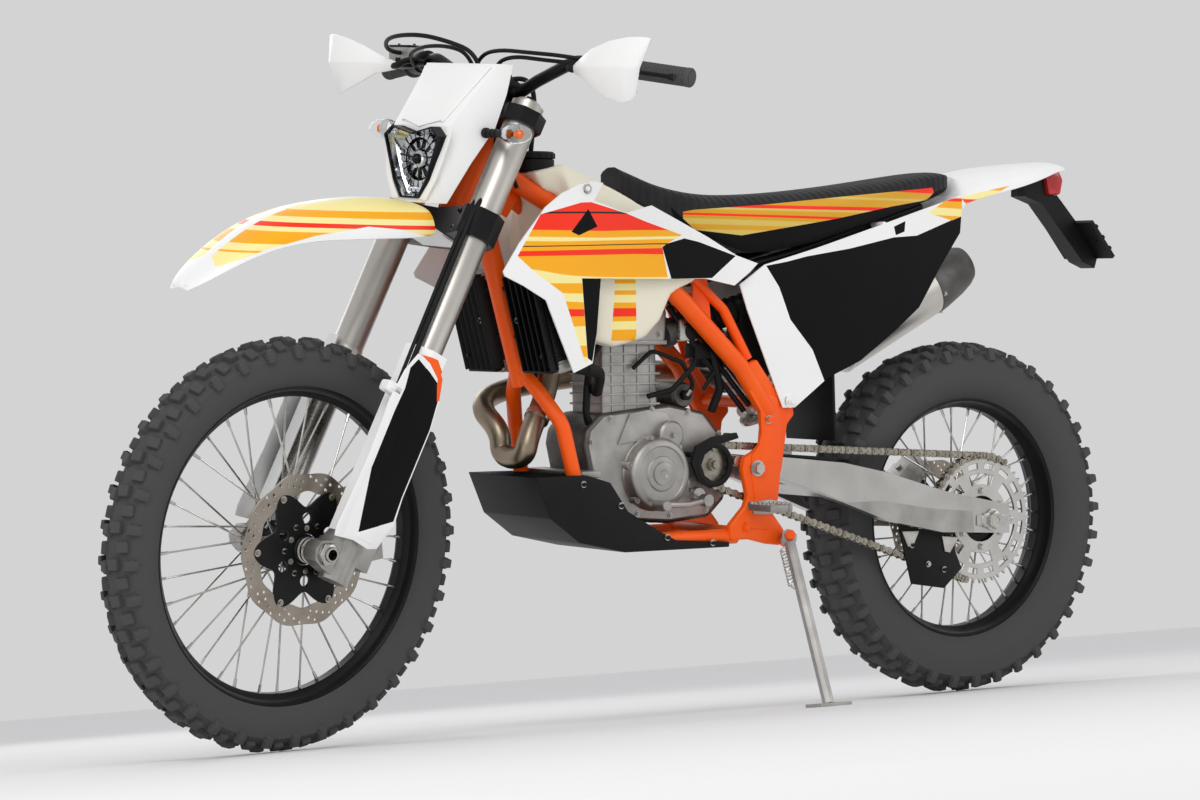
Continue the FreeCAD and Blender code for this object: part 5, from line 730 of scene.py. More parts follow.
def tyre(end, centre, radius, width, crown, knob):
    """A casing with side wall ribs, and staggered rows of tread blocks on its crown."""
    bm = bmesh.new()
    bead, rim_width = RIMS[end]
    half = (width - knob) / 2
    inner = radius - knob
    casing = [(rim_width / 2, bead), (rim_width / 2 + 4, bead + 3),
              (half - 4, bead + 0.22 * (inner - bead))]
    casing += [(half, bead + 0.48 * (inner - bead)), (half - 0.5, bead + 0.62 * (inner - bead))]
    for share in (1.0, 0.8, 0.6, 0.4, 0.2):
        angle = share * asin(half / crown)
        casing.append((sin(angle) * crown, inner - crown + cos(angle) * crown))
    profile = casing + [(0, inner)] + [(-y, r) for y, r in reversed(casing)]
    lathe(bm, profile, centre, LEFT, 96)
    for side in (1, -1):
        for share in (0.12, 0.30):
            r = bead + share * (inner - bead)
            y = side * (rim_width / 2 + 3 + share * (half - rim_width / 2))
            lathe(bm, [(y - 1.2, r - 1.6), (y + 1.2, r - 1.6), (y + 1.2, r + 1.6), (y - 1.2, r + 1.6)],
                  centre, LEFT, 96)
    pattern = bmesh.new()
    bmesh.ops.create_cube(pattern, size=1)
    bmesh.ops.scale(pattern, vec=(0.84, 0.84, 1), verts=[v for v in pattern.verts if v.co.z > 0])
    eased(pattern, 0.06, 1)
    mesh = bpy.data.meshes.new("knob")
    pattern.to_mesh(mesh)
    pattern.free()
    places = []
    span = asin(width / 2 / crown)
    step = 2 * pi / KNOB_ROWS
    for row in range(KNOB_ROWS):
        shares = (-0.88, -0.24, 0.24, 0.88) if row % 2 else (-0.56, 0.56)
        for share in shares:
            lean = share * span
            wide = span * crown * (0.25 if abs(share) > 0.8 else 0.40)
            turn = (row + 0.5 + (0.12 if share > 0 else -0.12)) * step
            out, round_way = ray(turn, 1), ray(turn + pi / 2, 1)
            top = out * cos(lean) + LEFT * sin(lean)
            across = round_way.cross(top) * -1
            tall = knob + 7
            reach = crown - 0.9 - tall / 2 - (1 - cos(wide / crown / 2)) * crown
            middle = centre + out * (radius - crown) + top * reach
            twist = Quaternion(top, radians(8) * (1 if share > 0 else -1))
            places.append(basis(middle, twist @ round_way, twist @ across, top)
                          @ Matrix.Diagonal((21, wide, tall, 1)))
        if row % 2:
            for side in (1, -1):
                top = (LEFT * side + out * 0.25).normalized()
                middle = centre + out * (inner - 13) + LEFT * side * (half - 0.5)
                places.append(basis(middle, round_way, round_way.cross(top) * -1, top)
                              @ Matrix.Diagonal((17, 25, 9, 1)))
    stamped(bm, mesh, places)
    dressed(bm, end + "_tyre_tread", end + "_wheel", ["tyre_rubber"], [end + "_tyre"])


def mould_tyres(scene):
    knob = scene.enduro_sizes.knob
    tyre("front", FRONT_AXLE, radius=352, width=92, crown=52, knob=knob)
    tyre("rear", REAR_AXLE, radius=342, width=130, crown=84, knob=knob)


def rim_band(bm, centre, bead, width):
    """A rim's channel with rolled edges and a well for the nipples."""
    half = width / 2
    outside = [(-half - 1, bead + 3), (-half - 2.5, bead - 1), (-half + 1, bead - 5),
               (-half * 0.62, bead - 8), (-half * 0.45, bead - 14), (-half * 0.3, bead - 17.5)]
    profile = outside + [(-y, r) for y, r in reversed(outside)]
    profile += [(half - 3, bead + 3), (half - 4, bead - 2), (half * 0.45, bead - 9), (0, bead - 13),
                (-half * 0.45, bead - 9), (-half + 4, bead - 2), (-half + 3, bead + 3)]
    lathe(bm, profile, centre, LEFT, 120)


def spoke_places(centre, flange_radius, spacing, bead):
    """Each spoke's end on the hub and on the rim."""
    for side in (1, -1):
        for lead in (1, -1):
            face = spacing / 2 + lead * 5.6
            for at_rim in around(9, (0 if lead == 1 else 0.5) + (0 if side == 1 else 0.25)):
                at_hub = at_rim + lead * radians(50)
                yield (centre + ray(at_hub, flange_radius - 3, side * face),
                       centre + ray(at_rim, bead - 17.4, side * (2 + lead) * 2))


def lace_rims(scene):
    radius = scene.enduro_sizes.spoke / 2
    for end, centre, flange, spacing in (("front", FRONT_AXLE, 34, 64), ("rear", REAR_AXLE, 46, 76)):
        bead, width = RIMS[end]
        bm = bmesh.new()
        rim_band(bm, centre, bead, width)
        dressed(bm, end + "_rim_band", end + "_wheel", [ANODISED], [end + "_rim"])
        bm = bmesh.new()
        for hub_end, rim_end in spoke_places(centre, flange, spacing, bead):
            way = (rim_end - hub_end).normalized()
            bar(bm, hub_end, rim_end - way * 12, radius, radius * 0.9, 8)
            bar(bm, rim_end - way * 15, rim_end + way * 1.5, radius * 1.35, radius * 1.7, 6)
            bar(bm, hub_end - way * 2, hub_end + way * 3, radius * 1.7, radius * 1.2, 8)
        dressed(bm, end + "_laced_spokes", end + "_wheel", [STEEL], [end + "_spokes"])


def rounded_star(radius, waves, depth, count=144):
    """A friction ring's wavy outer edge."""
    return [polar(turn, radius - depth + depth * cos(waves * turn)) for turn in around(count)]


def drilled_disc(bm, centre, line, radius, boss):
    """A wavy friction ring with drilled holes, riveted to a black carrier."""
    inner = radius - 32
    outlines = [rounded_star(radius, 10, 2.2), rounded_star(inner, 12, 2.0)]
    for shift, depth in ((0.1, 8), (0.6, 8), (0.3, 14), (0.8, 14), (0.5, 20), (0.7, 25)):
        outlines += [circle(2.8, 10, polar(turn, radius - depth)) for turn in around(12, shift)]
    cut_plate(bm, outlines, 3.0, centre + LEFT * line)
    outlines = [rounded_star(inner + 7, 6, 17), circle(boss, 32)]
    reach = boss + (inner - boss) * 0.36
    outlines += [circle((inner - boss) * 0.13, 20, polar(turn, reach)) for turn in around(6, 0.5)]
    cut_plate(bm, outlines, 5.0, centre + LEFT * line, 0.6, 1)
    side = 1 if line > 0 else -1
    for shift, reach, size in ((0, inner + 1, 6), (0.5, boss + 9, 5)):
        bolts(bm, [(centre + ray(turn, reach, line + side * 2.2), LEFT * side, size)
                   for turn in around(6, shift)], 2)


def turn_hubs():
    bm = bmesh.new()
    lathe(bm, [(-83, 13.4), (-83, 17), (-60, 17), (-48, 22), (-40, 34), (-33, 38), (-30, 38), (-27, 30),
               (-10, 24), (10, 24), (27, 30), (30, 38), (33, 38), (40, 34), (54, 26), (60, 26), (65, 24),
               (72, 17), (83, 17), (83, 13.4)], FRONT_AXLE, LEFT)
    bolts(bm, [(FRONT_AXLE + ray(turn, 44, 63.6), LEFT, 5) for turn in around(6)], 1)
    dressed(bm, "front_hub_body", "front_wheel", [ANODISED, STEEL], ["front_hub"])
    bm = bmesh.new()
    lathe(bm, [(-75, 12.9), (-75, 21), (-66, 23), (-63, 31), (-60, 31), (-52, 40), (-41, 50), (-35, 50),
               (-30, 38), (-12, 30), (12, 30), (30, 38), (35, 50), (41, 50), (52, 42), (66, 46), (68, 61),
               (76, 61), (76, 30), (84, 22), (84, 12.9)], REAR_AXLE, LEFT)
    dressed(bm, "rear_hub_body", "rear_wheel", [ANODISED], ["rear_hub"])
    bm = bmesh.new()
    drilled_disc(bm, FRONT_AXLE, DISC_LINE, 130, 27)
    dressed(bm, "front_brake_disc", "front_wheel", ["disc_steel", ANODISED, STEEL], ["front_disc"])
    bm = bmesh.new()
    drilled_disc(bm, REAR_AXLE, -DISC_LINE, 110, 31)
    dressed(bm, "rear_brake_disc", "rear_wheel", ["disc_steel", ANODISED, STEEL], ["rear_disc"])
    bm = bmesh.new()
    sprocket(bm, REAR_AXLE, REAR_TEETH, REAR_PITCH, 44)
    bolts(bm, [(REAR_AXLE + ray(turn, 54, 83), LEFT, 7) for turn in around(6, 0.5)], 1)
    dressed(bm, "rear_chain_wheel", "rear_wheel", ["machined_aluminium", STEEL],
            ["rear_sprocket"])
    bm = bmesh.new()
    sprocket(bm, COUNTERSHAFT, FRONT_TEETH, FRONT_PITCH, 0)
    bar(bm, COUNTERSHAFT + LEFT * 62, COUNTERSHAFT + LEFT * 86, 12)
    bolts(bm, [(COUNTERSHAFT + LEFT * 86, LEFT, 11)])
    dressed(bm, "front_chain_wheel", "chassis", ["chain_steel"], ["front_sprocket"])


def sprocket(bm, centre, teeth, radius, bore):
    """Teeth, and for the large one a bore, holes and curved windows."""
    edge = []
    for tooth in range(teeth):
        for share, rise in ((-0.30, -4.6), (-0.12, -5.2), (0.12, -5.2), (0.30, -4.6), (0.42, 2.0),
                            (0.5, 3.4), (0.58, 2.0)):
            turn = 2 * pi * (tooth + share) / teeth + pi / 2 - DROOP
            edge.append(polar(turn, radius + rise))
    outlines = [edge]
    if bore:
        outlines.append(circle(bore, 32))
        for count, far, near, gap in ((16, 107, 96, 0.2), (6, 87, 66, 0.16)):
            for low, high in zip(around(count, gap), around(count, 1 - gap)):
                turns = [low + (high - low) * i / 6 for i in range(7)]
                outlines.append([polar(turn, far) for turn in turns]
                                + [polar(turn, near) for turn in reversed(turns)])
    cut_plate(bm, outlines, 5.6, centre + LEFT * CHAIN_LINE, 0.6)


def chain_place(run):
    """A place and direction on the chain's pitch line, at a distance along it."""
    along = (REAR_AXLE - COUNTERSHAFT).normalized()
    across = along.cross(LEFT)
    lean = asin((REAR_PITCH - FRONT_PITCH) / CHAIN_CENTRES)
    straight = sqrt(CHAIN_CENTRES ** 2 - (REAR_PITCH - FRONT_PITCH) ** 2)
    rear_arc = (pi + 2 * lean) * REAR_PITCH
    front_arc = (pi - 2 * lean) * FRONT_PITCH
    run %= 2 * straight + rear_arc + front_arc
    touch = {}
    for side in (1, -1):
        normal = across * side * cos(lean) - along * sin(lean)
        touch[side] = (COUNTERSHAFT + normal * FRONT_PITCH, REAR_AXLE + normal * REAR_PITCH)
    if run < straight:
        way = (touch[1][1] - touch[1][0]).normalized()
        return touch[1][0] + way * run, way
    run -= straight
    if run < rear_arc:
        spin = Quaternion(LEFT, -run / REAR_PITCH)
        arm = spin @ (touch[1][1] - REAR_AXLE)
        return REAR_AXLE + arm, spin @ (touch[1][1] - touch[1][0]).normalized()
    run -= rear_arc
    if run < straight:
        way = (touch[-1][0] - touch[-1][1]).normalized()
        return touch[-1][1] + way * run, way
    run -= straight
    spin = Quaternion(LEFT, -run / FRONT_PITCH)
    way = (touch[-1][0] - touch[-1][1]).normalized()
    return COUNTERSHAFT + spin @ (touch[-1][0] - COUNTERSHAFT), spin @ way


def join_chain():
    bm = bmesh.new()
    half = PITCH / 2
    for link in range(LINKS):
        start, _ = chain_place(link * PITCH)
        end, _ = chain_place((link + 1) * PITCH)
        way = (end - start).normalized()
        middle = (start + end) / 2
        off = 6.6 if link % 2 else 4.6
        for side in (1, -1):
            y = CHAIN_LINE + side * off
            outline = []
            for turn in (0, 45, 80, 90, 100, 135, 180, 225, 260, 270, 280, 315):
                waist = turn in (90, 270)
                shift = 0 if waist else half if turn < 90 or turn > 270 else -half
                reach = 3.4 if waist else 7.2
                spot = middle + way * (shift + cos(radians(turn)) * reach)
                spot += way.cross(LEFT) * sin(radians(turn)) * reach
                outline.append((spot.x, spot.z))
            slab(bm, outline, y - 0.8, y + 0.8, 0)
        # The rollers and pins take a darker metal than the plates: painted shade in the gaps between the
        # side plates
        bar(bm, start + LEFT * 75.5, start + LEFT * 84.5, 4.6, sides=8, index=1)
        bar(bm, start + LEFT * 71.2, start + LEFT * 89, 3.3, sides=8, index=1)
    dressed(bm, "roller_chain", "chassis", ["chain_steel", "dark_cast_aluminium"], ["chain"])


# Chassis

PLATE_OUTLINE = [(-150, 640), (-190, 568), (-195, 530), (-192, 500), (-174, 486), (-155, 478), (-150, 455),
                 (-162, 405), (-155, 388), (-122, 356), (-122, 328), (-165, 328), (-205, 318), (-238, 314),
                 (-246, 342), (-218, 375), (-222, 400), (-240, 455), (-247, 500), (-252, 535), (-268, 552),
                 (-264, 572), (-246, 592), (-222, 604), (-182, 655)]


def weld_frame():
    bm = bmesh.new()
    low, high = fork(STEM_AHEAD, 0, 653), fork(STEM_AHEAD, 0, 809)
    lathe(bm, [(0, 14.6), (0, 29), (3, 30), (12, 30), (14, 27.5), (142, 27.5), (144, 30), (153, 30),
               (156, 29), (156, 14.6)], low, high - low)
    tubing(bm, [(360, 0, 980), (262, 0, 635), (256, 0, 612)], 18.5, 0)
    for side in (1, -1):
        tubing(bm, ((266, 0, 645), (247, 43.2 * side, 598), (222, 76 * side, 545), (204, 85 * side, 455),
                    (168, 87 * side, 372), (100, 90 * side, 334), (-145, 90 * side, 334)), 13.6, 60)
        tubing(bm, ((346, 0, 1010), (262, 38.6 * side, 950), (70, 86.5 * side, 838), (-25, 92 * side, 760),
                    (-153, 95.7 * side, 640), (-210, 99.4 * side, 560)), 17, 60)
        slab(bm, PLATE_OUTLINE, side * 91, side * 108, 5.5, segments=4)
        slab(bm, [(-160, 600), (-188, 560), (-190, 520), (-184, 498), (-168, 480), (-168, 440),
                  (-176, 400), (-150, 362), (-165, 348), (-205, 344), (-228, 400), (-236, 470),
                  (-240, 530), (-226, 586)], side * 107, side * 110.5, 3)
        slab(bm, [(-54, 735), (-60, 806), (-90, 806), (-104, 690)], side * 71.3, side * 79, 2.5)
        slab(bm, [(340, 985), (262, 960), (300, 905), (336, 925)], side * 16, side * 20, 1.5)
        tubing(bm, [(-62, side * 75, 800), (-125, side * 80, 745), (-170, side * 93, 655)], 9.5, 30)
        bolts(bm, [((-176, side * 110, 388), LEFT * side, 9), ((-205, side * 110, 545), LEFT * side, 8),
                   ((-155, side * 110, 350), LEFT * side, 7)], 1)
    for x, z in ((-205, 575), (-138, 342), (-30, 762)):
        bar(bm, (x, -92, z), (x, 92, z), 11)
    for face in (-53.3, -14.7):
        slab(bm, [(-30, 751), (-30, 773), (-150, 777), (-156, 762), (-150, 747)], face, face + 8, 2)
    stand_pin = [STAND_PIVOT + STAND_HINGE * off for off in (-19.3, -7.3, 7.3, 13.3)]
    bar(bm, (-241, 100, 329), stand_pin[0], 9.5)
    for start, end, radius in zip(stand_pin, stand_pin[1:], (9.5, 5.9, 9.5)):
        bar(bm, start, end, radius)
    dressed(bm, "welded_frame", "chassis", ["orange_powder_coat", STEEL], ["frame"])

    bm = bmesh.new()
    for side in (1, -1):
        tubing(bm, [(-75, 62 * side, 795), (-300, 62 * side, 850), (-480, 62 * side, 903),
                    (-600, 62 * side, 938)], 9, 80)
        tubing(bm, [(-240, 79 * side, 594), (-300, 76 * side, 660), (-480, 62 * side, 903)], 9, 60)
        bolts(bm, [((-240, side * 85, 596), LEFT * side, 8)], 1)
    for x, z in ((-75, 795), (-480, 903), (-600, 938)):
        bar(bm, (x, -62, z), (x, 62, z), 9)
    dressed(bm, "welded_subframe", "chassis", ["black_powder_coat", STEEL], ["subframe"])

    bm = softened("swingarm", 2.5, 3)
    # The lower flank of each side gets the darker cast finish: painted shade on the swingarm's lower side
    field(bm, [(-227, 443), (-312, 416), (-391, 387), (-467, 388), (-584, 370), (-690, 360), (-700, 290),
               (-560, 320), (-399, 340), (-300, 380), (-229, 400)], 2, 80, 0.3)
    for side in (1, -1):
        slab(bm, [(-700, 352), (-742, 352), (-770, 352), (-778, 342), (-770, 332), (-742, 332),
                  (-700, 332)], side * 115, side * 118.5, 1.5)
        slab(bm, circle(15, 8, (-724, 342), 0.39), side * 115, side * 121, 2)
        bar(bm, (-784, side * 102, 342), (-800, side * 102, 342), 5, sides=12, index=1)
        bar(bm, (-788, side * 102, 342), (-793, side * 102, 342), 8.5, sides=6, index=1)
    dressed(bm, "cast_swingarm", "chassis", ["swingarm_aluminium", STEEL, CAST], ["swingarm"])

    bm = bmesh.new()
    lathe(bm, [(-129, 7.2), (-129, 12.4), (-119, 12.4), (129, 12.4), (129, 7.2)], REAR_AXLE, LEFT, 40)
    for start, end, radius in ((-128, -116, 18), (115.5, 119, 21), (119, 128, 18)):
        sides = 6 if radius == 18 else 32
        made = bmesh.new()
        bmesh.ops.create_cone(made, cap_ends=True, segments=sides, radius1=radius, radius2=radius,
                              depth=end - start, matrix=facing(REAR_AXLE + LEFT * (start + end) / 2, LEFT))
        eased(made, 1.0)
        joined(bm, made)
    bar(bm, SWINGARM_PIVOT - LEFT * 115, SWINGARM_PIVOT + LEFT * 115, 8.5)
    for side in (1, -1):
        bolts(bm, [(SWINGARM_PIVOT + LEFT * side * 108.5, LEFT * side, 15)])
    dressed(bm, "rear_spindle", "chassis", [STEEL], ["rear_axle"])


def coil_shock(scene):
    bm = bmesh.new()
    run = SHOCK_FOOT - SHOCK_TOP
    down = run.normalized()
    start, end = SHOCK_TOP + run * 0.10, SHOCK_TOP + run * 0.74
    bar(bm, SHOCK_TOP, start, 12, index=1)
    lathe(bm, [(0, 0), (0, 21), (60, 21), (62, 23), (150, 23), (152, 19), (210, 19), (210, 0)], start,
          down, 40, 1, False)
    bar(bm, end, SHOCK_FOOT, 8, index=2)
    for place in (start, end):
        lathe(bm, [(0, 14), (0, 36), (6, 36), (8, 33), (8, 14)], place, down, 40, 2)
    for place in (SHOCK_TOP, SHOCK_FOOT):
        bar(bm, place - LEFT * 15, place + LEFT * 15, 15, index=2)
        bar(bm, place - LEFT * 23, place + LEFT * 23, 6, index=2)
    side = down.cross(LEFT)
    turns, length = 7, (end - start).length - 16
    wire = scene.enduro_sizes.wire / 2
    helix = []
    for k in range(turns * 20 + 1):
        angle = 2 * pi * k / 20
        rise = 8 + wire + (length - 2 * wire) * k / (turns * 20)
        helix.append(start + down * rise + (side * cos(angle) + LEFT * sin(angle)) * (33 - wire))
    tubing(bm, helix, wire, 0, 0, 2)
    dressed(bm, "shock_and_spring", "chassis", [WHITE, "machined_aluminium", STEEL],
            ["rear_shock"])


CASE_OUTLINE = [(165, 505), (150, 440), (120, 395), (60, 366), (-20, 360), (-110, 368), (-146, 400),
                (-150, 505), (-100, 560), (-20, 575), (130, 560), (160, 532)]


def cast_engine():
    bm = bmesh.new()
    slab(bm, CASE_OUTLINE, -70, 60, 9, 1, 4)
    slab(bm, [(x * 0.94 + 1, z * 0.95 + 24) for x, z in CASE_OUTLINE], -72, 62, 3, 0, 3)
    slab(bm, [(118, 540), (-4, 540), (2, 690), (122, 690)], -50, 50, 7, 0, 3)
    for z in (556, 574, 592, 610, 628, 646, 664):
        slab(bm, [(121, z), (-5, z), (-5, z + 4), (121, z + 4)], -52.5, 52.5, 1.2)
    for x in (12, 40, 68, 96):
        slab(bm, [(x, 552), (x + 4, 552), (x + 6, 684), (x + 2, 684)], -52, 52, 1)
    slab(bm, [(138, 684), (-14, 684), (-18, 742), (10, 782), (110, 786), (136, 750)], -58, 58, 8, 0, 4)
    slab(bm, [(140, 682), (-16, 682), (-16, 690), (140, 690)], -59, 59, 2)
    slab(bm, [(128, 742), (0, 738), (14, 778), (108, 782)], -60, 60, 3, 1)
    slab(bm, [(150, 461), (190.8, 461), (186.7, 449), (148, 449)], -90, 90, 2)
    bar(bm, (-152, -91.7, 470), (-152, 91.7, 470), 10)
    for side in (1, -1):
        near = 62 if side == 1 else -72
        rim = [(150, 510), (140, 446), (104, 404), (52, 380), (-20, 374), (-100, 382), (-134, 410),
               (-136, 470), (-128, 520), (-60, 560), (20, 566), (110, 552)]
        bolts(bm, [((x, near, z), LEFT * side, 5.5) for x, z in rim], 2)
        bolts(bm, [((x, side * 58, z), LEFT * side, 6)
                   for x, z in ((120, 700), (0, 700), (60, 706), (116, 735), (4, 730))], 2)
        slab(bm, [(96, 505), (70, 560), (30, 566), (-10, 560), (-40, 520)], near, near + side * 4, 2)
    # starter motor behind the cylinder, its lead, the oil line, the breather and the spark plug's cap
    turned(bm, [(-46, 20), (-44, 24), (40, 24), (46, 20)], (-62, 0, 590), LEFT, 32, 1)
    bar(bm, (-62, 46, 590), (-62, 58, 590), 9, index=3)
    tubing(bm, [(-62, 56, 590), (-70, 66, 610), (-40, 70, 650), (20, 62, 672), (60, 60, 640)], 4, 20, 3)
    tubing(bm, [(-120, 50, 560), (-128, 66, 600), (-110, 70, 660), (-80, 60, 700)], 8, 25, 3)
    tubing(bm, [(140, 40, 540), (160, 58, 560), (158, 60, 610), (148, 56, 660), (128, 58, 690)], 7, 20, 3)
    tubing(bm, [(60, 0, 784), (60, 0, 800), (30, 20, 808)], 9, 10, 3)
    bar(bm, (60, 58, 720), (60, 68, 720), 17, 15, index=0)
    bolts(bm, [((60, 68, 720), LEFT, 7)], 2)
    # oil filter cap and drain plug
    bar(bm, (-78, 62, 410), (-78, 72, 410), 15, 13)
    bolts(bm, [((-90, 62, 404), LEFT, 4), ((-66, 62, 418), LEFT, 4)], 2)
    bar(bm, (-104, 62, 402), (-104, 74, 396), 9, index=1)
    dressed(bm, "engine_castings", "chassis", [CAST, "dark_cast_aluminium", STEEL, BLACK],
            ["engine"])

    bm = bmesh.new()
    centre = at(18, 0, 452)
    turned(bm, [(62, 68), (66, 68), (68, 66), (72, 65), (84, 64), (89, 61), (92, 56), (93, 50), (90.5, 48),
                (90.5, 32), (93, 30), (94.5, 24), (94.5, 21), (97, 20.5), (98, 18), (98, 8), (96.5, 6)],
           centre, LEFT, 96)
    for turn in around(6, 0.25):
        spot = centre + ray(turn, 63)
        bar(bm, spot + LEFT * 62, spot + LEFT * 80, 8.5, 7.5)
        bolts(bm, [(spot + LEFT * 80, LEFT, 5.5)], 1)
    turned(bm, [(62, 26), (78, 26), (82, 22), (83, 14)], (-12, 0, 520), LEFT, 40)
    bolts(bm, [((-12, 83, 520), LEFT, 6)], 1)
    clutch = at(-55, 0, 445)
    lathe(bm, [(-72, 0), (-72, 66), (-88, 66), (-96, 60), (-101, 50), (-99, 46), (-99, 30), (-102, 26),
               (-102, 0)], clutch, LEFT, 80, 0, False)
    for turn in around(7):
        spot = clutch + ray(turn, 61)
        bar(bm, spot - LEFT * 72, spot - LEFT * 90, 8, 7)
        bolts(bm, [(spot - LEFT * 90, -LEFT, 5)], 1)
    turned(bm, [(-72, 34), (-88, 32), (-94, 24)], (86, 0, 430), LEFT, 40)
    tubing(bm, [(86, -84, 458), (100, -84, 500), (140, -82, 560), (180, -80, 616)], 9, 30, 2)
    dressed(bm, "engine_cover_castings", "chassis", [CAST, STEEL, BLACK], ["engine_covers"])


def fit_intake():
    bm = bmesh.new()
    path = [at(-24.8, 30, 700), at(-90, 30, 722)]
    way = (path[1] - path[0]).normalized()
    lathe(bm, [(0, 0), (0, 25), (8, 27), (16, 27), (18, 23), (40, 23), (42, 27), (50, 27), (52, 24),
               (69, 24), (69, 0)], path[0], way, 40, 1, False)
    lathe(bm, [(66, 0), (66, 25)] + [(72 + 9 * k, 25 + (1.5 if k % 2 else -2)) for k in range(19)]
          + [(242, 25), (242, 0)], path[0], (at(-262, 30, 765) - path[0]).normalized(), 40, 0, False)
    block(bm, (-58, 62, 708), (46, 20, 40), 4, 2)
    turned(bm, [(52, 18), (70, 18), (74, 15), (76, 8)], (-62, 0, 706), LEFT, 32, 0)
    block(bm, (-86, 58, 670), (40, 34, 28), 4, 0)
    tubing(bm, [(-86, 64, 676), (-60, 74, 640), (-20, 66, 600), (30, 64, 590)], 5, 20, 0)
    tubing(bm, [(-62, 66, 724), (-100, 78, 700), (-120, 70, 640), (-90, 66, 600)], 4, 20, 0)
    tubing(bm, [(-50, 40, 724), (-20, 60, 760), (30, 66, 770)], 4, 20, 0)
    bolts(bm, [((-46, 72, 718), LEFT, 5), ((-72, 72, 698), LEFT, 5)], 2)
    # regulator, coil and the loom that hide what is behind the cylinder
    slab(bm, [(-178, 757), (-208, 762), (-262, 630), (-236, 610), (-190, 690)], 4, 52, 5, 0, 3)
    block(bm, (-128, 34, 668), (64, 44, 58), 6, 0, 3)
    turned(bm, [(0, 24), (60, 24), (66, 18)], (-190, 20, 640), Vector((-0.35, 0, 0.94)), 32, 1)
    for dx, dz in ((0, 0), (-14, 6), (12, -10)):
        tubing(bm, [(-30 + dx, 58, 760 + dz), (-80 + dx, 70, 690 + dz), (-130 + dx, 64, 640 + dz),
                    (-190 + dx, 72, 570 + dz)], 5, 30, 0)
    slab(bm, [(-262, 716), (-262, 808), (-480, 868), (-560, 892), (-545, 838), (-420, 716)], -52, 52, 8, 0,
         3)
    for k in range(5):
        x = -290 - 30 * k
        slab(bm, [(x, 730), (x - 8, 730), (x - 8, 800 + 8 * k), (x, 800 + 8 * k)], -54, 54, 1.5)
    slab(bm, [(-392, 716), (-380, 640), (-384, 560), (-388, 500), (-394, 500), (-390, 560), (-387, 640),
              (-400, 716)], -74, 74, 1.2)
    dressed(bm, "intake_and_airbox", "chassis", [BLACK, "dark_cast_aluminium", STEEL],
            ["intake"])


def bend_exhaust():
    bm = bmesh.new()
    shares = ((139.8, 0.0, 712), (168, 2, 710), (200, 6, 650), (214, 10, 590), (266, 36, 525),
              (276, 38, 484), (276, -38, 484), (276, -40, 530), (288, -95, 572), (225, -130, 600),
              (60, -132, 622), (-160, -134, 636), (-360, -136, 590), (-440, -136, 612),
              (-499.7, -136, 641.85))
    tubing(bm, shares, 19.6, 0, 0, 6, "NURBS")
    for spot, way in ((at(146, 0, 711), AHEAD), (at(240, 24, 556), Vector((0.62, 0.31, -0.72))),
                      (at(-380, -136, 594), Vector((-0.93, 0, 0.1)))):
        lathe(bm, [(-6, 18.5), (-6, 22.5), (6, 22.5), (6, 18.5)], spot, way, 36, 1)
    bolts(bm, [((142, 20, 728), AHEAD, 6), ((142, -20, 694), AHEAD, 6)], 1)
    dressed(bm, "exhaust_header_pipe", "chassis", ["heat_tinted_steel", STEEL],
            ["exhaust_header"])

    bm = bmesh.new()
    run = MUFFLER_END - MUFFLER_FRONT
    along, length = run.normalized(), run.length
    across = along.cross(LEFT).normalized()

    def rounded(turn, wide=1.0):
        """A step from the can's middle line to its oval skin."""
        return across * cos(turn) * wide * 55.5 + LEFT * sin(turn) * wide * 45.5

    def can(rows, index):
        """A stretch of the can, from (share of its length, share of its width) rows."""
        loft(bm, [[MUFFLER_FRONT + along * share * length + rounded(turn, wide) for turn in around(40)]
                  for share, wide in rows], index)

    can(((0, 0.40), (0.02, 0.44), (0.06, 0.62), (0.12, 0.86), (0.155, 0.97), (0.16, 1.0), (0.75, 1.0)), 0)
    can(((0.15, 1.0), (0.152, 1.015), (0.165, 1.015), (0.167, 1.0)), 2)
    can(((0.742, 1.0), (0.745, 1.018), (0.765, 1.018), (0.80, 1.0), (0.90, 0.90), (0.965, 0.78),
         (0.998, 0.66)), 1)
    lathe(bm, [(-3, 21), (-3, 27), (2, 26), (2, 21.5), (-38, 21.5), (-38, 21)], MUFFLER_END, along, 40, 2)
    for turn in around(6, 0.25):
        way = across * cos(turn) + LEFT * sin(turn)
        bolts(bm, [(MUFFLER_FRONT + along * 0.757 * length + rounded(turn), way, 4.5)], 2)
    low, high = at(-300, -75.6, 660), at(-480, -62, 903)
    grip = low + (high - low) * 0.55
    half = (high - low).normalized() * 9
    bar(bm, grip - half, grip + half, 14, index=1)
    bar(bm, grip - LEFT * 7, (-560, -136, 672), 6, index=1)
    dressed(bm, "muffler_can", "chassis", ["brushed_muffler", "dark_cast_aluminium", STEEL],
            ["muffler"])


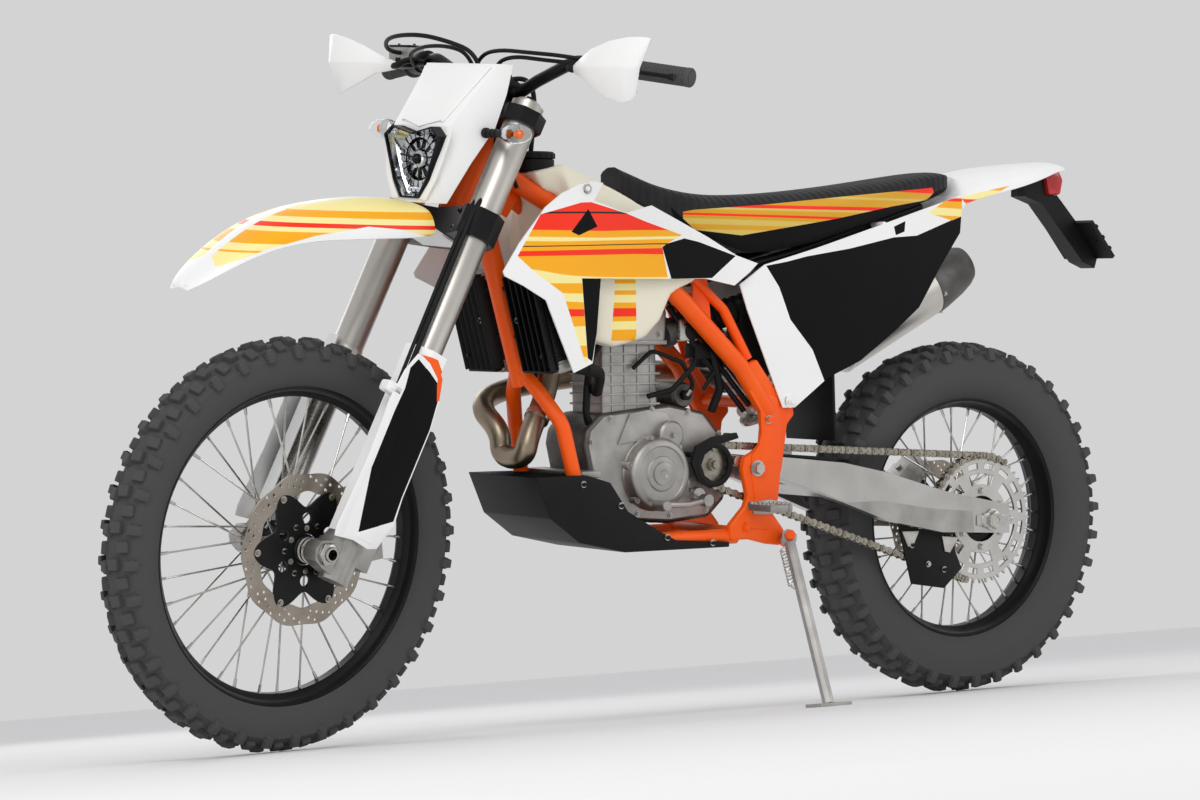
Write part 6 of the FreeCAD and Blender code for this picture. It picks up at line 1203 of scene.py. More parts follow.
def hang_radiators(scene):
    bm = bmesh.new()
    low, high = at(268, 0, 640), at(312, 0, 806)
    rise = (high - low).normalized()
    ahead = rise.cross(LEFT).normalized() * -1
    blades = scene.enduro_sizes.louvres
    for side in (1, -1):
        near, far = sorted((side * 44, side * 136))
        slab(bm, [(268, 640), (312, 806), (278, 815), (234, 649)], near + 2, far - 2, 2, 1)
        for k in range(24):
            spot = low + rise * (10 + 6.4 * k) - ahead * 17
            block(bm, spot + LEFT * side * 90, (36, 90, 1.6), 0, 1, axes=(ahead, LEFT, rise))
        for k in range(blades):
            y = side * (46 + k * 88 / (blades - 1))
            spot = (low + high) / 2 + ahead * 8 + LEFT * y
            slant = Quaternion(rise, radians(24 * side))
            block(bm, spot, (24, 3, 168), 0.8, 0, axes=(slant @ ahead, slant @ LEFT, rise))
        for z_share in (0.0, 1.0):
            spot = low + (high - low) * z_share + ahead * 8 + LEFT * side * 90
            block(bm, spot, (14, 92, 5), 1.5, 0, axes=(ahead, LEFT, rise))
        for x, z, size in ((249, 650, (40, 90, 26)), (293, 806, (38, 90, 18))):
            block(bm, at(x, side * 90, z) + ahead * 2, size, 7, 2, 3, axes=(ahead, LEFT, rise))
        bar(bm, (238, side * 118, 646), (196, side * 118, 640), 10, index=2)
        tubing(bm, [(200, side * 118, 641), (172, side * 116, 636), (158, side * 96, 622),
                    (146, side * 70, 600)], 11, 20, 0)
        bolts(bm, [(at(290, side * 60, 730) + ahead * 16, ahead, 5),
                   (at(276, side * 120, 668) + ahead * 16, ahead, 5)], 3)
        for share in (0.18, 0.42):
            root = at(262, 0, 635) + (at(362, 0, 985) - at(262, 0, 635)) * share
            bar(bm, root + LEFT * side * 17, root + LEFT * side * 46, 5, index=0)
    dressed(bm, "radiator_cores", "chassis", [BLACK, ANODISED, CAST, STEEL], ["radiators"])


SHROUD_OUTLINE = [(390, 810), (357, 858), (303, 920), (268, 945), (230, 961), (200, 967), (176, 965),
                  (198, 934), (125, 914), (68, 928), (-60, 874), (-128, 842), (-180, 828), (-160, 812),
                  (-122, 788), (-52, 800), (36, 799), (186, 799), (196, 706), (206, 652), (247, 636),
                  (277, 700), (304, 761), (350, 786), (387, 802)]
SHROUD_PLAN = [(400, 152), (260, 152), (120, 139.8), (0, 132.2), (-100, 123.1), (-200, 112.5)]
PANEL_PLAN = [(-100, 107), (-300, 117), (-500, 117), (-720, 105)]
LEFT_PANEL = [(-145, 790), (-200, 826), (-320, 858), (-540, 922), (-680, 962), (-676, 920), (-672, 890),
              (-620, 828), (-560, 748), (-500, 705), (-415, 650), (-336, 618), (-262, 566), (-236, 566),
              (-226, 588), (-160, 745)]
RIGHT_PANEL = [(-145, 790), (-200, 826), (-320, 858), (-540, 922), (-680, 962), (-700, 890), (-560, 800),
               (-420, 740), (-300, 730), (-200, 740)]


def mould_bodywork():
    bm = bowed_panel(SHROUD_OUTLINE, SHROUD_PLAN, 9, (630, 975), 3)
    field(bm, [(361, 836), (313, 908), (226, 930), (204, 931), (125, 913), (81, 899), (1, 877), (46, 856),
               (34, 797), (228, 798), (217, 655), (222, 652), (269, 773), (323, 806)], 1)
    field(bm, [(211, 919), (249, 879), (233, 873), (191, 889)], 2)
    field(bm, [(46, 855), (36, 861), (-5, 871), (-39, 865), (-126, 841), (-68, 801), (27, 799)], 2)
    field(bm, [(228, 799), (186, 799), (196, 706), (207, 655), (217, 661)], 2)
    spot = at(213, 0, 954)
    face = along_plan(SHROUD_PLAN, 213) - 7
    bar(bm, spot + LEFT * (face - 2), spot + LEFT * (face + 1.5), 9, 8, 24, 2)
    bolts(bm, [(spot + LEFT * (face + 1), LEFT, 4.5)], 3)
    for x, y, z in ((90, 114.3, 830), (270, 136.3, 790)):
        bar(bm, (x, y, z), (x, along_plan(SHROUD_PLAN, x) - 4, z), 5, index=0)
    mirrored(bm)
    dressed(bm, "tank_shrouds", "chassis", [WHITE, "shroud_film", AREA, STEEL],
            ["shrouds"], 25)

    bm = softened("fuel_tank", 0)
    bm = modified(bm, "REMESH", mode="VOXEL", voxel_size=5.0)
    for _ in range(10):
        bmesh.ops.smooth_vert(bm, verts=bm.verts, factor=0.5, use_axis_x=True, use_axis_y=True,
                              use_axis_z=True)
    field(bm, [(136, 799), (92, 799), (86, 690), (140, 690)], 1, 80, 0.4)
    dressed(bm, "moulded_tank", "chassis", ["translucent_polyethylene", "tank_film"],
            ["fuel_tank"], 60)

    bm = bmesh.new()
    seat_at = at(236, 0, 988.3)
    turned(bm, [(0, 40), (20, 40), (21, 36), (22, 41), (31, 41), (34, 38), (34, 30)], seat_at, UP, 64)
    for turn in around(18):
        way = at(cos(turn), sin(turn), 0)
        block(bm, seat_at + way * 40.2 + UP * 26.5, (3.4, 6, 9), 1, axes=(way, way.cross(UP) * -1, UP))
    turned(bm, [(0, 9), (8, 9), (9, 5), (15, 5)], seat_at + UP * 18 + AHEAD * 2, UP, 20)
    dressed(bm, "fuel_filler_cap", "chassis", [BLACK], ["fuel_cap"])

    seat()
    panels()
    rear()


def seat():
    """The padded seat: a crowned top, sides that pull in, and a welt between the two."""
    rings = []
    rows = ((66, 998, 950, 0.24, 0.34), (30, 984, 933, 0.34, 0.46), (0, 970, 915, 0.44, 0.58),
            (-60, 957, 889, 0.55, 0.76), (-120, 952, 864, 0.58, 0.82), (-180, 953, 843, 0.62, 0.88),
            (-250, 957, 853, 0.68, 0.94), (-320, 963, 866, 0.74, 1.0), (-420, 974, 895, 0.78, 1.0),
            (-520, 988, 925, 0.80, 1.0), (-600, 1000, 948, 0.72, 0.88), (-660, 1008, 968, 0.62, 0.74),
            (-688, 1002, 980, 0.44, 0.50))
    for x, top, low, half_top, half_low in rows:
        shoulder = top - (top - low) * 0.24
        half = [(half_top * 45, top + 1.5), (half_top * 92, top - 3),
                (half_top * 50 + half_low * 48, top - (top - shoulder) * 0.55), (half_low * 98, shoulder),
                (half_low * 95, (shoulder + low) / 2), (half_low * 99, low)]
        rings.append([at(x, y, z) for y, z in half] + [at(x, -y, z) for y, z in reversed(half)])
    bm = bmesh.new()
    loft(bm, rings)
    bm = smoothed(bm, 2, 75)
    field(bm, [(-44, 920), (-65, 924), (-221, 936), (-387, 953), (-618, 975), (-622, 966), (-599, 951),
               (-506, 937), (-373, 912), (-164, 879), (-66, 888), (-44, 908)], 1, 30, 0.2)
    field(bm, [(-20, 930), (-44, 908), (-66, 888), (-164, 879), (-373, 912), (-506, 937), (-599, 951),
               (-622, 966), (-690, 985), (-690, 940), (-480, 890), (-190, 830), (-40, 870)], 2, 30, 0.3)
    cushion = dressed(bm, "saddle", "chassis", ["ribbed_seat_vinyl", "seat_film", AREA],
                      ["seat"], 50)


def panels():
    """Left and right side panels with their black number areas."""
    for side, outline, name in ((1, LEFT_PANEL, "left"), (-1, RIGHT_PANEL, "right")):
        bm = bowed_panel(outline, PANEL_PLAN, 14, (550, 975), 3)
        if side == 1:
            field(bm, [(-203, 824), (-250, 832), (-295, 842), (-394, 857), (-501, 879), (-559, 883),
                       (-684, 925), (-700, 880), (-640, 815), (-582, 740), (-538, 700), (-416, 640),
                       (-336, 600), (-303, 671), (-254, 726), (-230, 786)], 1)
            field(bm, [(-502, 899), (-531, 910), (-528, 890), (-506, 883)], 1)
            field(bm, [(-590, 926), (-639, 952), (-730, 966), (-690, 925), (-651, 913)], 3)
            spot = at(-252, 0, 578)
            face = along_plan(PANEL_PLAN, -252)
            bar(bm, (-252, 108.3, 578), spot + LEFT * (face - 1), 9)
            bar(bm, spot + LEFT * (face - 2), spot + LEFT * (face + 2), 13, 12, 28, 0)
            bolts(bm, [(spot + LEFT * (face + 2), LEFT, 8)], 2)
        else:
            field(bm, [(-220, 800), (-400, 842), (-640, 905), (-690, 885), (-560, 805), (-420, 746),
                       (-300, 736), (-230, 744)], 1)
        bar(bm, (-480, 71, 903), (-480, along_plan(PANEL_PLAN, -480) - 12, 903), 5)
        if side == -1:
            bmesh.ops.scale(bm, vec=(1, -1, 1), verts=bm.verts)
        dressed(bm, name + "_side_panel", "chassis", [WHITE, AREA, STEEL, "tail_film"],
                ["side_panels"], 25)


def rear():
    """Rear fender, tail light and plate holder."""
    bm = bmesh.new()
    rows = ((-400, 870, 0.50, 0.24), (-600, 928, 0.50, 0.30), (-660, 950, 0.64, 0.40),
            (-694, 962, 0.80, 0.50), (-701, 1004, 0.76, 0.95), (-760, 1017, 0.70, 0.94),
            (-830, 1025, 0.63, 0.84), (-900, 1031, 0.56, 0.66), (-950, 1035, 0.47, 0.46),
            (-980, 1035, 0.40, 0.30), (-998, 1029, 0.34, 0.20))
    loft(bm, [fender_ring(at(x, 0, z), half * 100, drop * 60) for x, z, half, drop in rows])
    bm = smoothed(bm, 2, 60)
    field(bm, [(-695, 958), (-740, 968), (-830, 984), (-760, 955), (-712, 934)], 1, 20, 0.2)
    dressed(bm, "rear_fender_blade", "chassis", [WHITE, "tail_film"], ["rear_fender"], 40)
    bm = softened("tail_light", 5, 4)
    dressed(bm, "tail_lamp", "chassis", ["red_polycarbonate"], ["tail_light"])
    bm = softened("plate_holder", 2.5, 2)
    for z in (0.2, 0.5, 0.8):
        x0, z0 = -1040 - 60 * z, 920 - 70 * z
        slab(bm, [(x0, z0 + 3), (x0 - 5, z0 - 2), (x0 - 8, z0 + 2), (x0 - 3, z0 + 7)], -66, 66, 1)
    dressed(bm, "plate_bracket", "chassis", [BLACK], ["plate_holder"])


def fender_ring(place, half, drop):
    """A fender's cross-section: a raised spine, two flat falls and a turned-down edge."""
    shares = ((1.0, 1.0), (0.97, 0.72), (0.84, 0.30), (0.5, 0.10), (0.16, 0.02), (0.0, 0.0))
    outer = ([place + at(0, y * half, -z * drop) for y, z in shares]
             + [place + at(0, -y * half, -z * drop) for y, z in reversed(shares[:-1])])
    inner = []
    for y, z in shares:
        inner.append(place + at(0, y * half * 0.955, -z * drop - 4 + 3 * (z > 0.9)))
    inner += [at(p.x, -p.y, p.z) for p in reversed(inner[:-1])]
    return outer + list(reversed(inner))


def fit_underside():
    bm = softened("skid_plate", 7, 4, 30)
    for x, z in ((120, 400), (200, 440), (-80, 326), (20, 340)):
        bolts(bm, [((x, 110, z), LEFT, 6), ((x, -110, z), -LEFT, 6)], 1)
    dressed(bm, "skid_shell", "chassis", [BLACK, STEEL], ["skid_plate"])

    bm = bmesh.new()
    for side in (1, -1):
        place = at(-176, side * 108.5, 388)
        bar(bm, place, place + LEFT * side * 18, 9)
        for low, high in ((-25, -17), (17, 25)):
            block(bm, place + at((low + high) / 2, side * 46, 0), (8, 68, 12), 1.5)
        for k in range(5):
            block(bm, place + at(0, side * (16 + 15 * k), 0), (44, 5, 11), 1)
        for k in range(6):
            for x in (-21, 21):
                turned(bm, [(0, 4), (5, 1.6)], place + at(x, side * (18 + 12 * k), 5.5), UP, 8)
        slab(bm, [(-158, 396), (-206, 400), (-250, 392), (-253, 381), (-206, 372), (-170, 374)],
             side * 108.5, side * 116, 2)
    knee = at(-75, 98, 402)
    bar(bm, (-75, 62, 402), knee + LEFT * 7, 7)
    bar(bm, (-75, 88, 402), (-75, 106, 402), 11)
    tubing(bm, [knee, (-30, 104, 396), (42, 113, 398)], 5.5, 30)
    turned(bm, [(-8, 8), (-7, 9)] + [(4 * k, 9.2 if k % 2 else 8.2) for k in range(8)] + [(30, 8)],
           (42, 113, 398), LEFT, 24)
    path = [at(-176, -128, 362), at(-110, -128, 352), at(-20, -128, 392)]
    bar(bm, (-176, -108.3, 362), path[0] - LEFT * 7, 9)
    tubing(bm, path, 7, 40)
    block(bm, (-20, -143, 396), (26, 32, 12), 2)
    for k in range(4):
        turned(bm, [(0, 3), (3, 1.5)], (-28 + 6 * k, -143, 401), UP, 8)
    dressed(bm, "pegs_and_pedals", "chassis", [CAST], ["foot_controls"])

    bm = softened("chain_guards", 1.2, 2)
    for x, z in ((-560, 300), (-640, 250), (-600, 262)):
        bolts(bm, [((x, 91.8, z), LEFT, 6)], 1)
    for tab in ([(-534, 327), (-576, 326), (-561, 297), (-549, 297)],
                [(-633, 314), (-674, 310), (-652, 281), (-640, 284)]):
        slab(bm, tab, 91, 95, 1.2, 1)
    lathe(bm, [(88.8, 30), (88.8, 41), (95, 40), (96, 36), (95, 31)], (-96, 0, 465), LEFT, 48)
    dressed(bm, "chain_guard_set", "chassis", [BLACK, STEEL], ["chain_guards"])

    for node, name, body, centre, line, radius, angle in (
            ("front_caliper", "front_brake_caliper", "steering", FRONT_AXLE, DISC_LINE, 130, 172),
            ("rear_caliper", "rear_brake_caliper", "chassis", REAR_AXLE, -DISC_LINE, 110, 48)):
        bm = softened(node, 4, 3)
        out = ray(radians(angle), 1)
        side = 1 if line > 0 else -1
        for off in (-20, 20):
            spot = centre + out * (radius - 6) + out.cross(LEFT) * off + LEFT * (line + side * 19)
            turned(bm, [(0, 14), (3, 14), (5, 12)], spot, LEFT * side, 28)
        spot = centre + out * (radius + 16) + LEFT * line
        tubing(bm, [spot - out * 4, spot + out * 6], 6, 0, 0)
        dressed(bm, name, body, [CAST], [node])

    bm = softened("side_stand", 2.5, 3)
    pivot, foot = STAND_PIVOT, at(-199, 296, 42.6)
    down = (foot - pivot).normalized()
    aside = down.cross(AHEAD).normalized()
    helix = []
    for k in range(12 * 10 + 1):
        turn = 2 * pi * k / 10
        helix.append(pivot + down * (24 + 0.62 * k) + AHEAD * 20
                     + (AHEAD * cos(turn) + aside * sin(turn)) * 5)
    tubing(bm, helix, 1.3, 0, 1, 1)
    bar(bm, pivot + AHEAD * 6 + down * 12, helix[0] - AHEAD * 3, 1.6, sides=8, index=1)
    bar(bm, helix[-1] - AHEAD * 5, pivot + down * 108 + AHEAD * 8, 1.6, sides=8, index=1)
    dressed(bm, "side_stand_leg", "side_stand", [CAST, STEEL], ["side_stand"])


# Steered pieces

def stand_fork():
    bm = softened("triple_clamps", 7.0, 4)
    for side in (1, -1):
        for up in (606, 638, 828):
            bolts(bm, [(fork(-12, side * 80, up), (FORK_AHEAD - LEFT * side * 0.4), 5.5)], 1)
        for off in (-14, 14):
            bolts(bm, [(fork(-52 + off, side * 32, 907), FORK_UP, 5)], 1)
    turned(bm, [(0, 17), (7, 17), (9, 14)], fork(STEM_AHEAD, 0, 842), FORK_UP, 6, 1)
    dressed(bm, "triple_clamp_pair", "steering", [ANODISED, STEEL], ["triple_clamps"])

    bm = bmesh.new()
    for side in (1, -1):
        low = fork(LEG_AHEAD, side * LEG_Y, 364)
        lathe(bm, [(0, 24.4), (0, 29), (10, 29.2), (14, 28.4), (16, 27.6), (225, 27.8), (231, 28.9),
                   (287, 28.9), (290, 28.2), (440, 28.4), (492, 28.8), (492, 21), (497, 21), (499, 19),
                   (499, 0), (300, 0)], low, FORK_UP, 72, 0, False)
        lathe(bm, [(-9, 24.4), (-9, 27.5), (-6, 30), (-1, 30), (0, 28), (0, 24.4)], low, FORK_UP, 48, 1)
        turned(bm, [(0, 10), (3, 10), (4, 8), (7, 8)], low + FORK_UP * 499, FORK_UP, 24, 2)
    dressed(bm, "fork_upper_tubes", "steering", ["fork_tube_aluminium", BLACK, ANODISED],
            ["fork_tubes"])

    bm = softened("fork_lowers", 3.0, 3)
    for side in (1, -1):
        lathe(bm, [(70, 22), (70, 27), (78, 27), (82, 24.2), (430, 24.2), (430, 22)],
              fork(LEG_AHEAD, side * LEG_Y, 0), FORK_UP, 56, 1)
        for up in (-17, 17):
            bolts(bm, [(fork(-62, side * 105, up - 12), -FORK_AHEAD + FORK_UP * -0.3, 5)], 1)
    dressed(bm, "fork_legs", "steering", [CAST, STEEL], ["fork_lowers"])

    bm = softened("fork_guards", 1.0, 2)
    for side in (1, -1):
        outline = [(11, 333), (4, 352), (-2, 368), (-44, 374), (-70, 352), (-82, 314), (-88, 266),
                   (-88, 140), (-93, 94), (-78, 44), (-60, 36), (-25, 38), (14, 30), (18, 47), (13, 158),
                   (15, 240), (18, 275)]
        plate(bm, [fork(a, side * 138, up) for a, up in outline], LEFT * side * 3, 1.2)
    black = ((3, 340), (-6, 360), (-39, 350), (-69, 338), (-78, 314), (-85, 266), (-85, 140), (-88, 98),
             (-28, 54), (-2, 159), (-1, 263), (-3, 305))
    field(bm, side_pairs(black), 1, 118, 0.4)
    strip = ((-2, 370), (-30, 364), (-58, 348), (-76, 314), (-84, 318), (-72, 354), (-44, 376))
    field(bm, side_pairs(strip), 2, 118, 0.3)
    for side in (1, -1):
        block(bm, fork(14, side * 128, 296), (34, 26, 20), 5, axes=(FORK_AHEAD, LEFT, FORK_UP))
        bolts(bm, [(fork(20, side * 141, 296), LEFT * side, 4)], 3)
    dressed(bm, "fork_leg_guards", "steering", [WHITE, AREA, "orange_powder_coat", STEEL],
            ["fork_guards"], 25)

    bm = bmesh.new()
    lathe(bm, [(-138, 9.2), (-138, 12), (-136, 13), (136, 13), (138, 12), (138, 9.2)], FRONT_AXLE, LEFT, 40)
    lathe(bm, [(67, 17.2), (67, 22), (71, 22), (72, 20), (75, 20), (76, 22), (81, 22), (82, 20), (84, 20),
               (84, 17.2)], FRONT_AXLE, LEFT, 48)
    lathe(bm, [(121.5, 13), (121.5, 19), (123, 20.5), (130, 20.5), (132, 18), (133, 13)], FRONT_AXLE, LEFT,
          6)
    dressed(bm, "front_spindle", "steering", [STEEL], ["front_axle"])

    bm = bmesh.new()
    for off in (0, 12):
        tubing(bm, [fork(-40, 96 + off, 700), fork(-14, 104 + off, 660), fork(-6, 112 + off, 600),
                    fork(-6, 114 + off, 420), fork(-6, 116 + off, 316), fork(-6, 122 + off * 0.6, 220),
                    fork(-20, 126, 120), fork(-60, 112 + off * 0.3, 60), fork(-86, 84, 30)], 4.6, 40, 0, 5,
               "NURBS")
    dressed(bm, "brake_hoses", "steering", [BLACK])


def mask_front(z):
    """How far ahead the mask's front face stands at a height."""
    rows = ((930, 497), (1000, 490), (1062, 480), (1120, 434), (1171, 396))
    for (low, here), (high, there) in zip(rows, rows[1:]):
        if z <= high:
            break
    return here + (there - here) * (z - low) / (high - low)


def mould_front():
    foot = fork(STEM_AHEAD, 0, 596)
    rows = ((0.130, 0.36, 0.60, 0.30), (0.144, 0.70, 0.90, 0.70), (0.20, 0.75, 0.92, 0.86),
            (0.300, 0.79, 0.95, 0.94), (0.400, 0.78, 0.98, 0.94), (0.520, 0.73, 1.0, 0.90),
            (0.660, 0.62, 1.0, 0.78), (0.790, 0.40, 0.96, 0.62), (0.905, 0.06, 0.86, 0.42),
            (1.010, -0.34, 0.68, 0.26), (1.060, -0.56, 0.50, 0.18), (1.090, -0.70, 0.32, 0.12))
    bm = bmesh.new()
    loft(bm, [fender_ring(foot + at(500 * a, 0, 100 * rise), half * 80, drop * 72)
              for a, rise, half, drop in rows])
    bm = smoothed(bm, 2, 60)
    x0, z0 = foot.x, foot.z
    field(bm, [(x0 + 62, z0 + 76), (x0 + 62, z0 + 10), (x0 + 150, z0 + 26), (x0 + 220, z0 + 30),
               (x0 + 330, z0 + 14), (x0 + 420, z0 - 8), (x0 + 505, z0 - 40), (x0 + 470, z0 + 2),
               (x0 + 420, z0 + 38), (x0 + 330, z0 + 66), (x0 + 260, z0 + 77), (x0 + 150, z0 + 80)], 1, 13,
          0.0)
    corners = [fork(STEM_AHEAD + a, y, 591.7) for a, y in ((-5, -52), (100, -52), (100, 52), (-5, 52))]
    plate(bm, corners, FORK_UP * 4, 0)
    dressed(bm, "front_fender_blade", "steering", [WHITE, "fender_film"],
            ["front_fender"], 40)

    bm = softened("headlight_mask", 2.0, 3, 12)

    def raised(outline, proud, depth):
        """A plate on the mask's face, from (y, z) pairs."""
        corners = [at(mask_front(z) + proud, y, z) for y, z in outline]
        plate(bm, corners, AHEAD * -depth, min(2.0, depth / 3), 0, 3)

    raised([(-89, 1166), (-70, 1116), (-56, 1068), (-50, 1071), (0, 1059), (50, 1071), (56, 1068),
            (70, 1116), (89, 1166), (44, 1169), (-44, 1169)], 3.2, 6)
    for side in (1, -1):
        raised([(side * y, z) for y, z in
                ((88, 1066), (79, 1046), (50, 966), (29, 936), (46, 934), (68, 974), (86, 1034))], 2.6, 5)
    dressed(bm, "number_mask", "steering", [WHITE], ["headlight_mask"], 22)

    lens = [(0, 1048), (54, 1060), (74, 1044), (46, 970), (24, 937), (-24, 937), (-46, 970), (-74, 1044),
            (-54, 1060)]
    bm = bmesh.new()

    def ring(x, share):
        """The lens outline at a distance ahead, drawn in by a share."""
        return [at(x, y * share, LAMP_HEIGHT + (z - LAMP_HEIGHT) * share) for y, z in lens]

    loft(bm, [ring(499, 1.0), ring(499, 0.95), ring(492, 0.95), ring(492, 1.0)], 2, False)
    loft(bm, [ring(468, 1.0), ring(499, 1.0)], 2, False)
    loft(bm, [ring(492, 0.95), ring(482, 0.9), ring(468, 0.74), ring(466, 0.12)], 0, False)
    # Eleven black strips between the bowl's chrome facets: painted dark reflections in the reflector
    for turn in around(11, 0.25):
        way = at(0, cos(turn), sin(turn))
        block(bm, at(473, 0, 1004) + way * 36, (34, 2.4, 12), 0.6, 2, axes=(way, way.cross(AHEAD), AHEAD))
    for turn in around(22):
        way = at(0, cos(turn), sin(turn))
        for reach, ahead, long in ((26, 472, 14), (43, 476, 12)):
            block(bm, at(ahead, 0, 1004) + way * reach, (long, 4.4 + reach / 8, 6), 1, 0,
                  axes=(way, way.cross(AHEAD), AHEAD))
    turned(bm, [(0, 17), (9, 17), (13, 15), (15, 12)], (468, 0, 1004), AHEAD, 32, 0)
    turned(bm, [(0, 10), (14, 9), (20, 4)], (472, 0, 1004), AHEAD, 32, 2)
    for y in (-12, 0, 12):
        turned(bm, [(0, 4.5), (8, 4.5)], (480, y, 952), AHEAD, 16, 0)
    dressed(bm, "lamp_reflector", "steering",
            ["chromed_reflector", "clear_polycarbonate", ANODISED], ["headlight"], 12)
    bm = bmesh.new()
    loft(bm, [ring(494, 0.94), ring(497, 0.94)])
    dressed(bm, "lamp_lens", "steering", ["clear_polycarbonate"], [], 12)

    bm = bmesh.new()
    for side in (1, -1):
        root = at(SIGNAL_AHEAD, side * 96.5, SIGNAL_HEIGHT)
        lathe(bm, [(0, 0), (0, 9), (6, 9), (8, 6.5)] + [(14 + 5 * k, 8 if k % 2 else 6.3) for k in range(5)]
              + [(40, 7), (48, 9), (56, 10), (56, 0)], root, LEFT * side, 24, 0, False)
        lathe(bm, [(0, 0), (0, 10), (4, 13.5), (12, 16), (22, 17.4), (22, 0)],
              (SIGNAL_AHEAD, side * 150, SIGNAL_HEIGHT), LEFT * side, 32, 3, False)
        turned(bm, [(0, 3), (6, 7), (16, 7), (21, 3)], (SIGNAL_AHEAD, side * 174, SIGNAL_HEIGHT),
               LEFT * side, 20, 2)
    dressed(bm, "signal_stalks", "steering",
            [BLACK, "clear_polycarbonate", "amber_bulb", "chromed_reflector"], ["turn_signals"])
    bm = bmesh.new()
    for side in (1, -1):
        turned(bm, [(0, 17.4), (12, 17), (24, 15), (34, 11.5), (41, 7), (44, 2)],
               (SIGNAL_AHEAD, side * 172, SIGNAL_HEIGHT), LEFT * side, 32, 0)
    dressed(bm, "signal_lenses", "steering", ["clear_polycarbonate"])


def fit_controls():
    centre = fork(BAR_CENTRE_AHEAD, 0, BAR_CENTRE_UP)
    half_bar = [centre + at(dx, y, dz) for dx, y, dz in
                ((0, 52.65, 0), (-6, 97.2, 24), (-13.2, 186.3, 60), (-78, 405, 37.2))]
    bm = bmesh.new()
    path = [at(p.x, -p.y, p.z) for p in reversed(half_bar)] + half_bar
    tubing(bm, path, 11, 60, 0, 5)
    lathe(bm, [(-60, 11), (-48, 14), (48, 14), (60, 11)], centre, LEFT, 32)
    dressed(bm, "bent_handlebar", "steering", [ANODISED], ["handlebar"])

    bend, end = half_bar[-2], half_bar[-1]
    out = (end - bend).normalized()
    bm = bmesh.new()
    start = end - out * 122
    rows = [(0, 11.3), (0, 23), (1.5, 24), (4, 24), (5.5, 20), (9, 16)]
    for k in range(17):
        rows += [(11 + 6 * k, 16.2), (13.6 + 6 * k, 16.2), (14 + 6 * k, 15.1), (16.6 + 6 * k, 15.1)]
    rows += [(114, 16.6), (120, 16.6), (122, 15), (122, 11.3)]
    lathe(bm, rows, start, out, 40)
    mirrored(bm)
    turned(bm, [(-6, 11), (1, 12), (2, 8)], end, out, 24)
    turned(bm, [(-6, 11), (1, 12), (2, 8)], (end.x, -end.y, end.z), at(out.x, -out.y, out.z), 24)
    dressed(bm, "ribbed_grips", "steering", ["grip_rubber"], ["grips"])

    bm = bmesh.new()
    perch = end - out * 161
    lathe(bm, [(0, 11.3), (0, 18), (2, 20), (32, 20), (34, 18), (34, 11.3)], perch, out, 32)
    middle = perch + out * 17
    across = out.cross(UP).normalized()
    block(bm, middle + AHEAD * 28 - UP * 2, (34, 36, 18), 4, axes=(out, across, out.cross(across)))
    pivot = middle + AHEAD * 44
    tip = pivot + out * 150 + AHEAD * 9
    bar(bm, pivot - UP * 8, pivot + UP * 8, 9)
    tubing(bm, [pivot - out * 9, pivot + out * 20 - AHEAD * 2, pivot + out * 70 + AHEAD * 8, tip], 4.4, 60,
           1)
    turned(bm, [(-6, 6), (0, 7), (6, 6)], tip, out, 20, 1)
    bolts(bm, [(middle + AHEAD * 12 + UP * 12, UP, 4), (pivot + UP * 8, UP, 6)], 2)
    mirrored(bm)
    right = at(middle.x, -middle.y, middle.z)
    block(bm, right + AHEAD * 30 + UP * 14, (38, 58, 28), 4, 3)
    block(bm, right + AHEAD * 30 + UP * 29, (38, 58, 4), 1.5, 0)
    bolts(bm, [(right + AHEAD * 30 + UP * 31 + LEFT * off, UP, 3.5) for off in (-22, 22)], 2)
    bar(bm, right + AHEAD * 30 + LEFT * 34, right + AHEAD * 30 + LEFT * 60, 7, index=3)
    left_block = perch - out * 26
    block(bm, left_block + AHEAD * 6, (26, 34, 34), 5, axes=(out, across, out.cross(across)))
    turned(bm, [(0, 6), (6, 6), (8, 4)], left_block - AHEAD * 12 + UP * 6, -AHEAD, 20, 4)
    dressed(bm, "levers_and_perches", "steering",
            [ANODISED, ANODISED, STEEL, CAST, "orange_powder_coat"], ["hand_controls"])

    bm = bmesh.new()
    rows = (((240, -20, 3), (239, -18, -4), (240, -20, -11)),
            ((276, -6, 17), (274, -1, 0), (277, -6, -19)), ((306, 1, 30), (304, 8, 0), (308, 1, -34)),
            ((350, 4, 43), (348, 13, 0), (350, 2, -50)), ((392, 0, 50), (386, 11, 0), (380, -4, -59)),
            ((416, -8, 51), (404, 4, 0), (392, -12, -54)), ((430, -17, 49), (414, -4, 0), (398, -17, -44)))
    rings = []
    for row in rows:
        front = [at(bend.x + 74 + ahead, y, bend.z - 12 + rise) for y, ahead, rise in row]
        rings.append(front + [point - AHEAD * 5 for point in reversed(front)])
    loft(bm, rings)
    eased(bm, 2.0, 2, 25)
    stay = rings[0][1] - AHEAD * 4
    clip = end - out * 180 + AHEAD * 12
    tubing(bm, [clip, clip + AHEAD * 34 + out * 4, stay - out * 14 + AHEAD * 2,
                stay + out * 26 + AHEAD * 3], 6, 60, 1)
    lathe(bm, [(-9, 11.3), (-9, 17), (-7, 19), (7, 19), (9, 17), (9, 11.3)], end - out * 180, out, 24, 1)
    bolts(bm, [(clip + AHEAD * 6, AHEAD, 5), (rings[1][1] + out * 10 - AHEAD * 1, AHEAD, 6)], 2)
    mirrored(bm)
    dressed(bm, "hand_shields", "steering", [WHITE, BLACK, STEEL], ["handguards"], 25)

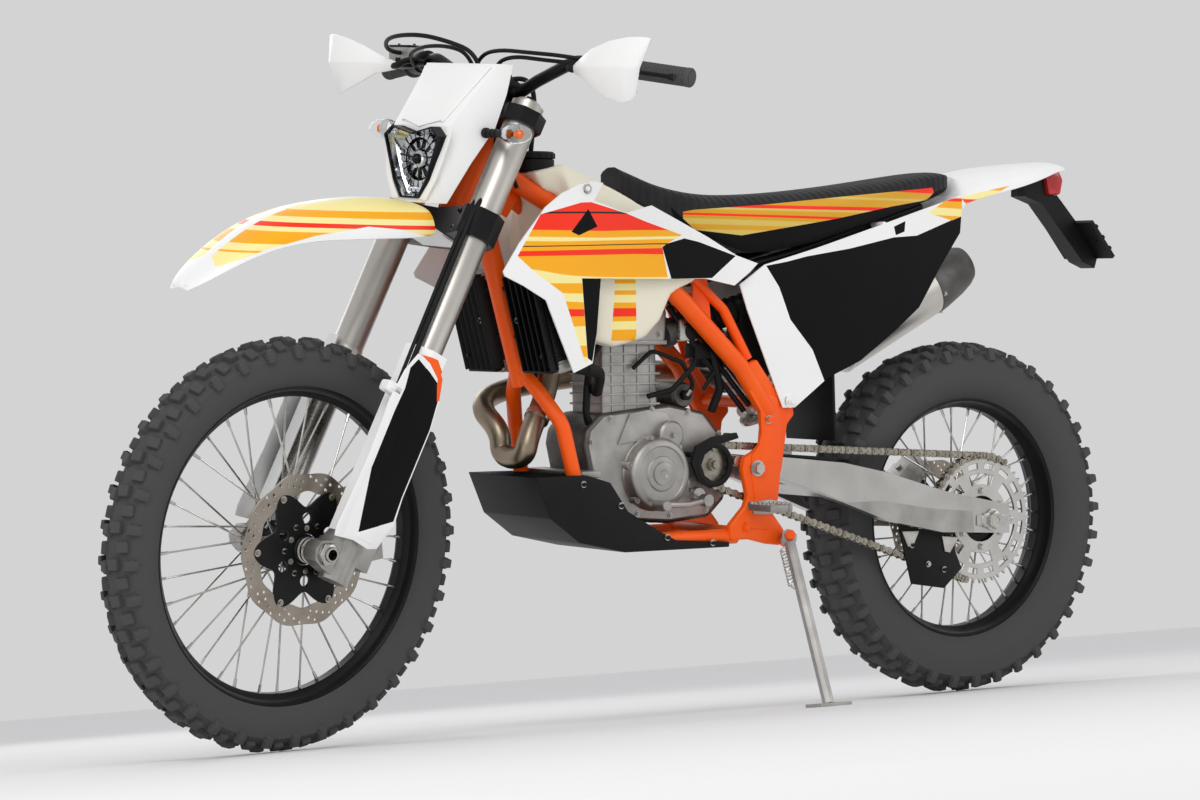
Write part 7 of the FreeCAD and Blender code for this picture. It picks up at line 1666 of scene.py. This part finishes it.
    bm = bmesh.new()
    shares = ((314.7, -262, 1190), (350, -262, 1190), (412, -190, 1214), (420, -90, 1220),
              (397, -30, 1208), (374, 15, 1190), (370, 38, 1130), (382.6, 44.7, 1098.4),
              (360.6, 49.9, 1087.7))
    tubing(bm, shares, 4, 0, 0, 5, "NURBS")
    loops = (
        ((320, 250, 1182), (348, 220, 1188), (372, 150, 1192), (376, 80, 1196), (366, 20, 1188),
         (356, -14, 1150), (346, -30, 1070), (336, -40, 980)),
        ((304, 268, 1170), (332, 240, 1176), (360, 180, 1180), (372, 110, 1186), (368, 60, 1172),
         (356, 44, 1120), (336, 46, 1040), (300, 52, 960)),
        ((304, -238, 1168), (340, -216, 1184), (372, -140, 1200), (376, -60, 1202), (368, -8, 1188),
         (354, 10, 1120), (326, 36, 1010)),
    )
    for loop in loops:
        tubing(bm, loop, 3.6, 0, 0, 5, "NURBS")
    dressed(bm, "control_cable_set", "steering", [BLACK], ["control_cables"])

    bm = bmesh.new()
    vent = ((238, 0, 1020), (236, 2, 1050), (242, 20, 1096), (262, 44, 1136), (292, 50, 1150),
            (318, 36, 1140))
    tubing(bm, vent, 4.4, 0, 0, 5, "NURBS")
    dressed(bm, "tank_vent_hose", "chassis", [BLACK])


# Stage

# The camera on the upright machine: its place, its direction of view and its lens
CAMERA_PLACE = (3250, 4632, 756)
CAMERA_VIEW = Vector((-0.5633, -0.8257, -0.0309))
CAMERA_LENS = 93.9


def lay_stage(scene):
    bm = bmesh.new()
    bmesh.ops.create_grid(bm, x_segments=1, y_segments=1, size=40)
    mesh = bpy.data.meshes.new("studio_floor")
    bm.to_mesh(mesh)
    bm.free()
    floor = bpy.data.objects.new("studio_floor", mesh)
    scene.collection.objects.link(floor)
    # Matt studio floor paint: pale, with nothing to look at
    shaded("pale_floor_paint", "#E9E9E9", "#EBEBEB", 900, 8, 0.05, 0.8, 0.03, **{"Specular IOR Level": 0.1})
    mesh.materials.append(bpy.data.materials["pale_floor_paint"])
    world = bpy.data.worlds.new("pale_studio")
    scene.world = world
    world.use_nodes = True
    tree = world.node_tree
    tree.nodes.clear()
    path = add(tree, "ShaderNodeLightPath")
    seen = add(tree, "ShaderNodeMath", links={0: (path, "Is Camera Ray"), 1: (path, "Is Glossy Ray")},
               operation="MAXIMUM")
    through = add(tree, "ShaderNodeMath", links={0: (seen, "Value"), 1: (path, "Is Transmission Ray")},
                  operation="MAXIMUM")
    soft = add(tree, "ShaderNodeBackground", {"Color": linear("#F4F4F6"), "Strength": 0.78})
    pale = add(tree, "ShaderNodeBackground", {"Color": linear("#D3D3D4"), "Strength": 1.0})
    mix = add(tree, "ShaderNodeMixShader", links={0: (through, "Value"), 1: (soft, "Background"),
            2: (pale, "Background")})
    add(tree, "ShaderNodeOutputWorld", links={"Surface": (mix, "Shader")})
    for name, place, aim, size, power in (("key_lamp", (2.6, 3.4, 3.6), (0, 0, 0.5), 2.2, 66),
            ("side_lamp", (-3.6, 3.0, 2.2), (-0.2, 0, 0.5), 2.0, 22),
            ("back_lamp", (-0.5, -4.2, 3.0), (0, 0, 0.6), 2.4, 36),
            ("low_lamp", (3.8, 1.6, 0.8), (0.4, 0, 0.4), 1.4, 8)):
        lamp = bpy.data.lights.new(name, "AREA")
        lamp.size = size
        lamp.energy = power
        holder = bpy.data.objects.new(name, lamp)
        scene.collection.objects.link(holder)
        holder.location = place
        holder.rotation_euler = (Vector(aim) - Vector(place)).to_track_quat("-Z", "Y").to_euler()
    camera = bpy.data.cameras.new("photo_camera")
    camera.lens = CAMERA_LENS
    camera.sensor_width = 36
    camera.clip_end = 200
    holder = bpy.data.objects.new("photo_camera", camera)
    scene.collection.objects.link(holder)
    look = CAMERA_VIEW.normalized().to_track_quat("-Z", "Y").to_matrix()
    turn = (PARKED.to_3x3() * 1000) @ look
    holder.matrix_world = Matrix.Translation(PARKED @ Vector(CAMERA_PLACE)) @ turn.to_4x4()
    scene.camera = holder
    scene.view_settings.view_transform = "Standard"


def finish_carried():
    for node in frame["nodes"].values():
        if not node.hide_render:
            for held in node.material_slots:
                held.material = bpy.data.materials[CAST]


# Operators

class EnduroFinishes(bpy.types.Operator):
    """Mix every finish of the motorcycle."""
    bl_idname = "enduro.finishes"
    bl_label = "Mix finishes"

    def execute(self, context):
        mix_finishes(context.scene)
        return {"FINISHED"}


class EnduroStage(bpy.types.Operator):
    """Lay the pale floor, and set the lamps and the camera."""
    bl_idname = "enduro.stage"
    bl_label = "Floor, lamps and camera"

    def execute(self, context):
        lay_stage(context.scene)
        return {"FINISHED"}


class EnduroTyres(bpy.types.Operator):
    """Mould both tyres with their tread blocks."""
    bl_idname = "enduro.tyres"
    bl_label = "Tyres"

    def execute(self, context):
        mould_tyres(context.scene)
        return {"FINISHED"}


class EnduroRims(bpy.types.Operator):
    """Lace both rims to their hubs."""
    bl_idname = "enduro.rims"
    bl_label = "Rims and spokes"

    def execute(self, context):
        lace_rims(context.scene)
        return {"FINISHED"}


class EnduroHubs(bpy.types.Operator):
    """Turn the hubs and fit the brake discs and the rear sprocket."""
    bl_idname = "enduro.hubs"
    bl_label = "Hubs, discs and sprocket"

    def execute(self, context):
        turn_hubs()
        return {"FINISHED"}


class EnduroChain(bpy.types.Operator):
    """Join the chain link by link."""
    bl_idname = "enduro.chain"
    bl_label = "Chain"

    def execute(self, context):
        join_chain()
        return {"FINISHED"}


class EnduroFrame(bpy.types.Operator):
    """Weld the frame, the subframe and the swingarm."""
    bl_idname = "enduro.frame"
    bl_label = "Frame"

    def execute(self, context):
        weld_frame()
        return {"FINISHED"}


class EnduroShock(bpy.types.Operator):
    """Coil the rear shock's spring round its damper."""
    bl_idname = "enduro.shock"
    bl_label = "Rear shock"

    def execute(self, context):
        coil_shock(context.scene)
        return {"FINISHED"}


class EnduroEngine(bpy.types.Operator):
    """Cast the engine's cases, cylinder, head and covers."""
    bl_idname = "enduro.engine"
    bl_label = "Engine"

    def execute(self, context):
        cast_engine()
        return {"FINISHED"}


class EnduroIntake(bpy.types.Operator):
    """Fit the throttle body, the boot and the airbox."""
    bl_idname = "enduro.intake"
    bl_label = "Intake"

    def execute(self, context):
        fit_intake()
        return {"FINISHED"}


class EnduroExhaust(bpy.types.Operator):
    """Bend the header and roll the muffler."""
    bl_idname = "enduro.exhaust"
    bl_label = "Exhaust"

    def execute(self, context):
        bend_exhaust()
        return {"FINISHED"}


class EnduroRadiators(bpy.types.Operator):
    """Fin the radiators and hang their guards."""
    bl_idname = "enduro.radiators"
    bl_label = "Radiators"

    def execute(self, context):
        hang_radiators(context.scene)
        return {"FINISHED"}


class EnduroBodywork(bpy.types.Operator):
    """Mould the shrouds, tank, seat, side panels and rear fender."""
    bl_idname = "enduro.bodywork"
    bl_label = "Bodywork"

    def execute(self, context):
        mould_bodywork()
        return {"FINISHED"}


class EnduroUnderside(bpy.types.Operator):
    """Fit the skid plate, pegs, pedals, chain guards, calipers and side stand."""
    bl_idname = "enduro.underside"
    bl_label = "Underside"

    def execute(self, context):
        fit_underside()
        return {"FINISHED"}


class EnduroFork(bpy.types.Operator):
    """Stand the fork in its clamps, with guards, axle and hoses."""
    bl_idname = "enduro.fork"
    bl_label = "Fork"

    def execute(self, context):
        stand_fork()
        return {"FINISHED"}


class EnduroFront(bpy.types.Operator):
    """Mould the front fender and the mask, and fit the lamps."""
    bl_idname = "enduro.front"
    bl_label = "Front fender and lamps"

    def execute(self, context):
        mould_front()
        return {"FINISHED"}


class EnduroControls(bpy.types.Operator):
    """Bend the handlebar and fit what the hands hold."""
    bl_idname = "enduro.controls"
    bl_label = "Handlebar"

    def execute(self, context):
        fit_controls()
        return {"FINISHED"}


class EnduroCarried(bpy.types.Operator):
    """Give the CAD nodes that still show their finishes."""
    bl_idname = "enduro.carried"
    bl_label = "Carried-over nodes"

    def execute(self, context):
        finish_carried()
        return {"FINISHED"}


STEPS = (EnduroFinishes, EnduroStage, EnduroTyres, EnduroRims, EnduroHubs, EnduroChain, EnduroFrame,
         EnduroShock, EnduroEngine, EnduroIntake, EnduroExhaust, EnduroRadiators, EnduroBodywork,
         EnduroUnderside, EnduroFork, EnduroFront, EnduroControls, EnduroCarried)


class EnduroPanel(bpy.types.Panel):
    """The sidebar tab that lists every step."""
    bl_idname = "VIEW3D_PT_enduro"
    bl_label = "Enduro motorcycle"
    bl_space_type = "VIEW_3D"
    bl_region_type = "UI"
    bl_category = "Enduro"

    def draw(self, context):
        for group in (context.scene.enduro_paints, context.scene.enduro_sizes):
            for key in group.bl_rna.properties.keys():
                if key not in ("rna_type", "name"):
                    self.layout.prop(group, key)
        for step in STEPS:
            self.layout.operator(step.bl_idname)


CLASSES = (EnduroPaints, EnduroSizes, *STEPS, EnduroPanel)


def register():
    for made in CLASSES:
        bpy.utils.register_class(made)
    bpy.types.Scene.enduro_paints = bpy.props.PointerProperty(type=EnduroPaints)
    bpy.types.Scene.enduro_sizes = bpy.props.PointerProperty(type=EnduroSizes)


def unregister():
    del bpy.types.Scene.enduro_sizes
    del bpy.types.Scene.enduro_paints
    for made in reversed(CLASSES):
        bpy.utils.unregister_class(made)


def main():
    """Registers the add-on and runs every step."""
    register()
    for step in STEPS:
        group, name = step.bl_idname.split(".")
        getattr(getattr(bpy.ops, group), name)()
    bpy.context.view_layer.update()


if __name__ == "__main__":
    main()
